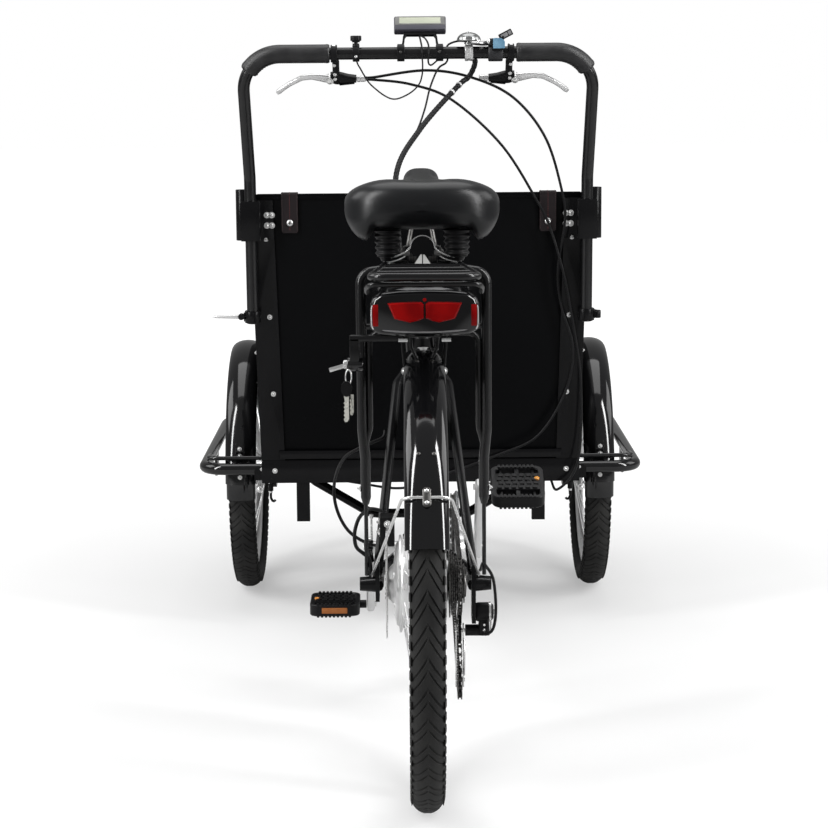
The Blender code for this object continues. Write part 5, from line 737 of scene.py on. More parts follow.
tyre("rear_tyre_tread", "back_wheel", REAR, REAR_R, 0.048, 0.285)
motor = [
    (-0.0557, 0.008), (-0.0557, 0.0205), (-0.047, 0.03), (-0.0445, 0.05), (-0.0425, 0.06), (-0.0395, 0.0625),
    (-0.0385, 0.0712), (-0.0355, 0.0718), (-0.0335, 0.0655), (-0.031, 0.0645), (0.019, 0.0645), (0.0215, 0.0655),
    (0.0235, 0.0718), (0.0265, 0.0712), (0.0275, 0.0625), (0.03, 0.058), (0.031, 0.03), (0.0325, 0.024),
    (0.0325, 0.008)
]
shapes = [turned(motor, REAR, "X", 64)]
shapes += [
    bolt(spot_round("X", REAR, -0.044, 0.045, angle), (-1, 0, 0), 0.003, 0.0025, False) for angle in round_steps(6)
]
made(
    "rear_wheel_built",
    [
        *shapes, rim_shape(REAR, 0.2843),
        rod(spot_round("X", REAR, 0, 0.265, 2.0), spot_round("X", REAR, 0, 0.24, 2.0), 0.003, 12),
        crossed_spokes(REAR, 36, (-0.031, 0.019), 0.0705, 0.266, 0.0011)
    ],
    "aluminium", "back_wheel", "rear_wheel"
)

# Brake rotor with arms and vent holes
ROTOR_X, ROTOR_HALF = -0.057, 0.0009
columns = [0.064, 0.0685, 0.0705, 0.0735, 0.0755, 0.0785, 0.08]
segments = 96
disc = bmesh.new()
grids = []
for x in (ROTOR_X - ROTOR_HALF, ROTOR_X + ROTOR_HALF):
    grid = []
    for a in round_steps(segments):
        wave = 0.0006 * sin(12 * a)
        grid.append([disc.verts.new(spot_round("X", REAR, x, r + (wave if r > 0.079 else 0), a)) for r in columns])
    grids.append(grid)
vents = {(k, j) for k in range(segments) for j, steps in ((1, (0, 1)), (3, (2, 3))) if k % 6 in steps}
cells = {(k, j) for k in range(segments) for j in range(len(columns) - 1)} - vents
for k, j in sorted(cells):
    after = (k + 1) % segments
    for grid in grids:
        disc.faces.new((grid[k][j], grid[k][j + 1], grid[after][j + 1], grid[after][j]))
    # A wall between the two faces wherever the next cell is open
    edges = (
        ((k, j), (k, j + 1), ((k - 1) % segments, j)), ((after, j + 1), (after, j), (after, j)),
        ((k, j + 1), (after, j + 1), (k, j + 1)), ((after, j), (k, j), (k, j - 1))
    )
    for a, b, beside in edges:
        if beside not in cells:
            disc.faces.new(
                [grid[m][n] for grid, (m, n) in ((grids[0], a), (grids[0], b), (grids[1], b), (grids[1], a))]
            )
rotor = [disc, turned([(-0.0579, 0.009), (-0.0561, 0.009), (-0.0561, 0.026), (-0.0579, 0.026)], REAR, "X", 40)]
for a in round_steps(6):
    start, end = spot_round("X", REAR, ROTOR_X, 0.024, a), spot_round("X", REAR, ROTOR_X, 0.0655, a + 0.5)
    rotor += [
        sweep([start, start.lerp(end, 0.5), end], flat(ROTOR_HALF, 0.0035), side=(1, 0, 0)),
        bolt(spot_round("X", REAR, -0.0579, 0.0215, a), (-1, 0, 0), 0.0022, 0.0016, False)
    ]
made("brake_rotor_vented", rotor, "steel", "back_wheel", "brake_rotor")


# Cassette, chain and cranks
def toothed(centre, x0, x1, radius, teeth, depth, inner):
    """A flat wheel with teeth and a round hole."""
    outline = []
    for k in range(teeth):
        for share, out in (
            (0.0, radius - depth), (0.18, radius - depth), (0.36, radius), (0.52, radius), (0.7, radius - depth)
        ):
            outline.append((out, 2 * pi * (k + share) / teeth))
    hole = [(inner, a) for r, a in outline]
    rings = [
        [spot_round("X", centre, x, r, a) for r, a in ring]
        for x, ring in ((x0, outline), (x0, hole), (x1, hole), (x1, outline))
    ]
    return loft(rings, closed=True)


cogs = []
for x, radius, teeth in (
    (0.0342, 0.0505, 28), (0.0373, 0.047, 26), (0.0404, 0.0435, 24), (0.0435, 0.0405, 22), (0.0486, 0.0325, 20),
    (0.0552, 0.029, 16)
):
    cogs.append(toothed(REAR, x, x + 0.0017, radius, teeth, 0.003, 0.016))
cogs.append(turned([(0.0334, 0.009), (0.0334, 0.03), (0.052, 0.024), (0.059, 0.02), (0.06, 0.009)], REAR, "X", 40))
made("cassette_toothed", cogs, "dark_steel", "cogs", "cassette", 30)

PULLEY_HIGH = vec(0.05, REAR_Y + 0.012, REAR_R - 0.062 - 0.012)
PULLEY_LOW = PULLEY_HIGH + vec(0, 0.01, -0.078)


def chain_line():
    """The chain's centre line, with the points spread evenly."""
    lift = 0.0045 + 0.0009
    wheels = [
        (CRANK, 0.081 + lift, 1, 40), (REAR, 0.033 + lift, 1, 24), (PULLEY_HIGH, 0.02 + lift, -1, 16),
        (PULLEY_LOW, 0.02 + lift, 1, 20)
    ]
    legs = []
    for first, second in zip(wheels, wheels[1:] + wheels[:1]):
        run = second[0] - first[0]
        run = vec(0, run.y, run.z)
        legs.append(atan2(run.z, run.y) + asin((first[1] * first[2] - second[1] * second[2]) / run.length))
    stops = []
    for k, (centre, radius, turn, steps) in enumerate(wheels):
        first = legs[k - 1] - turn * pi / 2
        last = legs[k] - turn * pi / 2
        swept = (turn * (last - first)) % (2 * pi)
        for j in range(steps + 1):
            a = first + turn * swept * j / steps
            stops.append(vec(0.05, centre.y + radius * cos(a), centre.z + radius * sin(a)))
    return stops


def evenly(points, count, closed=True):
    """The same line through so many points the same distance apart, and its length."""
    pairs = list(zip(points, points[1:] + points[:1] if closed else points[1:]))
    lengths = [(b - a).length for a, b in pairs]
    total = sum(lengths)
    result = []
    reach, index = 0.0, 0
    for k in range(count):
        target = total * k / (count if closed else count - 1)
        while index < len(pairs) - 1 and reach + lengths[index] < target:
            reach += lengths[index]
            index += 1
        a, b = pairs[index]
        result.append(a.lerp(b, min(1.0, max(0.0, (target - reach) / max(lengths[index], 1e-9)))))
    return result, total


CHAIN_PITCH = 0.0127
line = chain_line()
links = 2 * round(total_length(line + line[:1]) / (2 * CHAIN_PITCH))
line, _ = evenly(line, links)


def link(a, b, x, thick, tall, waist):
    """A chain plate, round at both ends and narrow at its middle."""
    way = (b - a).normalized()
    up = vec(1, 0, 0).cross(way)
    outline = []
    for end, turn, bulge in ((b, -pi / 2, waist), (a, pi / 2, -waist)):
        for t in (turn + pi * k / 8 for k in range(9)):
            outline.append(end + way * (tall * cos(t)) + up * (tall * sin(t)))
        outline.append((a + b) / 2 + up * bulge)
    return loft([[p + vec(s, 0, 0) for p in outline] for s in (x - thick / 2, x + thick / 2)])


# The chain leaves the frame's part for the cage's round the upper pulley, and comes back along the low run.
NEAR_PULLEY = 0.0262
leaving = max(k for k, p in enumerate(line) if (p - PULLEY_HIGH).length < NEAR_PULLEY)
last = max(k for k, p in enumerate(line) if (p - PULLEY_LOW).length < NEAR_PULLEY)
for name, first, end in (
    ("chain_links", 0, leaving - 3), ("chain_at_pulleys", leaving - 3, last), ("chain_low_run", last, links)
):
    plates = []
    for k in range(first, end):
        a, b = line[k], line[(k + 1) % links]
        for s in (-1, 1):
            plates.append(link(a, b, s * (0.003 if k % 2 else 0.002), 0.0009, 0.0043, 0.003))
        plates.append(rod(a - vec(0.0033, 0, 0), a + vec(0.0033, 0, 0), 0.0021, 8))
    held = name == "chain_links"
    o = made(name, plates, "dark_steel", "frame" if held else None, "chain" if held else None, 35)
    if name == "chain_at_pulleys":
        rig.blend(o, "frame", "cage", line[first], line[leaving])
    if name == "chain_low_run":
        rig.blend(o, "frame", "cage", line[last].lerp(line[-1], 0.27), line[last])

ring = [
    toothed(CRANK, 0.0486, 0.0514, 0.0815, 40, 0.0045, 0.066),
    turned([(0.0484, 0.0115), (0.0516, 0.0115), (0.0516, 0.024), (0.0484, 0.024)], CRANK, "X", 40)
]
spider = [a + 0.6 for a in round_steps(5)]
for a in spider:
    ring.append(
        sweep(
            [spot_round("X", CRANK, 0.05, 0.022, a), spot_round("X", CRANK, 0.05, 0.068, a)], flat(0.0016, 0.008),
            side=(1, 0, 0), sizes=[1.0, (1.0, 0.7)]
        )
    )
made("chainring_toothed", ring, "dark_steel", "crank_set", "chainring", 30)
bolts = []
for a in spider:
    bolts += [
        bolt(spot_round("X", CRANK, 0.0516, 0.06, a), (1, 0, 0), 0.004, 0.0022, False),
        rod(
            spot_round("X", CRANK, 0.0516, 0.064, a + 0.12), spot_round("X", CRANK, 0.0572, 0.066, a + 0.12),
            0.0025, 10
        )
    ]
made("chainring_bolts", bolts, "steel", "crank_set", angle=35)
low = 0.0565
guard_disc = [
    (low, 0.062), (low, 0.0775), (low - 0.0018, 0.086), (low - 0.003, 0.0925), (low - 0.0018, 0.0945),
    (low + 0.001, 0.095), (low + 0.0028, 0.0925), (low + 0.003, 0.078), (low + 0.003, 0.062)
]
made("chainguard_disc", turned(guard_disc, CRANK, "X", 72), "clear_plastic", "crank_set", "chainguard", 35)

CRANK_WAY = vec(0, sin(radians(43)), -cos(radians(43)))
arms = [rod(CRANK - vec(0.088, 0, 0), CRANK + vec(0.088, 0, 0), 0.0109, 24)]
steel_bits = []
for side in (-1, 1):
    way = CRANK_WAY * -side
    start = CRANK + vec(side * 0.091, 0, 0)
    stops = [
        (-0.014, 0.55, 0.8), (-0.01, 0.95, 1.25), (0.0, 1.0, 1.42), (0.014, 1.0, 1.25), (0.035, 0.95, 0.92),
        (0.1, 0.9, 0.8), (0.15, 0.95, 0.86), (0.165, 1.0, 1.0), (0.176, 0.98, 0.92), (0.182, 0.6, 0.55)
    ]
    arms += [
        shaft(lambda s: start + way * s, stops, squarish(0.007, 0.0125, 0.5, 0.6, 20), (1, 0, 0)),
        rod(start - vec(side * 0.007, 0, 0), start + vec(side * 0.0072, 0, 0), 0.0165, 28, 0.0155)
    ]
    steel_bits += [
        rod(start + vec(side * 0.006, 0, 0), start + vec(side * 0.009, 0, 0), 0.0085, 20, 0.0075),
        bolt(start + way * 0.17 - vec(side * 0.0075, 0, 0), (-side, 0, 0), 0.0055, 0.0025, False)
    ]
arms.append(
    turned(
        [(0.0523, 0.01), (0.0523, 0.0325), (0.056, 0.033), (0.07, 0.024), (0.085, 0.018), (0.085, 0.01)], CRANK,
        "X", 40
    )
)
made("cranks_forged", arms, "aluminium", "crank_set", "cranks")
made("crank_bolts", steel_bits, "steel", "crank_set")

# Derailleur and cage
hanger = REAR + vec(0.0738, 0.006, -0.045)
body_bits = [
    turned(
        [
            (0, 0.0), (0, 0.013), (0.003, 0.0142), (0.0185, 0.0142), (0.019, 0.013), (0.0228, 0.013), (0.026, 0.01),
            (0.0262, 0)
        ],
        hanger, "X", 32
    ),
    sweep(
        [hanger + vec(0.012, 0.0, 0.006), hanger + vec(0.012, 0.002, -0.012), hanger + vec(0.012, 0.004, -0.034)],
        squarish(0.009, 0.01, 0.6, 0.6, 16), side=(1, 0, 0), sizes=[(1, 0.9), (0.85, 0.8), (1, 1)]
    ),
    rod((0.0582, PULLEY_HIGH.y, PULLEY_HIGH.z), (0.0936, PULLEY_HIGH.y, PULLEY_HIGH.z), 0.0085, 28)
]
made("derailleur_body", body_bits, "black_plastic", "frame", "derailleur")
ring_bits = [
    collar(hanger, "X", (0.0192, 0.0224), (0.0132, 0.0148), 32),
    bolt(hanger + vec(0.0262, 0, 0), (1, 0, 0), 0.0045, 0.002, False)
]
ring_bits += [bolt(hanger + vec(0.012, -0.0102, z), (0, -1, 0), 0.0022, 0.002, False) for z in (-0.017, -0.025)]
ring_bits.append(block(hanger + vec(0.0205, -0.0135, -0.0265), hanger + vec(0.0228, -0.0085, -0.01), 0.0006))
made("derailleur_screws", ring_bits, "steel", "frame")
cage = []
reach = (PULLEY_LOW - PULLEY_HIGH).normalized()
for x in (-0.0053, 0.0053):
    shift = vec(x, 0, 0)
    stops = [
        (-0.01, 1, 0.45), (-0.006, 1, 0.85), (0.0, 1, 1.0), (0.012, 1, 0.8), (0.04, 1, 0.62), (0.066, 1, 0.8),
        (0.08, 1, 1.0), (0.086, 1, 0.85), (0.0895, 1, 0.45)
    ]
    cage.append(shaft(lambda s: PULLEY_HIGH + shift + reach * s, stops, flat(0.0009, 0.0078), (1, 0, 0)))
for spot in (PULLEY_HIGH, PULLEY_LOW):
    cage += [
        bolt(spot + vec(0.0062, 0, 0), (1, 0, 0), 0.0035, 0.0015, False),
        rod(spot - vec(0.0062, 0, 0), spot + vec(0.0062, 0, 0), 0.003, 14)
    ]
cage.append(
    bent_tube(
        [
            PULLEY_HIGH + vec(0.0066, -0.006, -0.012), PULLEY_HIGH + vec(0.0066, -0.016, -0.03),
            PULLEY_LOW + vec(0.0066, -0.014, 0.02), PULLEY_LOW + vec(0.0066, -0.005, 0.008)
        ],
        0.006, 4, 0.0013, 8
    )
)
made("derailleur_cage_plates", cage, "steel", "cage", "derailleur_cage")
made(
    "derailleur_pulleys",
    [toothed(spot, -0.002, 0.002, 0.0205, 11, 0.003, 0.003) for spot in (PULLEY_HIGH, PULLEY_LOW)], "black_plastic",
    "cage", angle=30
)


# Pedals
def pedal(side):
    """A pedal: its cage with rows of teeth, rubber treads on both faces, and its reflectors."""
    word = "left" if side < 0 else "right"
    place = CRANK - CRANK_WAY * side * 0.17
    tilt = Matrix.Rotation(radians(22) if side > 0 else 0.0, 3, "X")
    inner, outer = sorted((side * 0.1093, side * 0.1953))
    middle = (inner + outer) / 2
    y, z = place.y, place.z

    def spot(x, v, h):
        return place + tilt @ vec(x - place.x, v, h)

    def part(low, high, bevel=0.002):
        return block((low[0], y + low[1], z + low[2]), (high[0], y + high[1], z + high[2]), bevel, tilt, place)

    corners = [
        (middle, -0.0445), (inner + 0.0045, -0.0445), (inner + 0.0045, 0.0445), (outer - 0.0045, 0.0445),
        (outer - 0.0045, -0.0445), (middle, -0.0445)
    ]
    rail = rounded([spot(a, b, 0) for a, b in corners], 0.011, 8)[1:-1]
    section = [
        (0.01, -0.003), (0.0085, -0.0043), (-0.0085, -0.0043), (-0.01, -0.003), (-0.01, 0.003), (-0.0085, 0.0043),
        (0.0085, 0.0043), (0.01, 0.003)
    ]
    body = [
        sweep(rail, section, closed=True, side=tilt @ vec(0, 0, 1)),
        part((inner + 0.006, -0.024, -0.0105), (outer - 0.006, 0.024, 0.0105))
    ]
    for x0, x1, half in ((-0.0035, 0.0035, 0.0085), (-0.028, -0.0245, 0.006), (0.0245, 0.028, 0.006)):
        body.append(part((middle + x0, -0.043, -half), (middle + x1, 0.043, half), 0.001))
    for k in range(9):
        x = inner + 0.0125 + 0.0068 * k
        for face in (-1, 1):
            for end in (-1, 1):
                ys, zs = sorted((end * 0.0402, end * 0.0488)), sorted((face * 0.0085, face * 0.012))
                body.append(part((x, ys[0], zs[0]), (x + 0.0042, ys[1], zs[1]), 0.0008))
    body.append(rod((side * 0.0985, y, z), (side * 0.12, y, z), 0.007, 20))
    made(f"pedal_{word}_cage", body, "black_plastic", f"{word}_pedal", f"pedal_{word}", 35)
    treads = []
    for face in (-1, 1):
        for k in range(6):
            for j in range(4):
                x = inner + 0.0095 + 0.0114 * k + 0.0025 * (j % 2)
                v = -0.0222 + 0.0114 * j
                treads.append(
                    part((x, v, face * 0.0114 - 0.0012), (x + 0.0076, v + 0.0088, face * 0.0114 + 0.0012), 0.0006)
                )
    made(f"pedal_{word}_rubber", treads, "rubber", f"{word}_pedal", angle=35)
    if side < 0:
        strips = [
            part((middle - 0.022, v - 0.0014, -0.005), (middle + 0.022, v + 0.0014, 0.005), 0.001)
            for v in (-0.0484, 0.0484)
        ]
        made(f"pedal_{word}_strips", strips, "amber_strip", f"{word}_pedal", angle=35)
    lens = []
    for face in (-1, 1):
        disc = turned(
            [(-0.0012, 0), (-0.0012, 0.0044), (0.0008, 0.0044), (0.0018, 0.0032), (0.0022, 0)], (0, 0, 0), "Z", 20
        )
        seat = spot(middle + side * 0.0315, 0.006 * side, 0.012 * face)
        for w in disc.verts:
            w.co = seat + tilt @ vec(w.co.x, w.co.y, w.co.z * face)
        lens.append(disc)
    made(f"pedal_{word}_amber", lens, "amber_lens", f"{word}_pedal", angle=35)


pedal(-1)
pedal(1)


# Mudguards
def arch(radius, width, steps=14, drop=0.017):
    """A mudguard's cross-section, a bowed sheet, as (across, out) pairs."""
    sheet = 0.0024
    turns = [pi * (k / steps - 0.5) for k in range(steps + 1)]
    outer = [(width / 2 * sin(a), radius - drop * (1 - cos(a))) for a in turns]
    inner = [
        ((width / 2 - sheet) * sin(a), radius - sheet - (drop - sheet) * (1 - cos(a))) for a in reversed(turns)
    ]
    outer[0] = (outer[0][0], inner[-1][1])
    outer[-1] = (outer[-1][0], inner[0][1])
    return outer + inner


for side, word in SIDES:
    centre = vec(side * HALF_TRACK, FRONT_Y, FRONT_R)
    radius = 0.2684
    shape = turned(arch(radius, 0.062), centre, "X", 60, radians(-62), radians(150))
    back = FRONT_Y - GUARD_REACH + 0.0115 + GAP
    plate = block((centre.x - 0.024, back, 0.3), (centre.x + 0.024, FRONT_Y - radius + 0.0062, 0.303), 0.0008)
    made(f"front_mudguard_{word}_shell", [shape, plate], "gloss_black", "front", f"front_mudguard_{word}", 32)
    z = 0.453
    y = FRONT_Y - sqrt((radius - 0.014) ** 2 - (z - FRONT_R) ** 2)
    stays = [
        rod((side * 0.332, y, z), (side * 0.3085, y, z), 0.0033, 12),
        rod((side * 0.3105, y, z), (side * 0.3079, y, z), 0.008, 18)
    ]
    made(f"mudguard_stay_{word}", stays, "black_paint", "front")
    rear = FRONT_Y - radius - 0.0012
    strip = block((centre.x - 0.0075, rear - 0.0016, 0.3032), (centre.x + 0.0075, rear + 0.0022, 0.347), 0.0006)
    skirt = turned(arch(radius + 0.0022, 0.058, 10, 0.019), centre, "X", 5, radians(88), radians(7))
    made(f"mudguard_bracket_{word}", [strip, skirt], "gloss_black", "front", angle=35)
    screws = [bolt((centre.x, rear - 0.0016, z), (0, -1, 0), 0.003, 0.0028) for z in (0.337, 0.323, 0.279)]
    made(f"mudguard_screws_{word}", screws, "steel", "front")

GUARD_R, STAY_R = 0.3474, 0.0026
made(
    "rear_mudguard_shell", turned(arch(GUARD_R, 0.06), REAR, "X", 72, radians(-48), radians(117.5)), "gloss_black",
    "frame", "rear_mudguard", 32
)
at = radians(58)
out = vec(0, -sin(at), cos(at))
top = REAR + out * (GUARD_R + STAY_R)
foot = vec(0.0783, REAR_Y - 0.004, REAR_R + 0.0115 + STAY_R)
width = 0.0312
stay = [(-foot.x, foot.y, foot.z), (-width - 0.0012, top.y, top.z), (width + 0.0012, top.y, top.z), foot]
along = vec(0, cos(at), sin(at))
stadium = [(x, y + (0.0085 if y > 0.00001 else -0.0085 if y < -0.00001 else 0)) for x, y in circle(0.0057, 24)]
clip = sweep(
    [top - out * 0.0022, top + out * 0.0016, top + out * 0.0024], stadium, side=(1, 0, 0), sizes=[1, 1, 0.86]
)
made("mudguard_clip", clip, "dark_steel", "frame")
shapes = [bent_tube(stay, 0.017, 8, 0.0021, 12)]
for s in (-1, 1):
    head = turned([(0, 0), (0, 0.003), (0.0012, 0.0026), (0.002, 0.0012), (0.0021, 0)], (0, 0, 0), "Z", 16)
    place = Matrix.Translation(top + out * 0.0024 + along * (s * 0.0085))
    head.transform(place @ out.to_track_quat("Z", "Y").to_matrix().to_4x4())
    shapes.append(head)
for s in (-1, 1):
    shapes.append(collar((s * (foot.x - 0.0008), foot.y, foot.z), "X", (0, s * 0.0014), (0.0021, 0.004), 18))
made("mudguard_stay_wire", shapes, "steel", "frame", "mudguard_stay")
crown = []
for angle in (12, 47, -30):
    a = radians(angle)
    for v in (-1, 1):
        way = vec(0, -sin(a), cos(a))
        crown.append(bolt(spot_round("X", REAR, v * 0.0105, 0.3462, a), way, 0.003, 0.0018, False))
made("mudguard_rivets", crown, "dark_steel", "frame")

# Wheel guards
for side, word in SIDES:
    face = side * 0.3048
    y0, y1 = FRONT_Y - GUARD_REACH, FRONT_Y + GUARD_REACH
    path = rounded(
        [(face, y0, 0.303), (side * 0.429, y0, 0.303), (side * 0.429, y1, 0.303), (face, y1, 0.303)], 0.045, 10
    )
    shapes = [tube(path, 0.0115, 24)]
    for y in (y0, y1):
        xs = sorted((face, side * 0.3088))
        shapes.append(block((xs[0], y - 0.018, 0.29), (xs[1], y + 0.018, 0.33), 0.001))
    brace = rounded(
        [(side * 0.309, y0 + 0.01, 0.3235), (side * 0.421, y0 + 0.01, 0.3235), (side * 0.421, y0 + 0.075, 0.3185)],
        0.02, 5
    )
    shapes.append(tube(brace, 0.0042, 14))
    xs = sorted((side * 0.426, side * 0.432))
    shapes.append(block((xs[0], FRONT_Y - 0.023, 0.238), (xs[1], FRONT_Y + 0.023, 0.303), 0.002))
    made(f"wheel_guard_{word}_tube", shapes, "gloss_black", "front", f"wheel_guard_{word}")
    cap = vec(side * 0.432, FRONT_Y, FRONT_R)
    made(
        f"axle_cap_{word}",
        turned(
            [
                (0, 0), (0, 0.0085), (side * 0.003, 0.009), (side * 0.011, 0.0085), (side * 0.014, 0.006),
                (side * 0.014, 0)
            ],
            cap, "X", 24
        ),
        "rubber", "front"
    )
    screws = []
    for y in (y0 - 0.013, y0 + 0.013, y1 - 0.013, y1 + 0.013):
        screws.append(bolt((side * 0.3088, y, 0.322), (side, 0, 0), 0.0045, 0.0035))
    made(f"guard_screws_{word}", screws, "steel", "front")


# Handlebar and grips
LOW = 0.884
KNEE_Y = 0.182175
TOP_X = 0.3195
bar_path = rounded(
    [
        (-LEG_X, upright_y(0.612), 0.612), (-LEG_X, KNEE_Y, LOW), (-TOP_X, BAR_Y, BAR_Z), (TOP_X, BAR_Y, BAR_Z),
        (LEG_X, KNEE_Y, LOW), (LEG_X, upright_y(0.612), 0.612)
    ],
    (0.045, 0.068, 0.068, 0.045), 16
)
made("handlebar_tube", tube(bar_path, BAR_R, 28), "bar_paint", "bar", "handlebar")


def hump(distance, width):
    """A smooth bump of height 1 round distance 0."""
    return exp(-((distance / width) ** 2))


def grip(side):
    """A leather sleeve round the bend, with end beads, a sewn seam inside the bend and folds beside it."""
    word = "left" if side < 0 else "right"
    inner = 0.16 if side < 0 else 0.178
    knee, top = vec(side * LEG_X, KNEE_Y, LOW), vec(side * TOP_X, BAR_Y, BAR_Z)
    count, sides = 90, 36
    path, total = evenly(rounded([(side * inner, BAR_Y, BAR_Z), top, knee], 0.068, 40)[:27], count, False)
    seam = vec(-side, 0.15, -1).normalized()

    def frame_at(k, before):
        """The directions towards the seam and across it."""
        way = (path[min(k + 1, count - 1)] - path[before]).normalized()
        u = (seam - way * seam.dot(way)).normalized()
        return u, way.cross(u)

    rings = []
    for k, point in enumerate(path):
        u, v = frame_at(k, max(k - 1, 0))
        share = k / (count - 1)
        length = share * total
        left = total - length
        size = 0.0168 + 0.0005 * hump(length - 0.004, 0.0025) + 0.0005 * hump(left - 0.004, 0.0025)
        size -= 0.001 * hump(min(length, left), 0.0016)
        ring = []
        for a in round_steps(sides):
            off = a if a < pi else a - 2 * pi
            fold = 0.0009 * hump(share - 0.86, 0.12) * max(0.0, cos(a)) ** 2 * sin(share * 150)
            groove = 0.0011 * hump(off, 0.11)
            pucker = 0.0004 * hump(abs(off) - 0.35, 0.2) * sin(share * 260)
            r = size + fold + pucker - groove
            ring.append(point + u * (r * cos(a)) + v * (r * sin(a)))
        rings.append(ring)
    ends = [[path[k].lerp(p, 0.7) for p in rings[k]] for k in (0, count - 1)]
    bm = loft([ends[0], *rings, ends[1]])
    made(f"grip_{word}_leather", bm, "grip_leather", "bar", f"grip_{word}", 60)
    stitches = []
    for k in range(3, 87, 2):
        u, v = frame_at(k, k - 1)
        a = path[k] + u * 0.016 + v * 0.0024
        b = path[k + 1] + u * 0.016 - v * 0.0024
        stitches.append(tube([a - u * 0.0006, a.lerp(b, 0.5) + u * 0.0004, b - u * 0.0006], 0.0004, 6))
    made(f"grip_{word}_stitches", stitches, "thread", "bar", angle=60)


grip(-1)
grip(1)


# Controls
DROP = radians(55)
LEVER_WAY = vec(0, cos(DROP), -sin(DROP))
LEVER_UP = vec(0, sin(DROP), cos(DROP))


def bar_spot(x, reach, lift=0.0):
    """A point beside the bar, so far along the levers' plane and so far above it."""
    return vec(x, BAR_Y, BAR_Z) + LEVER_WAY * reach + LEVER_UP * lift


def band(x, width, radius):
    """A clamp band round the bar, with rounded edges."""
    half, edge = width / 2, 0.0008
    profile = mirrored([(half, CLAMP_BORE), (half, radius - edge), (half - edge, radius)])
    return turned(profile, (x, BAR_Y, BAR_Z), "X", 32)


for side, word in SIDES:
    x = BRAKE_X[side]
    axis_x = x + side * (0.004 + 0.0075 * 0.6)
    square = squarish(1, 1, 0.5, 0.5, 20)
    xc = x - side * 0.00275
    neck = [
        (0.013, 0.005, 0.005), (0.0185, 0.0064, 0.0072), (0.03, 0.0062, 0.007), (0.04, 0.0064, 0.0076),
        (0.048, 0.0066, 0.0078), (0.06, 0.0062, 0.0078), (0.0625, 0.0045, 0.006)
    ]
    body = [band(x, 0.0115, 0.0158), shaft(lambda r: bar_spot(xc, r), neck, square, (1, 0, 0))]
    arm = [
        (0.0085, 0.051, 0.0088, 0.007), (-0.003, 0.0525, 0.0122, 0.007), (-0.012, 0.054, CLAMP_BORE, 0.007),
        (-0.024, 0.055, 0.0084, 0.007), (-0.034, 0.055, 0.0064, 0.007), (-0.0395, 0.055, 0.0054, 0.007)
    ]
    body += [
        shaft(lambda s, r: bar_spot(x + side * s, r), arm, square, LEVER_WAY),
        sweep(
            [
                bar_spot(x + side * 0.0035, 0.046, -0.0072), bar_spot(x - side * 0.01, 0.0625, -0.0076),
                bar_spot(x - side * 0.036, 0.06, -0.0066)
            ],
            flat(0.0018, 0.0009), side=-LEVER_UP
        )
    ]
    made(f"brake_mount_{word}_body", body, "black_plastic", "bar", f"brake_mount_{word}")
    inner = x - side * 0.04
    barrel_start = bar_spot(inner + side * 0.002, BRAKE_PIVOT)
    barrel_end = bar_spot(inner - side * 0.017, BRAKE_PIVOT)
    shape = tube(
        [barrel_start.lerp(barrel_end, s) for s in (0, 0.15, 0.16, 0.45, 0.46, 0.5, 0.51, 0.92, 1.0)], 0.0062, 20,
        sizes=[0.7, 0.7, 1.0, 1.0, 0.72, 0.72, 0.95, 0.95, 0.6]
    )
    made(f"barrel_{word}", shape, "aluminium", "bar")
    screws = [bolt(bar_spot(x, -0.0135, 0.004), -LEVER_WAY, 0.0032, 0.0025, False)]
    for across, reach in ((0, 0.02), (-0.001, 0.04), (-0.001, 0.05)):
        screws.append(bolt(bar_spot(x + side * across, reach, -0.007), -LEVER_UP, 0.0036, 0.0024, False))
    for lift in (-1, 1):
        screws.append(bolt(bar_spot(axis_x, BRAKE_PIVOT, lift * 0.0078), LEVER_UP * lift, 0.0045, 0.0022))
    made(f"brake_screws_{word}", screws, "steel", "bar")
    stops = [
        (0.0, 0.055, 1.6, 1.1), (0.008, 0.054, 1.65, 1.1), (0.02, 0.0515, 1.45, 1.1), (0.034, 0.0495, 1.15, 1.05),
        (0.052, 0.0525, 1.0, 1.0), (0.0735, 0.065, 0.92, 1.0), (0.086, 0.0745, 0.92, 1.0),
        (0.094, 0.0815, 1.0, 1.1), (0.098, 0.085, 0.75, 0.85)
    ]
    blade = shaft(
        lambda s, r: bar_spot(axis_x + side * s, r), stops, squarish(0.0048, 0.0033, 0.6, 0.6, 16), LEVER_WAY
    )
    hub = tube([bar_spot(axis_x, BRAKE_PIVOT, -0.0062), bar_spot(axis_x, BRAKE_PIVOT, 0.0062)], 0.0074, 24)
    made(f"brake_lever_{word}_blade", [blade, hub], "aluminium", f"{word}_lever", f"brake_lever_{word}", 45)

# Display
tilt = Matrix.Rotation(-radians(28), 3, "X")
about = vec(0, BAR_Y, BAR_Z)


def tilted(low, high, bevel):
    """A box in the display's own place, measured from the bar and turned with the display."""
    return block(
        (low[0], BAR_Y + low[1], BAR_Z + low[2]), (high[0], BAR_Y + high[1], BAR_Z + high[2]), bevel, tilt, about
    )


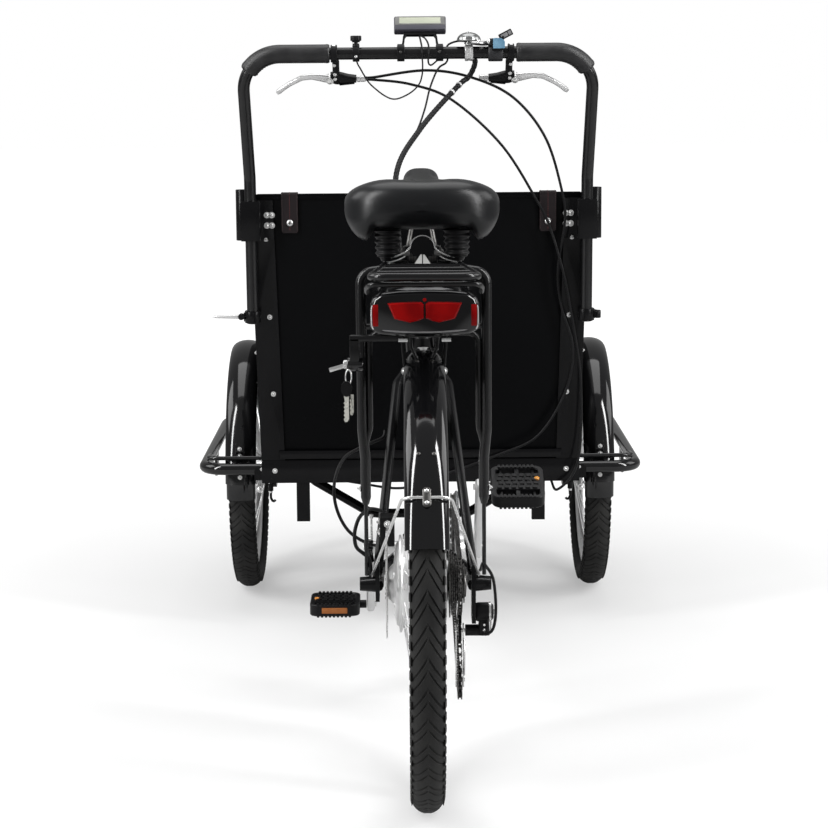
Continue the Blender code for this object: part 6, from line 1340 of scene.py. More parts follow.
case = [
    tilted((-0.043, -0.0085, 0.0415), (0.051, 0.0085, 0.071), 0.003),
    tilted((-0.036, 0.006, 0.044), (0.044, 0.0088, 0.067), 0.001)
]
made("display_case", case, "button_plastic", "screen", "display")
holder = [tilted((-0.026, -0.004, 0.035), (0.034, 0.004, 0.0417), 0.0008)]
for s in (-1, 1):
    x = DISPLAY_X + s * 0.035
    holder += [
        band(x, 0.0135, 0.0148),
        collar((x, BAR_Y, BAR_Z), "X", (-0.0062, 0.0062), (CLAMP_BORE, 0.0172), 6, radians(20), radians(50))
    ]
    arm = [
        (x - s * inward, 0.0, z)
        for inward, z in ((0.003, 0.013), (0.0042, 0.0185), (0.0052, 0.026), (0.006, 0.032), (0.0095, 0.037))
    ]
    arm = [about + tilt @ Vector(p) for p in arm]
    holder.append(
        sweep(
            smooth(arm, 0.002), [(0.0017, -0.0045), (0.0017, 0.0045), (-0.0017, 0.0045), (-0.0017, -0.0045)],
            side=(1, 0, 0)
        )
    )
made("display_holder", holder, "black_plastic", "screen")
made("display_panel", tilted((-0.0335, -0.0092, 0.0555), (0.0415, -0.008, 0.0682), 0.0006), "lcd", "screen")
frame_bits = [tilted((-0.0365, -0.0094, z), (0.0445, -0.0084, z + 0.002), 0.0003) for z in (0.0537, 0.068)]
frame_bits += [tilted((x, -0.00935, 0.054), (x + 0.0029, -0.0085, 0.0697), 0.0003) for x in (-0.03645, 0.04155)]
made("display_edge", frame_bits, "bezel_plastic", "screen")
made("display_bezel", tilted((-0.041, -0.009, 0.053), (0.049, -0.008, 0.07), 0.0004), "bezel_plastic", "screen")
made(
    "display_buttons", tilted((-0.0414, -0.01, 0.0428), (0.0494, -0.0078, 0.052), 0.0008), "button_plastic",
    "screen"
)
screws = [
    bolt(vec(DISPLAY_X + s * 0.035, BAR_Y - 0.0148, BAR_Z + 0.002), (0, -1, 0.1), 0.0028, 0.0012, False)
    for s in (-1, 1)
]
made("display_screws", screws, "dark_steel", "screen")

# Bell and its striker
base = BAR_Z + 0.021
dome = [
    (base - 0.0004, 0.0), (base - 0.0004, 0.0205), (base, 0.0222), (base + 0.0012, 0.0224), (base + 0.002, 0.0216),
    (base + 0.0045, 0.0212), (base + 0.008, 0.0192), (base + 0.011, 0.016), (base + 0.0135, 0.0115),
    (base + 0.015, 0.006), (base + 0.0152, 0.0035), (base + 0.0164, 0.0032), (base + 0.0168, 0.0)
]
bell = [
    turned(dome, (BELL_X, BAR_Y, 0), "Z", 48),
    rod((BELL_X, BAR_Y, BAR_Z + 0.0125), (BELL_X, BAR_Y, base), 0.0052, 20),
    rod((BELL_X, BAR_Y, BAR_Z + 0.0155), (BELL_X, BAR_Y, BAR_Z + 0.018), 0.0085, 20),
    block((0.088, BAR_Y - 0.026, base - 0.0062), (0.111, BAR_Y + 0.002, base - 0.0037), 0.0008)
]
made("bell_dome", bell, "chrome", "bar", "bell")
clamp = [band(BELL_X + side * 0.0044, 0.0056, 0.015) for side in (-1, 1)] + [
    band(BELL_X, 0.0134, 0.0143), bolt((BELL_X, BAR_Y - 0.0136, BAR_Z - 0.003), (0, -1, 0), 0.0028, 0.002, False)
]
made("bell_clamp", clamp, "aluminium", "bar")
spot = vec(BELL_X + 0.016, BAR_Y - 0.022, BAR_Z + 0.021 - 0.0035 + GAP)
striker = [
    rod(spot, spot + vec(0, 0, 0.005), 0.003, 18),
    rod(spot + vec(0, 0, 0.0025), spot + vec(0.019, 0, 0.0025), 0.0011, 12),
    turned(
        [(-0.002, 0.0), (-0.002, 0.0018), (0, 0.0029), (0.0045, 0.0029), (0.0065, 0.0018), (0.007, 0.0)],
        spot + vec(0.019, 0, 0), "Z", 18
    )
]
made("bell_striker_arm", striker, "steel", "striker", "bell_striker")

# Shifter with its window and lever
shift = [
    turned(
        [
            (-0.013, CLAMP_BORE), (-0.013, 0.0148), (-0.011, 0.016), (0.011, 0.016), (0.013, 0.0148),
            (0.013, CLAMP_BORE)
        ],
        (0.14, BAR_Y, BAR_Z), "X", 32
    ),
    block((0.125, BAR_Y - 0.0165, BAR_Z + 0.012), (0.155, BAR_Y + 0.0165, BAR_Z + 0.025), 0.004),
    rod((0.126, BAR_Y - 0.01, BAR_Z + 0.018), (0.119, BAR_Y - 0.008, BAR_Z + 0.015), 0.0036, 14)
]
made("shifter_body", shift, "grey_plastic", "bar", "shifter")
holder = [
    block((0.1325, BAR_Y - 0.0268, BAR_Z + 0.0045), (0.1585, BAR_Y - 0.015, BAR_Z + 0.0072), 0.0008),
    block((0.1325, BAR_Y - 0.0262, BAR_Z + 0.005), (0.1352, BAR_Y - 0.0238, BAR_Z + 0.025), 0.0008)
]
made("shifter_window_holder", holder, "black_plastic", "bar")
pane = [
    (0.1348, 0.007), (0.156, 0.007), (0.156, 0.019), (0.1535, 0.023), (0.149, 0.0252), (0.1375, 0.0255),
    (0.1348, 0.024)
]
made(
    "shifter_window", sweep([(0, BAR_Y + y, BAR_Z) for y in (-0.0238, -0.0262, -0.0268)], pane, side=(1, 0, 0)),
    "pale_window", "bar"
)
spot = vec(0.144, BAR_Y - 0.0168, BAR_Z + 0.0155)
stops = [spot + Vector(p) for p in ((0.002, -0.0025, 0.001), (0.006, -0.0027, 0.007), (0.0095, -0.0027, 0.013))]
turn = Matrix.Rotation(radians(-27), 3, "Y")
tip = spot + vec(0.014, -0.0025, 0.016)


def paddle(low_x, high_x, half_tall, low_y, high_y, bevel):
    """A box in the place of the gear lever's tip."""
    return block(tip + vec(low_x, low_y, -half_tall), tip + vec(high_x, high_y, half_tall), bevel, turn, tip)


gear = [
    sweep(smooth(stops, 0.003), squarish(0.0028, 0.0042, 1, 1, 12), side=(0, 1, 0)),
    turned([(0, 0), (0, 0.008), (-0.004, 0.0078), (-0.0052, 0.006), (-0.0052, 0)], spot, "Y", 28),
    paddle(-0.013, 0.0125, 0.0058, -0.0022, 0.0027, 0.0016)
]
made("shift_lever_arm", gear, "black_plastic", "gear_lever", "shift_lever", 45)
# Two pale insets on the paddle paint its highlight.
made(
    "shift_lever_tip",
    [
        paddle(-0.0095, 0.0035, 0.0036, -0.0026, -0.002, 0.0005),
        paddle(0.0048, 0.0105, 0.0036, -0.0026, -0.002, 0.0005)
    ],
    "ridge_plastic", "gear_lever", angle=45
)


def lobed(count, radius, wave, lobes):
    """An outline with so many lobes."""
    radii = [(radius + wave * cos(lobes * t), t) for t in round_steps(count)]
    return [(r * cos(t), r * sin(t)) for r, t in radii]


# Assist knob
seat = vec(KNOB_X, BAR_Y, BAR_Z + BAR_R + 0.0085)
mount = [
    band(KNOB_X, 0.012, 0.0148),
    turned(
        [
            (BAR_Z + 0.0125, 0.0072), (seat.z - 0.0046, 0.006), (seat.z - 0.0017, 0.0064),
            (seat.z - 0.0017, 0.0037), (BAR_Z + 0.0125, 0.0037)
        ],
        (seat.x, seat.y, 0), "Z", 28
    )
]
made("button_mount_clamp", mount, "black_plastic", "bar", "button_mount")
made(
    "button_mount_screw", bolt((KNOB_X, BAR_Y - 0.0142, BAR_Z - 0.006), (0, -1, 0), 0.0026, 0.0016, False), "steel",
    "bar"
)
low = seat.z + GAP
star = lobed(60, 0.0092, 0.0008, 6)
knob = sweep(
    [(seat.x, seat.y, z) for z in (low + 0.0026, low + 0.0034, low + 0.0108, low + 0.0117, low + 0.012)], star,
    side=(1, 0, 0), sizes=[0.9, 1.0, 1.0, 0.93, 0.84]
)
made(
    "assist_knob_star",
    [
        knob, rod((seat.x, seat.y, seat.z - 0.005), (seat.x, seat.y, low + 0.003), 0.0034, 16),
        turned([(low, 0), (low, 0.0066), (low + 0.003, 0.0078), (low + 0.003, 0)], (seat.x, seat.y, 0), "Z", 24)
    ],
    "black_plastic", "knob", "assist_button"
)


# Thin wires from the knob, the display and the shifter
def by_bar(points):
    """Points that are given from the middle of the bar."""
    return [vec(x, BAR_Y + y, BAR_Z + z) for x, y, z in points]


wire = [
    (KNOB_X, -0.0142, -0.01), (-0.1085, -0.01, -0.02), (-0.105, -0.004, -0.026), (-0.096, 0.008, -0.0422),
    (-0.0854, 0.01, -0.0566), (-0.0602, 0.012, -0.0766), (-0.0403, 0.012, -0.0821), (-0.0148, 0.012, -0.0715),
    (0.0015, 0.01, -0.056), (0.0072, 0.003, -0.039), (0.0082, -0.008, -0.022), (0.0076, -0.0132, -0.011),
    (0.0072, -0.015, -0.002)
]
made("assist_wire", curved_tube(by_bar(wire), 0.004, 0.0014, 8), "rubber", "bar", angle=50)
wires = []
for tops, rest in (
    ((0.0024, 0.0028), [(0.0052, -0.0042, 0.02), (0.0068, -0.0118, 0.011), (0.0072, -0.015, -0.001)]),
    (
        (0.0028, 0.0042),
        [
            (0.013, -0.0015, 0.026), (0.0188, -0.01, 0.0145), (0.0192, -0.015, -0.0005), (0.0182, -0.0122, -0.0118),
            (0.0195, -0.001, -0.0195), (0.0245, 0.0085, -0.0215), (0.033, 0.015, -0.015), (0.039, 0.0135, -0.0105)
        ]
    )
):
    wire = [about + tilt @ vec(tops[0], 0.0, 0.043), about + tilt @ vec(tops[1], -0.0005, 0.036)]
    wire += by_bar(rest)
    wires.append(curved_tube(wire, 0.004, 0.0016, 8))
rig.blend(
    made("display_wire", wires, "rubber", None, angle=50), "screen", "bar", wire[1],
    about + vec(0.0188, -0.01, 0.0145)
)
wire = [
    (0.125, -0.006, 0.014), (0.114, 0.0, 0.014), (0.0985, 0.012, 0.016), (0.085, 0.015, 0.0205),
    (0.072, 0.016, 0.0208), (0.06, 0.0168, 0.0175), (0.053, 0.0175, 0.012), (0.0525, 0.0185, 0.0),
    (0.054, 0.015, -0.0105), (0.05, 0.009, -0.0185), (0.0361, 0.002, -0.0285), (0.0214, -0.03, -0.061),
    (0.011, -0.075, -0.099), (-0.003, -0.124, -0.135), (-0.023, -0.178, -0.165)
]
path = smooth(by_bar(wire), 0.005)
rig.blend(made("shifter_wire", tube(path, 0.0018, 8), "rubber", None, angle=50), "bar", "front", path[30], path[-2])

# Quick releases
for side, word in SIDES:
    place = vec(side * (LEG_X + 0.0155 + GAP + 0.006), upright_y(CLAMP_Z), CLAMP_Z)
    axis = "Y" if side < 0 else "Z"
    cam = turned(
        [(-0.0075, 0), (-0.0075, 0.0048), (-0.0063, 0.006), (0.0063, 0.006), (0.0075, 0.0048), (0.0075, 0)], place,
        axis, 28
    )
    way = vec(-1, 0, 0) if side < 0 else vec(0, 1, 0)
    across = vec(0, 1, 0) if side < 0 else vec(0, 0, 1)
    stops = [
        (0.0, 1.0, 2.4), (0.008, 0.85, 2.2), (0.022, 0.9, 1.9), (0.04, 1.1, 1.6), (0.051, 1.0, 1.2),
        (0.056, 0.6, 0.7)
    ]
    outline = squarish(0.005 if side < 0 else 0.0039, 0.0017, 0.5, 0.7, 16)
    blade = shaft(lambda s: place + way * s, stops, outline, across)
    made(f"quick_release_{word}_cam", cam, "black_plastic", f"{word}_release", angle=45)
    made(f"quick_release_{word}_lever", blade, "aluminium", f"{word}_release", f"quick_release_{word}", 45)
    nut = lobed(40, 0.0078, -0.0014, 5)
    made(
        f"quick_release_{word}_nut",
        sweep([place - vec(side * 0.0062, 0, 0), place - vec(side * 0.0047, 0, 0)], nut), "black_plastic", "front"
    )

# Saddle
REAR_EDGE = REAR_Y + 0.105
LENGTH = 0.285


def eased(t):
    """From 0 to 1 with level ends."""
    t = min(1.0, max(0.0, t))
    return t * t * (3 - 2 * t)


def quarter(t, power):
    """From 0 to 1 along a quarter of a round, which is squarer for a higher power."""
    t = min(1.0, max(0.0, t))
    return (1 - (1 - t) ** power) ** (1 / power)


def saddle_crown(t):
    """The height of the saddle's top, from its rear edge (0) to its nose (1)."""
    return 0.9185 - 0.004 * sin(pi * t) ** 2 + 0.0095 * eased(2.5 * t - 1.4)


def saddle_under(y):
    """The height of the saddle's underside."""
    return 0.8425 + 0.032 * eased(((y - REAR_EDGE) / LENGTH - 0.45) * 2)


def saddle_half(t):
    """Half the saddle's width from its rear edge (0) to its nose (1)."""
    wide, nose = 0.118, 0.029
    if t < 0.32:
        return wide * quarter(t / 0.32, 2.5)
    return nose + (wide - nose) * (1 - eased((t - 0.32) / (0.76 - 0.32)))


rings = []
stations = 56
for t in ((1 - cos(pi * k / stations)) / 2 for k in range(stations + 1)):
    y = REAR_EDGE + LENGTH * t
    end = quarter((1 - t) / 0.12, 2.0)
    half = max(saddle_half(t) * end, 0.003)
    crown, under = saddle_crown(t), saddle_under(y)
    middle = under + (crown - under) * 0.45
    height = max(0.12, quarter(t / 0.17, 2.2) * end)
    ring = []
    for a in round_steps(64, 0.5):
        c, s = cos(a), sin(a)
        power = 0.72 if s > 0 else 0.6
        x = half * bent(c, power)
        if s > 0:
            # The top: a groove along the middle and a lobe at each side
            reach = crown - middle
            lobe = 0.002 * hump(abs(x) - 0.062, 0.03) * hump(t - 0.3, 0.22)
            relief = lobe - 0.0045 * hump(x, 0.03) * sin(pi * t)
        else:
            # The underside: a skirt that hangs down at each side
            reach = middle - under
            round_off = max(0.0, 1 - (max(0.0, abs(x) - 0.085) / 0.0335) ** 2)
            relief = -0.0225 * eased((abs(x) - 0.069) / 0.016) * round_off * hump(t - 0.24, 0.2)
        seam = 1 - 0.0005 * hump(s + 0.75, 0.05) / max(half, 0.01)
        ring.append((x * seam, y, middle + height * (reach * bent(s, power) + relief)))
    rings.append(ring)
saddle = made("saddle_cushion", loft(rings), "vinyl", "seat", "saddle", 70)
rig.padded(saddle, 0.85)

# Springs with ribbed boots, rails and clamp
SPRING_Y = REAR_EDGE + 0.052
spring_top, spring_low, rail_z = 0.8419, 0.8019, 0.7989
boots = []
for s in (-1, 1):
    profile = [(spring_low - 0.001, 0), (spring_low - 0.001, 0.015), (spring_low, 0.0165)]
    for k in range(41):
        share = k / 40
        wave = 0.5 - 0.5 * cos(2 * pi * 4.5 * share)
        profile.append((spring_low + 0.0005 + 0.0385 * share, 0.016 + 0.0022 * share + 0.0028 * wave))
    profile += [(spring_top, 0.0175), (spring_top, 0)]
    boots += [
        turned(profile, (s * 0.052, SPRING_Y, 0), "Z", 36),
        turned(
            [(rail_z - 0.004, 0), (rail_z - 0.004, 0.01), (spring_low - 0.001, 0.013), (spring_low - 0.001, 0)],
            (s * 0.052, SPRING_Y, 0), "Z", 28
        )
    ]
made("saddle_boots", boots, "rubber", "seat", "saddle_frame", 50)
head_z = rail_z - 0.009 - GAP - 0.01
seat_top = vec(0, SEAT_TUBE_Y, SEAT_TUBE_TOP)
seat_way = vec(0, -cos(radians(70)), sin(radians(70)))
head = seat_top + seat_way * ((head_z - seat_top.z) / seat_way.z)
nose_y = REAR_EDGE + LENGTH - 0.045
nose_z = saddle_under(nose_y - 0.012) - 0.0006
metal = [rod((-0.06, SPRING_Y, rail_z - 0.001), (0.06, SPRING_Y, rail_z - 0.001), 0.0036, 18)]
edge_highlights_and_bolts = []
wedges = []
for s in (-1, 1):
    rail = [
        (s * 0.052, SPRING_Y, rail_z - 0.001), (s * 0.03, SPRING_Y + 0.03, rail_z),
        (s * 0.022, SPRING_Y + 0.06, rail_z), (s * 0.022, head.y + 0.035, rail_z + 0.002),
        (s * 0.01, nose_y, nose_z - 0.006)
    ]
    metal += [
        bent_tube(rail, 0.02, 6, 0.0036, 16),
        block(
            (s * 0.022 - 0.0075, head.y - 0.013, rail_z - 0.009),
            (s * 0.022 + 0.0075, head.y + 0.013, rail_z - 0.0035), 0.0012, Matrix.Rotation(radians(s * 16), 3, "Y"),
            (s * 0.022, head.y, rail_z - 0.006)
        ),
        bolt((s * 0.0282, head.y, rail_z), (s, 0, 0), 0.0062, 0.0035)
    ]
    for k in range(5):
        x = s * (0.01 + 0.0024 * k)
        metal.append(
            block(
                (x - 0.0008, SPRING_Y - 0.014, rail_z - 0.0065 + 0.0009 * k),
                (x + 0.0008, SPRING_Y - 0.0105, rail_z + 0.0035), 0.0003
            )
        )
    # Thin steel lines that sweep out from the round plate paint the highlights on the edges of the clamp's wings.
    wing = [
        (s * 0.0185, SPRING_Y - 0.012, rail_z + 0.0165), (s * 0.026, SPRING_Y - 0.0125, rail_z + 0.01),
        (s * 0.036, SPRING_Y - 0.013, rail_z + 0.005), (s * 0.05, SPRING_Y - 0.01, rail_z + 0.001)
    ]
    edge_highlights_and_bolts += [
        curved_tube(wing, 0.003, 0.0013, 10),
        curved_tube([Vector(p) - vec(0, 0, 0.0065) for p in wing[1:]], 0.003, 0.001, 10),
        bolt((s * 0.052, SPRING_Y, rail_z - 0.004), (0, 0, -1), 0.005, 0.0035)
    ]
    corners = (
        (0.0008, -0.0128, 0.0062), (0.003, -0.0128, 0.0062), (0.0118, -0.0176, -0.0072), (0.0008, -0.0176, -0.0072)
    )
    wedges.append(loft([[(s * x, SPRING_Y + y + deep, rail_z + z) for x, y, z in corners] for deep in (0, 0.005)]))
    # A steel arc round the clamp's round plate paints the highlight on its rim.
    hoop = [
        (s * 0.0185 * sin(t), SPRING_Y - 0.012, rail_z + 0.016 + 0.0185 * cos(t))
        for t in (pi / 2 * k / 10 for k in range(11))
    ]
    edge_highlights_and_bolts.append(tube(hoop, 0.0013, 10))
metal.append(rod((-0.028, head.y, rail_z - 0.0002), (0.028, head.y, rail_z - 0.0002), 0.0052, 20))
made("saddle_rails", metal, "dark_steel", "seat", angle=45)
made("saddle_painted_edge_highlights_and_bolts", edge_highlights_and_bolts, "steel", "seat", angle=35)
made("saddle_bright_wedges", wedges, "bright_paint", "seat", angle=35)
clamp = [
    block((x, head.y - 0.013, rail_z - 0.0045), (x + 0.0115, head.y + 0.013, rail_z + 0.009), 0.0025)
    for x in (-0.028, 0.0165)
]
clamp += [
    block((-0.0165, head.y - 0.012, rail_z - 0.009), (0.0165, head.y + 0.012, rail_z + 0.007), 0.003),
    block((-0.014, nose_y - 0.012, nose_z - 0.011), (0.014, nose_y + 0.006, nose_z), 0.002),
    collar((0, 0, rail_z + 0.016), "Y", (SPRING_Y - 0.0125, SPRING_Y - 0.008), (0, 0.018), 40),
    block((-0.048, SPRING_Y - 0.0115, rail_z - 0.002), (0.048, SPRING_Y - 0.007, rail_z + 0.0045), 0.0015),
    block((-0.0225, SPRING_Y - 0.013, rail_z - 0.0075), (0.0225, SPRING_Y - 0.007, rail_z + 0.0035), 0.002)
]
made("saddle_clamp", clamp, "black_plastic", "seat", angle=45)
post = [
    rod(seat_top - seat_way * 0.16, head - seat_way * 0.004, 0.0136, 32),
    block(head - vec(0.016, 0.014, 0.01), head + vec(0.016, 0.014, 0.01), 0.003),
    bolt(head + vec(0, -0.014, 0), (0, -1, 0), 0.004, 0.003)
]
made("seat_post_tube", post, "aluminium", "seat", "seat_post", 45)


# Rack
def rack_spot(side, ahead):
    """A point of the rack's top frame, so far ahead of the rear axle."""
    share = (ahead + 0.175) / 0.38
    return vec(side * (0.074 - 0.021 * share), REAR_Y + ahead, 0.8 - 0.013 * share)


loop = [
    rack_spot(0, -0.175), rack_spot(-1, -0.175), rack_spot(-1, 0.205), rack_spot(1, 0.205), rack_spot(1, -0.175),
    rack_spot(0, -0.175)
]
shapes = [tube(rounded(loop, 0.022, 8)[1:-1], 0.0058, 20, closed=True)]
for s in (-1, 1):
    x = s * 0.0862
    top = rack_spot(s, 0)
    shapes += [
        bent_tube(
            [
                top - vec(s * 0.002, 0, 0), (s * 0.0905, REAR_Y, top.z - 0.004), (s * 0.09, REAR_Y, 0.56),
                (x, REAR_Y, 0.52), (x, REAR_Y, 0.462)
            ],
            (0.018, 0.03, 0.03), 10, 0.0075, 20
        ),
        rod((x, REAR_Y, 0.463), (x, REAR_Y, 0.452), 0.0075, 20, 0.0045),
        bent_tube(
            [
                (s * 0.034, REAR_Y, 0.7035), (s * 0.079, REAR_Y, 0.7035), (s * 0.079, REAR_Y, 0.565),
                (s * 0.086, REAR_Y, 0.54)
            ],
            (0.016, 0.012), 8, 0.0044, 16
        ),
        rod((x, REAR_Y, 0.47), (x, REAR_Y, REAR_R + 0.0128), 0.003, 14),
        rod(rack_spot(s * 0.6, 0.205), (s * 0.0213, SEAT_TUBE_Y, 0.6339), 0.004, 16)
    ]
for share in (0.25, 0.5, 0.75):
    ahead = share * 0.38 - 0.175
    shapes.append(rod(rack_spot(-1, ahead), rack_spot(1, ahead), 0.004, 16))
rail_top = 0.7177
rail_low = rail_top - 0.005
lock = vec(-0.108, REAR_Y - 0.12, 0.674)
shapes += [
    rod((-0.0935, REAR_Y, rail_top - 0.0045), (0.0935, REAR_Y, rail_top - 0.0045), 0.004, 16),
    block((-0.03, REAR_Y - 0.138, rail_low), (0.03, REAR_Y + 0.157, rail_top), 0.001),
    block((lock.x + 0.004, lock.y - 0.008, rail_low - 0.006), (-0.02, lock.y + 0.008, rail_low + 0.002), 0.001),
    block((lock.x + 0.004, lock.y - 0.008, lock.z), (lock.x + 0.017, lock.y + 0.008, rail_low - 0.002), 0.001)
]
made("rack_tubes", shapes, "bar_paint", "frame", "rack")
loop = rounded(
    [
        (-0.0792, REAR_Y - 0.128, 0.7755), (-0.0792, REAR_Y - 0.15, 0.783), (-0.074, REAR_Y - 0.1705, 0.7895),
        (0.074, REAR_Y - 0.1705, 0.7895), (0.0792, REAR_Y - 0.15, 0.783), (0.0792, REAR_Y - 0.128, 0.7755)
    ],
    0.01, 6
)
made("rack_low_loop", tube(loop, 0.0036, 14), "bar_paint", "frame")
made(
    "battery_lock",
    turned([(0, 0), (0, 0.0085), (0.0015, 0.0095), (0.02, 0.0095), (0.022, 0.008), (0.022, 0)], lock, "X", 28),
    "gloss_black", "frame"
)
bolts = [
    block(
        (s * 0.03 - 0.0065, REAR_Y - 0.1455, rail_low - 0.005),
        (s * 0.03 + 0.0065, REAR_Y - 0.133, rail_low - 0.0002), 0.0008
    )
    for s in (-1, 1)
]
bolts += [bolt((s * 0.0937, REAR_Y, 0.476), (s, 0, 0), 0.0034, 0.003) for s in (-1, 1)]
bolts += [bolt((s * 0.027, -0.83, 0.656), (0, -1, 0), 0.0042, 0.003) for s in (-1, 1)]
made("rack_bolts", bolts, "steel", "frame")
struts = []
for s in (-1, 1):
    struts += [
        tube(
            [
                (s * 0.031, -0.825, rail_low), (s * 0.03, -0.825, 0.69), (s * 0.027, -0.825, 0.656),
                (s * 0.026, -0.825, 0.65)
            ],
            0.003, 12
        ),
        tube([(s * 0.019, -0.83, rail_low), (s * 0.018, -0.83, 0.69), (s * 0.011, -0.83, 0.674)], 0.0026, 12)
    ]
made("mudguard_struts", struts, "black_paint", "frame")

# Spare keys on a ring at the lock
ring = vec(-0.106, REAR_Y - 0.134, 0.664)
made(
    "key_ring",
    tube(
        [ring + vec(0.0042 * sin(t), 0, 0.0105 * cos(t) - 0.006) for t in round_steps(32)], 0.0009, 8, closed=True
    ),
    "steel", "frame", angle=50
)
made(
    "spare_key_head",
    sweep(
        [(ring.x - 0.003, ring.y - 0.0014, 0.6415), (ring.x - 0.003, ring.y + 0.0014, 0.6415)],
        [(0.0078 * cos(t), 0.011 * sin(t)) for t in round_steps(28)], side=(1, 0, 0)
    ),
    "black_plastic", "frame"
)
blades = []
for dx, dy, low_z, high_z, half in ((-0.0035, 0.0, 0.595, 0.633, 0.0036), (0.004, 0.0035, 0.604, 0.633, 0.0028)):
    edge = [(-half, high_z), (half, high_z), (half, low_z + 0.004), (half * 0.3, low_z), (-half * 0.6, low_z)]
    for k in range(5):
        z = low_z + 0.004 + 0.0056 * k
        edge += [(-half, z), (-half * 0.55, z + 0.0028)]
    blades.append(loft([[(ring.x + dx + x, ring.y + dy + y, z) for x, z in edge] for y in (-0.001, 0.001)]))
made("spare_key_blades", blades, "key_brass", "frame")

# Battery
back = REAR_Y - 0.178
low, top = 0.718, 0.7815
half = [
    (0.035, low + 0.0012), (0.062, low + 0.0035), (0.0715, low + 0.009), (0.0745, low + 0.015),
    (0.074, top - 0.018), (0.0705, top - 0.01), (0.06, top - 0.0035), (0.035, top - 0.0008)
]
section = [(0.0, low), *half, (0.0, top), *((-x, z) for x, z in reversed(half))]
# The shading of the flat ends depends on the outline's first point.
section = section[-2:] + section[:-2]
middle = (low + top) / 2
stops = [
    (0.0, 0.94, 0.86), (0.002, 0.975, 0.935), (0.006, 1.0, 0.985), (0.012, 1.0, 1.0), (0.3, 1.0, 1.0),
    (0.338, 0.99, 0.985), (0.345, 0.94, 0.9)
]
shapes = [
    sweep(
        [(0, back + s, middle) for s, a, b in stops], [(x, z - middle) for x, z in section], side=(1, 0, 0),
        sizes=[(a, -b) for s, a, b in stops]
    )
]
for s in (-1, 1):
    shapes.append(
        block(
            (min(s * 0.0735, s * 0.0748), back + 0.03, low + 0.028),
            (max(s * 0.0735, s * 0.0748), back + 0.31, low + 0.036), 0.0004
        )
    )
made("battery_case", shapes, "gloss_black", "battery_pack", "battery", 35)
# Ridges across the battery's top and a lip at its foot, in a pale grey that paints the highlights streaking along
# them.
ribs = []
for k, (y, z, half) in enumerate(
    ((0.0035, -0.0068, 0.062), (0.01, -0.0035, 0.06), (0.019, -0.0012, 0.056), (0.03, -0.0004, 0.052))
):
    line_points = [vec(half * u, back + y, top + z - 0.0055 * abs(u) ** 3) for u in (-1 + k / 8 for k in range(17))]
    ribs.append(tube(line_points, 0.0016, 8))
lip = [
    vec(0.07 * u, back - 0.0002 + 0.003 * abs(u) ** 4, low + 0.0068 + 0.005 * abs(u) ** 2.5)
    for u in (-1 + k / 10 for k in range(21))
]
ribs.append(tube(lip, 0.0013, 8))
made("battery_ridges_painted_highlight", ribs, "ridge_plastic", "battery_pack", angle=45)
lens = []
for s in (-1, 1):
    outline = [
        (0.001, top - 0.018), (0.0055, top - 0.015), (0.03, top - 0.0153), (0.0505, top - 0.0165),
        (0.0415, top - 0.0375), (0.035, top - 0.0395), (0.02, top - 0.0428), (0.01, top - 0.0408),
        (0.001, top - 0.037)
    ]
    cx, cz = 0.024, top - 0.028
    steps = ((back - 0.0003, 1.0), (back - 0.007, 1.0), (back - 0.0092, 0.965), (back - 0.0103, 0.88))
    lens.append(
        loft([[(s * (cx + (x - cx) * share), y, cz + (z - cz) * share) for x, z in outline] for y, share in steps])
    )
made("rear_light_lenses", lens, "red_lens", "battery_pack", "rear_light", 30)
strips = [
    block(
        (min(s * 0.0632, s * 0.0712), back - 0.0008, low + 0.015),
        (max(s * 0.0632, s * 0.0712), back + 0.005, top - 0.0185), 0.0014
    )
    for s in (-1, 1)
]
made("battery_strips", strips, "red_lens", "battery_pack", angle=30)
rim_line = []
for s in (-1, 1):
    edge = [
        (s * 0.07, back + 0.002, low + 0.011), (s * 0.0722, back + 0.0026, low + 0.018),
        (s * 0.0722, back + 0.0026, top - 0.023), (s * 0.069, back + 0.0024, top - 0.015)
    ]
    rim_line.append(curved_tube(edge, 0.004, 0.001, 8))
made("battery_trim", rim_line, "aluminium", "battery_pack")
made(
    "light_dot",
    turned([(0, 0), (0, 0.003), (-0.001, 0.0024), (-0.0016, 0)], (0, back + 0.0006, top - 0.0125), "Y", 20),
    "red_lens", "battery_pack"
)
key_start = lock - vec(GAP, 0, 0)
key = [
    turned([(0, 0), (0, 0.006), (-0.004, 0.006), (-0.005, 0.005), (-0.005, 0)], key_start, "X", 20),
    block(
        key_start + vec(-0.026, -0.001, -0.005), key_start + vec(-0.004, 0.001, 0.001), 0.0006,
        Matrix.Rotation(radians(-16), 3, "Y"), key_start + vec(-0.004, 0, 0)
    )
]
made("battery_key_turned", key, "steel", "key", "battery_key")

# Brake caliper
centre = REAR + vec(-0.057, 0.03, 0.068)
made(
    "brake_caliper_bolts",
    [
        bolt(centre + vec(-0.0095, -0.014, 0.006), (-1, 0, 0), 0.0048, 0.003),
        bolt(centre + vec(-0.0095, 0.002, 0.018), (-1, 0, 0), 0.0038, 0.003),
        bolt(centre + vec(0.002, -0.0242, 0.02), (0, -1, 0), 0.0038, 0.003)
    ],
    "steel", "frame"
)
polish("brake_caliper", 0.0004)


# Straps: leather folded over the rim, with sewn edges and one screw
BOX_LOW, BOX_TOP, BOX_LEAN = 0.3443, 0.854, 0.031


def up_box(z):
    """A height's share of the height of the box."""
    return (z - BOX_LOW) / (BOX_TOP - BOX_LOW)


def box_rear(z):
    """The rear face of the box, which leans back towards its top."""
    return 0.2315 - BOX_LEAN * up_box(z)


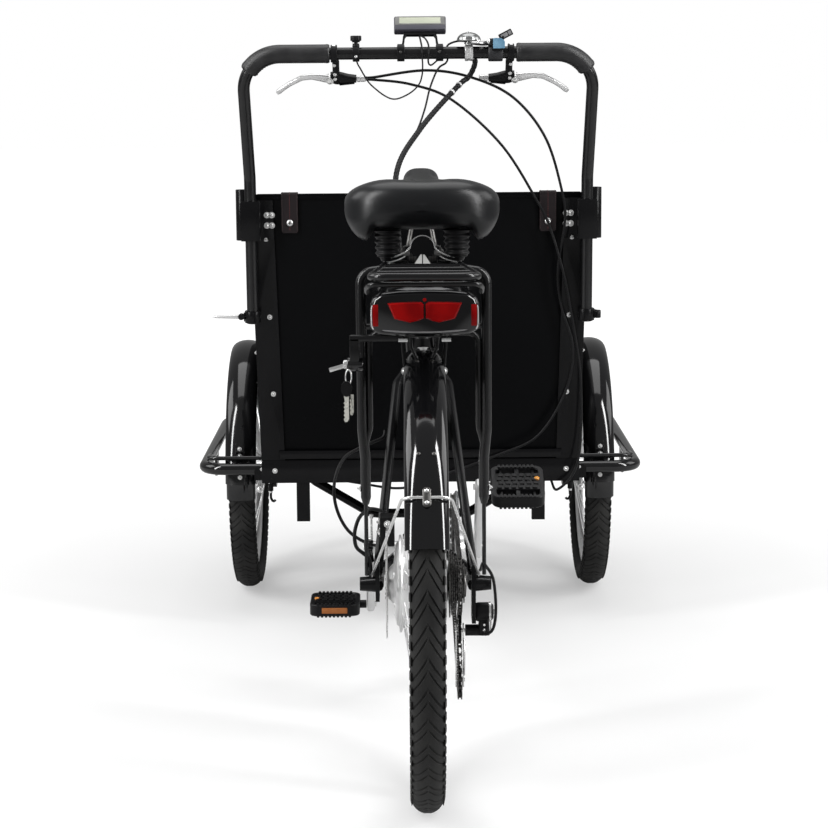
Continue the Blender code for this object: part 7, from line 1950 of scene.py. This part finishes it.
for side, word in SIDES:
    half = 0.00125
    low, end = BOX_TOP - 0.073, BOX_TOP - 0.05
    over = BOX_TOP + GAP + half
    inner = box_rear(BOX_TOP) + 0.0156 + half
    x = side * 0.2415
    corners = [
        (x, box_rear(low) - half, low), (x, box_rear(BOX_TOP) - half, over), (x, inner, over),
        (x, inner + BOX_LEAN * 0.05 / 0.51, end)
    ]
    count = 80
    path, _ = evenly(rounded(corners, 0.0022, 6), count, False)
    outline = []
    for u in (-1 + 2 * k / 24 for k in range(25)):
        outline.append((u * 0.0156, 0.0012 * (1 - abs(u) ** 8) - 0.0004 * hump(abs(u) - 0.86, 0.04)))
    outline += [((1 - 2 * k / 8) * 0.0153, -0.00115) for k in range(9)]
    ends = [
        min(quarter(share / 0.05, 2.0), quarter((1 - share) / 0.05, 2.0))
        for share in (k / (count - 1) for k in range(count))
    ]
    shape = sweep(path, outline, side=(1, 0, 0), sizes=[(0.8 + 0.2 * end, 1.0) for end in ends])
    made(f"strap_{word}_leather", shape, "leather", "front", f"strap_{word}", 50)
    threads = []
    middle_thread = []
    for k in range(3, 76, 2):
        a, b = path[k], path[k + 1]
        out = vec(1, 0, 0).cross((b - a).normalized())
        for offset, kept in ((-0.0136, threads), (0.0136, threads), (0.0, middle_thread)):
            p0, p1 = a + vec(offset, 0, 0), b + vec(offset, 0, 0)
            kept.append(tube([p0 + out * 0.0009, p0.lerp(p1, 0.5) + out * 0.0015, p1 + out * 0.0009], 0.00038, 6))
    made(f"strap_{word}_thread", threads, "thread", "front", angle=50)
    made(f"strap_{word}_middle_thread", middle_thread, "red_thread", "front", angle=50)
    z = 0.8
    y = box_rear(z) - 0.0025
    head = turned(
        [(0, 0), (0, 0.0062), (-0.0012, 0.006), (-0.0026, 0.0045), (-0.003, 0.002), (-0.0026, 0.0)], (x, y, z), "Y",
        28
    )
    # Two thin dark bars across the screw's head paint the shade in its cross slot.
    cross = [
        block((x - u, y - 0.0033, z - v), (x + u, y - 0.0027, z + v))
        for u, v in ((0.0035, 0.0006), (0.0006, 0.0035))
    ]
    made(f"strap_{word}_screw", head, "steel", "front")
    made(f"strap_{word}_screw_slot_shade", cross, "rubber", "front")

# Hanging bracket and hook under each rear corner of the box
for side, word in SIDES:
    rim = [(0.0098 * cos(t), -0.0098 * sin(t) - 0.018) for t in (pi * k / 14 for k in range(15))]
    rim += [(-0.0098, 0.0), (0.0098, 0.0)]
    ear = sweep([(side * 0.315, 0.318, 0.29), (side * 0.315, 0.322, 0.29)], rim, side=(1, 0, 0))
    hook = bent_tube(
        [
            (side * 0.292, 0.3, 0.289), (side * 0.292, 0.3, 0.258), (side * 0.2865, 0.3, 0.248),
            (side * 0.2835, 0.3, 0.2545)
        ],
        0.003, 4, 0.0024, 10
    )
    made(
        f"corner_ear_{word}", [ear, hook, rod((side * 0.292, 0.3, 0.286), (side * 0.292, 0.3, 0.2725), 0.0052, 14)],
        "black_paint", "front"
    )
    made(
        f"corner_ear_bolt_{word}",
        [
            bolt((side * 0.315, 0.318, 0.272), (0, -1, 0), 0.0046, 0.003),
            rod((side * 0.292, 0.3, 0.272), (side * 0.292, 0.3, 0.2685), 0.0034, 14)
        ],
        "steel", "front"
    )

# Bolts on the rear face of the box
bolts = []
socket_shade = []
for side in (-1, 1):
    spots = [(x, -0.0025, z, 0.004, 0.0036, -0.005, 0.0014) for x in (0.284, 0.275) for z in (0.815, 0.7955)]
    spots += [(0.2755 + 0.0135 * up_box(z), 0, z, 0.0033, 0.0032, -0.0046, 0.0013) for z in (0.77, 0.622, 0.474)]
    for x, out, z, radius, height, reach, socket in spots:
        bolts.append(bolt((side * x, box_rear(z) + out, z), (0, -1, -0.06), radius, height))
        # A dark disc in each bolt's head paints the shade inside its hex socket.
        socket_shade.append(
            rod((side * x, box_rear(z) + reach, z), (side * x, box_rear(z) + reach - 0.0014, z - 0.0001), socket, 6)
        )
    bolts.append(bolt((side * 0.279, box_rear(BOX_LOW), 0.324), (0, -1, 0), 0.0034, 0.0032))
    for y in (0.26, 0.42, 0.64, 0.86, 1.02):
        bolts.append(bolt((side * 0.3045, y, 0.322), (side, 0, 0), 0.004, 0.003))
    for z in (0.4, 0.55, 0.7, 0.8):
        bolts.append(
            bolt((side * (0.3045 + 0.0135 * up_box(z)), box_rear(z) + 0.03, z), (side, 0, 0), 0.004, 0.003)
        )
made("box_bolts", bolts, "steel", "front")
made("box_bolt_socket_shade", socket_shade, "rubber", "front")
sill = block((-0.27, box_rear(0.355) - 0.003, 0.347), (0.27, box_rear(0.355) + 0.0002, 0.363), 0.0012)
made("box_sill", sill, "black_paint", "front")


# Cables
def route(points):
    """Points whose second value is the distance ahead of the rear axle."""
    return [vec(x, REAR_Y + ahead, z) for x, ahead, z in points]


LEFT_HUB = [
    (0.014, 0.89, 1.08), (0.096, 0.89, 1.067), (0.173, 0.892, 1.03), (0.232, 0.9, 0.957), (0.265, 0.935, 0.858),
    (0.272, 0.952, 0.801), (0.26, 0.965, 0.71), (0.267, 0.97, 0.64), (0.289, 0.97, 0.562), (0.276, 0.978, 0.477),
    (0.224, 0.984, 0.391), (0.148, 0.986, 0.354), (0.06, 0.986, 0.322), (-0.03, 1.0, 0.289), (-0.12, 1.08, 0.284),
    (-0.225, 1.19, 0.284), (-0.264, 1.29, 0.278), (-0.27, 1.39, 0.266), (-0.286, 1.44, 0.258), (-0.298, 1.44, 0.258)
]
RIGHT_HUB = [
    (-0.013, 0.9, 1.055), (0.062, 0.9, 1.026), (0.152, 0.903, 0.944), (0.217, 0.935, 0.843), (0.244, 0.955, 0.79),
    (0.268, 0.955, 0.71), (0.283, 0.962, 0.64), (0.297, 0.972, 0.559), (0.305, 0.978, 0.489), (0.305, 0.984, 0.377),
    (0.292, 0.984, 0.318), (0.262, 0.996, 0.284), (0.258, 1.1, 0.28), (0.264, 1.3, 0.276), (0.27, 1.4, 0.266),
    (0.286, 1.44, 0.26), (0.298, 1.44, 0.26)
]
BUNDLE = [
    (0.092, 0.88, 1.068), (0.07, 0.86, 1.05), (0.001, 0.75, 0.976), (-0.04, 0.62, 0.905), (-0.036, 0.555, 0.79),
    (-0.016, 0.52, 0.65), (-0.002, 0.503, 0.56), (0.0, 0.5, 0.5045)
]
REAR_BRAKE = [
    (-0.06, 0.224, 0.525), (-0.0625, 0.214, 0.516), (-0.088, 0.172, 0.511), (-0.12, 0.125, 0.5),
    (-0.135, 0.1, 0.468), (-0.133, 0.094, 0.43), (-0.116, 0.092, 0.395), (-0.088, 0.088, 0.376),
    (-0.062, 0.079, 0.374), (-0.05, 0.065, 0.391), (-0.05, 0.053, 0.41), (-0.05, 0.0424, 0.41)
]
SHIFT = [
    (0.083, 0.085, 0.333), (0.0835, 0.07, 0.3375), (0.085, 0.025, 0.357), (0.088, -0.015, 0.362),
    (0.0985, -0.024, 0.344), (0.1022, -0.026, 0.3), (0.098, -0.026, 0.27), (0.0875, -0.015, 0.259),
    (0.0875, -0.0014, 0.259)
]


for word, lift, points in (("left", 0.0035, LEFT_HUB), ("right", -0.0035, RIGHT_HUB)):
    start = bar_spot(BRAKE_X[-1] + 0.04 + 0.017 + GAP, BRAKE_PIVOT, lift)
    path = smooth([start, start + vec(0.012, 0, 0), *route(points)], 0.008)
    o = made(f"brake_cable_{word}_hose", tube(path, 0.0025, 12), "rubber", None, f"brake_cable_{word}", 50)
    high = [p for p in path if p.z > 0.86]
    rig.blend(o, "bar", "front", high[4], high[-1])
start = vec(0.1026, BAR_Y, BAR_Z - BAR_R - GAP)
path = smooth([start, start - vec(0, 0, 0.01), *route(BUNDLE)], 0.004)
STEP, WRAP = 0.0012, 0.009
path, _ = evenly(path, round(total_length(path) / STEP), False)
sizes = [0.88 + 0.12 * abs(sin(pi * k * STEP / WRAP)) for k in range(len(path))]
cut_at = next(k for k, p in enumerate(path) if p.z < 0.905)
upper = path[: cut_at + 1]
o = made(
    "cable_bundle_upper", tube(upper, 0.005, 16, sizes=sizes[: cut_at + 1]), "rubber", None, "cable_bundle", 60
)
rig.blend(o, "bar", "front", upper[8], upper[len(upper) // 2])
o = made("cable_bundle_lower", tube(path[cut_at:], 0.005, 16, sizes=sizes[cut_at:]), "rubber", None, angle=60)
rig.blend(o, "front", "frame", path[cut_at + 2], path[-6])
# Two pale bands round the bundle paint glints between its dark turns.
glint_bands = []
for height in (1.0535, 1.0405):
    k = next(k for k, p in enumerate(path) if p.z < height)
    glint_bands.append(tube(path[k - 1 : k + 3], 0.006, 16))
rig.blend(made("bundle_painted_glints", glint_bands, "aluminium", None), "bar", "front", upper[8], upper[len(upper) // 2])
made(
    "rear_brake_hose", curved_tube(route(REAR_BRAKE), 0.006, 0.0025, 12), "rubber", "frame", "rear_brake_cable", 50
)
MOTOR = [
    (-0.064, 0.052, 0.432), (-0.078, 0.034, 0.4385), (-0.0861, 0.022, 0.438), (-0.097, 0.012, 0.429),
    (-0.1035, 0.005, 0.4085), (-0.1015, 0.003, 0.3885), (-0.0916, 0.001, 0.379), (-0.0835, 0.0, 0.372),
    (-0.0805, 0.0, 0.361), (-0.0805, 0.0, 0.343)
]
made("motor_cable", curved_tube(route(MOTOR), 0.005, 0.0028, 12), "rubber", "frame", angle=50)
plug = vec(-0.0835, REAR_Y + 0.03, 0.385)
made(
    "motor_plug",
    [
        turned(
            [(-0.007, 0), (-0.007, 0.007), (-0.0055, 0.0085), (0.0045, 0.0085), (0.0065, 0.0062), (0.0065, 0)],
            plug, "X", 24
        ),
        rod(plug, plug + vec(0.004, 0.004, -0.026), 0.0042, 14)
    ],
    "gloss_black", "frame"
)
made(
    "motor_adjuster",
    tube(
        [plug + vec(0.0042, 0, z) for z in (0.004, 0.006, 0.0062, 0.04, 0.0402, 0.046)], 0.0022, 12,
        sizes=[1.5, 1.5, 0.8, 0.8, 1.4, 1.4]
    ),
    "steel", "frame"
)
made("shift_cable_hose", curved_tube(route(SHIFT), 0.005, 0.00225, 12), "rubber", "frame", "shift_cable", 50)

for node in ("box_shell", "box_wall_rear", "box_floor", "corner_post_left", "corner_post_right"):
    polish(node, 0.0008)
polish("front_chassis", 0.001)
polish("rear_frame", 0.0006)

# Floor and light
white = bpy.data.materials.new("backdrop")
tree, shader = nodes_of(white)
shader.inputs["Base Color"].default_value = (0.45, 0.45, 0.45, 1)
shader.inputs["Roughness"].default_value = 0.75
shader.inputs["Specular IOR Level"].default_value = 0.0

# The camera sees the floor bright enough to be white, apart from the object's shadow.
distance = tree.nodes.new("ShaderNodeVectorMath")
distance.operation = "LENGTH"
tree.links.new(tree.nodes.new("ShaderNodeTexCoord").outputs["Object"], distance.inputs[0])
seen = tree.nodes.new("ShaderNodeLightPath").outputs["Is Camera Ray"]
glow = tree.nodes.new("ShaderNodeEmission")
tree.links.new(
    product(tree, seen, ramp(tree, distance.outputs["Value"], 0.6, 4.2, 0.37, 0.92)), glow.inputs["Strength"]
)
both = tree.nodes.new("ShaderNodeAddShader")
tree.links.new(shader.outputs[0], both.inputs[0])
tree.links.new(glow.outputs[0], both.inputs[1])
tree.links.new(both.outputs[0], next(n for n in tree.nodes if n.type == "OUTPUT_MATERIAL").inputs[0])
floor_mesh = bpy.data.meshes.new("floor")
floor_mesh.from_pydata([(-30, -30, 0), (30, -30, 0), (30, 30, 0), (-30, 30, 0)], [], [(0, 1, 2, 3)])
floor_mesh.materials.append(white)
floor = bpy.data.objects.new("floor", floor_mesh)
floor.location.z = -0.0006
bpy.context.scene.collection.objects.link(floor)
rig.stage(floor)

# A dim white room that the camera sees as pure white
world = bpy.data.worlds.new("world")
bpy.context.scene.world = world
world.use_nodes = True
tree = world.node_tree
tree.nodes.clear()
mix = tree.nodes.new("ShaderNodeMixShader")
tree.links.new(tree.nodes.new("ShaderNodeLightPath").outputs["Is Camera Ray"], mix.inputs[0])
for k, strength in ((1, 0.28), (2, 1.0)):
    light = tree.nodes.new("ShaderNodeBackground")
    light.inputs["Strength"].default_value = strength
    light.inputs["Color"].default_value = (1, 1, 1, 1)
    tree.links.new(light.outputs[0], mix.inputs[k])
tree.links.new(mix.outputs[0], tree.nodes.new("ShaderNodeOutputWorld").inputs[0])


def lamp(name, place, aim, size, power):
    """A rectangular lamp that points at aim."""
    data = bpy.data.lights.new(name, "AREA")
    data.shape = "RECTANGLE"
    data.size, data.size_y = size
    data.energy = power
    o = bpy.data.objects.new(name, data)
    o.location = place
    o.rotation_euler = (Vector(aim) - Vector(place)).to_track_quat("-Z", "Y").to_euler()
    bpy.context.scene.collection.objects.link(o)


lamp("key_light", (-3.8, 0.5, 3.2), (0, 0, 0.5), (2.4, 2.4), 60)
lamp("fill_light", (4.0, 0.5, 2.8), (0, 0, 0.5), (2.4, 2.4), 50)
lamp("top_light", (0, 0.9, 4.2), (0, 0, 0), (3.0, 3.0), 60)
lamp("left_strip", (-3.0, -2.0, 2.8), (0, 0, 0.9), (0.5, 4.6), 170)
lamp("right_strip", (3.0, -1.8, 2.8), (0, 0, 0.9), (0.5, 4.6), 170)

end_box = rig.bounds()
with open("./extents.json", "w") as f:
    json.dump({"cad": [list(CAD_BOX[0]), list(CAD_BOX[1])], "visual": [list(end_box[0]), list(end_box[1])]}, f)
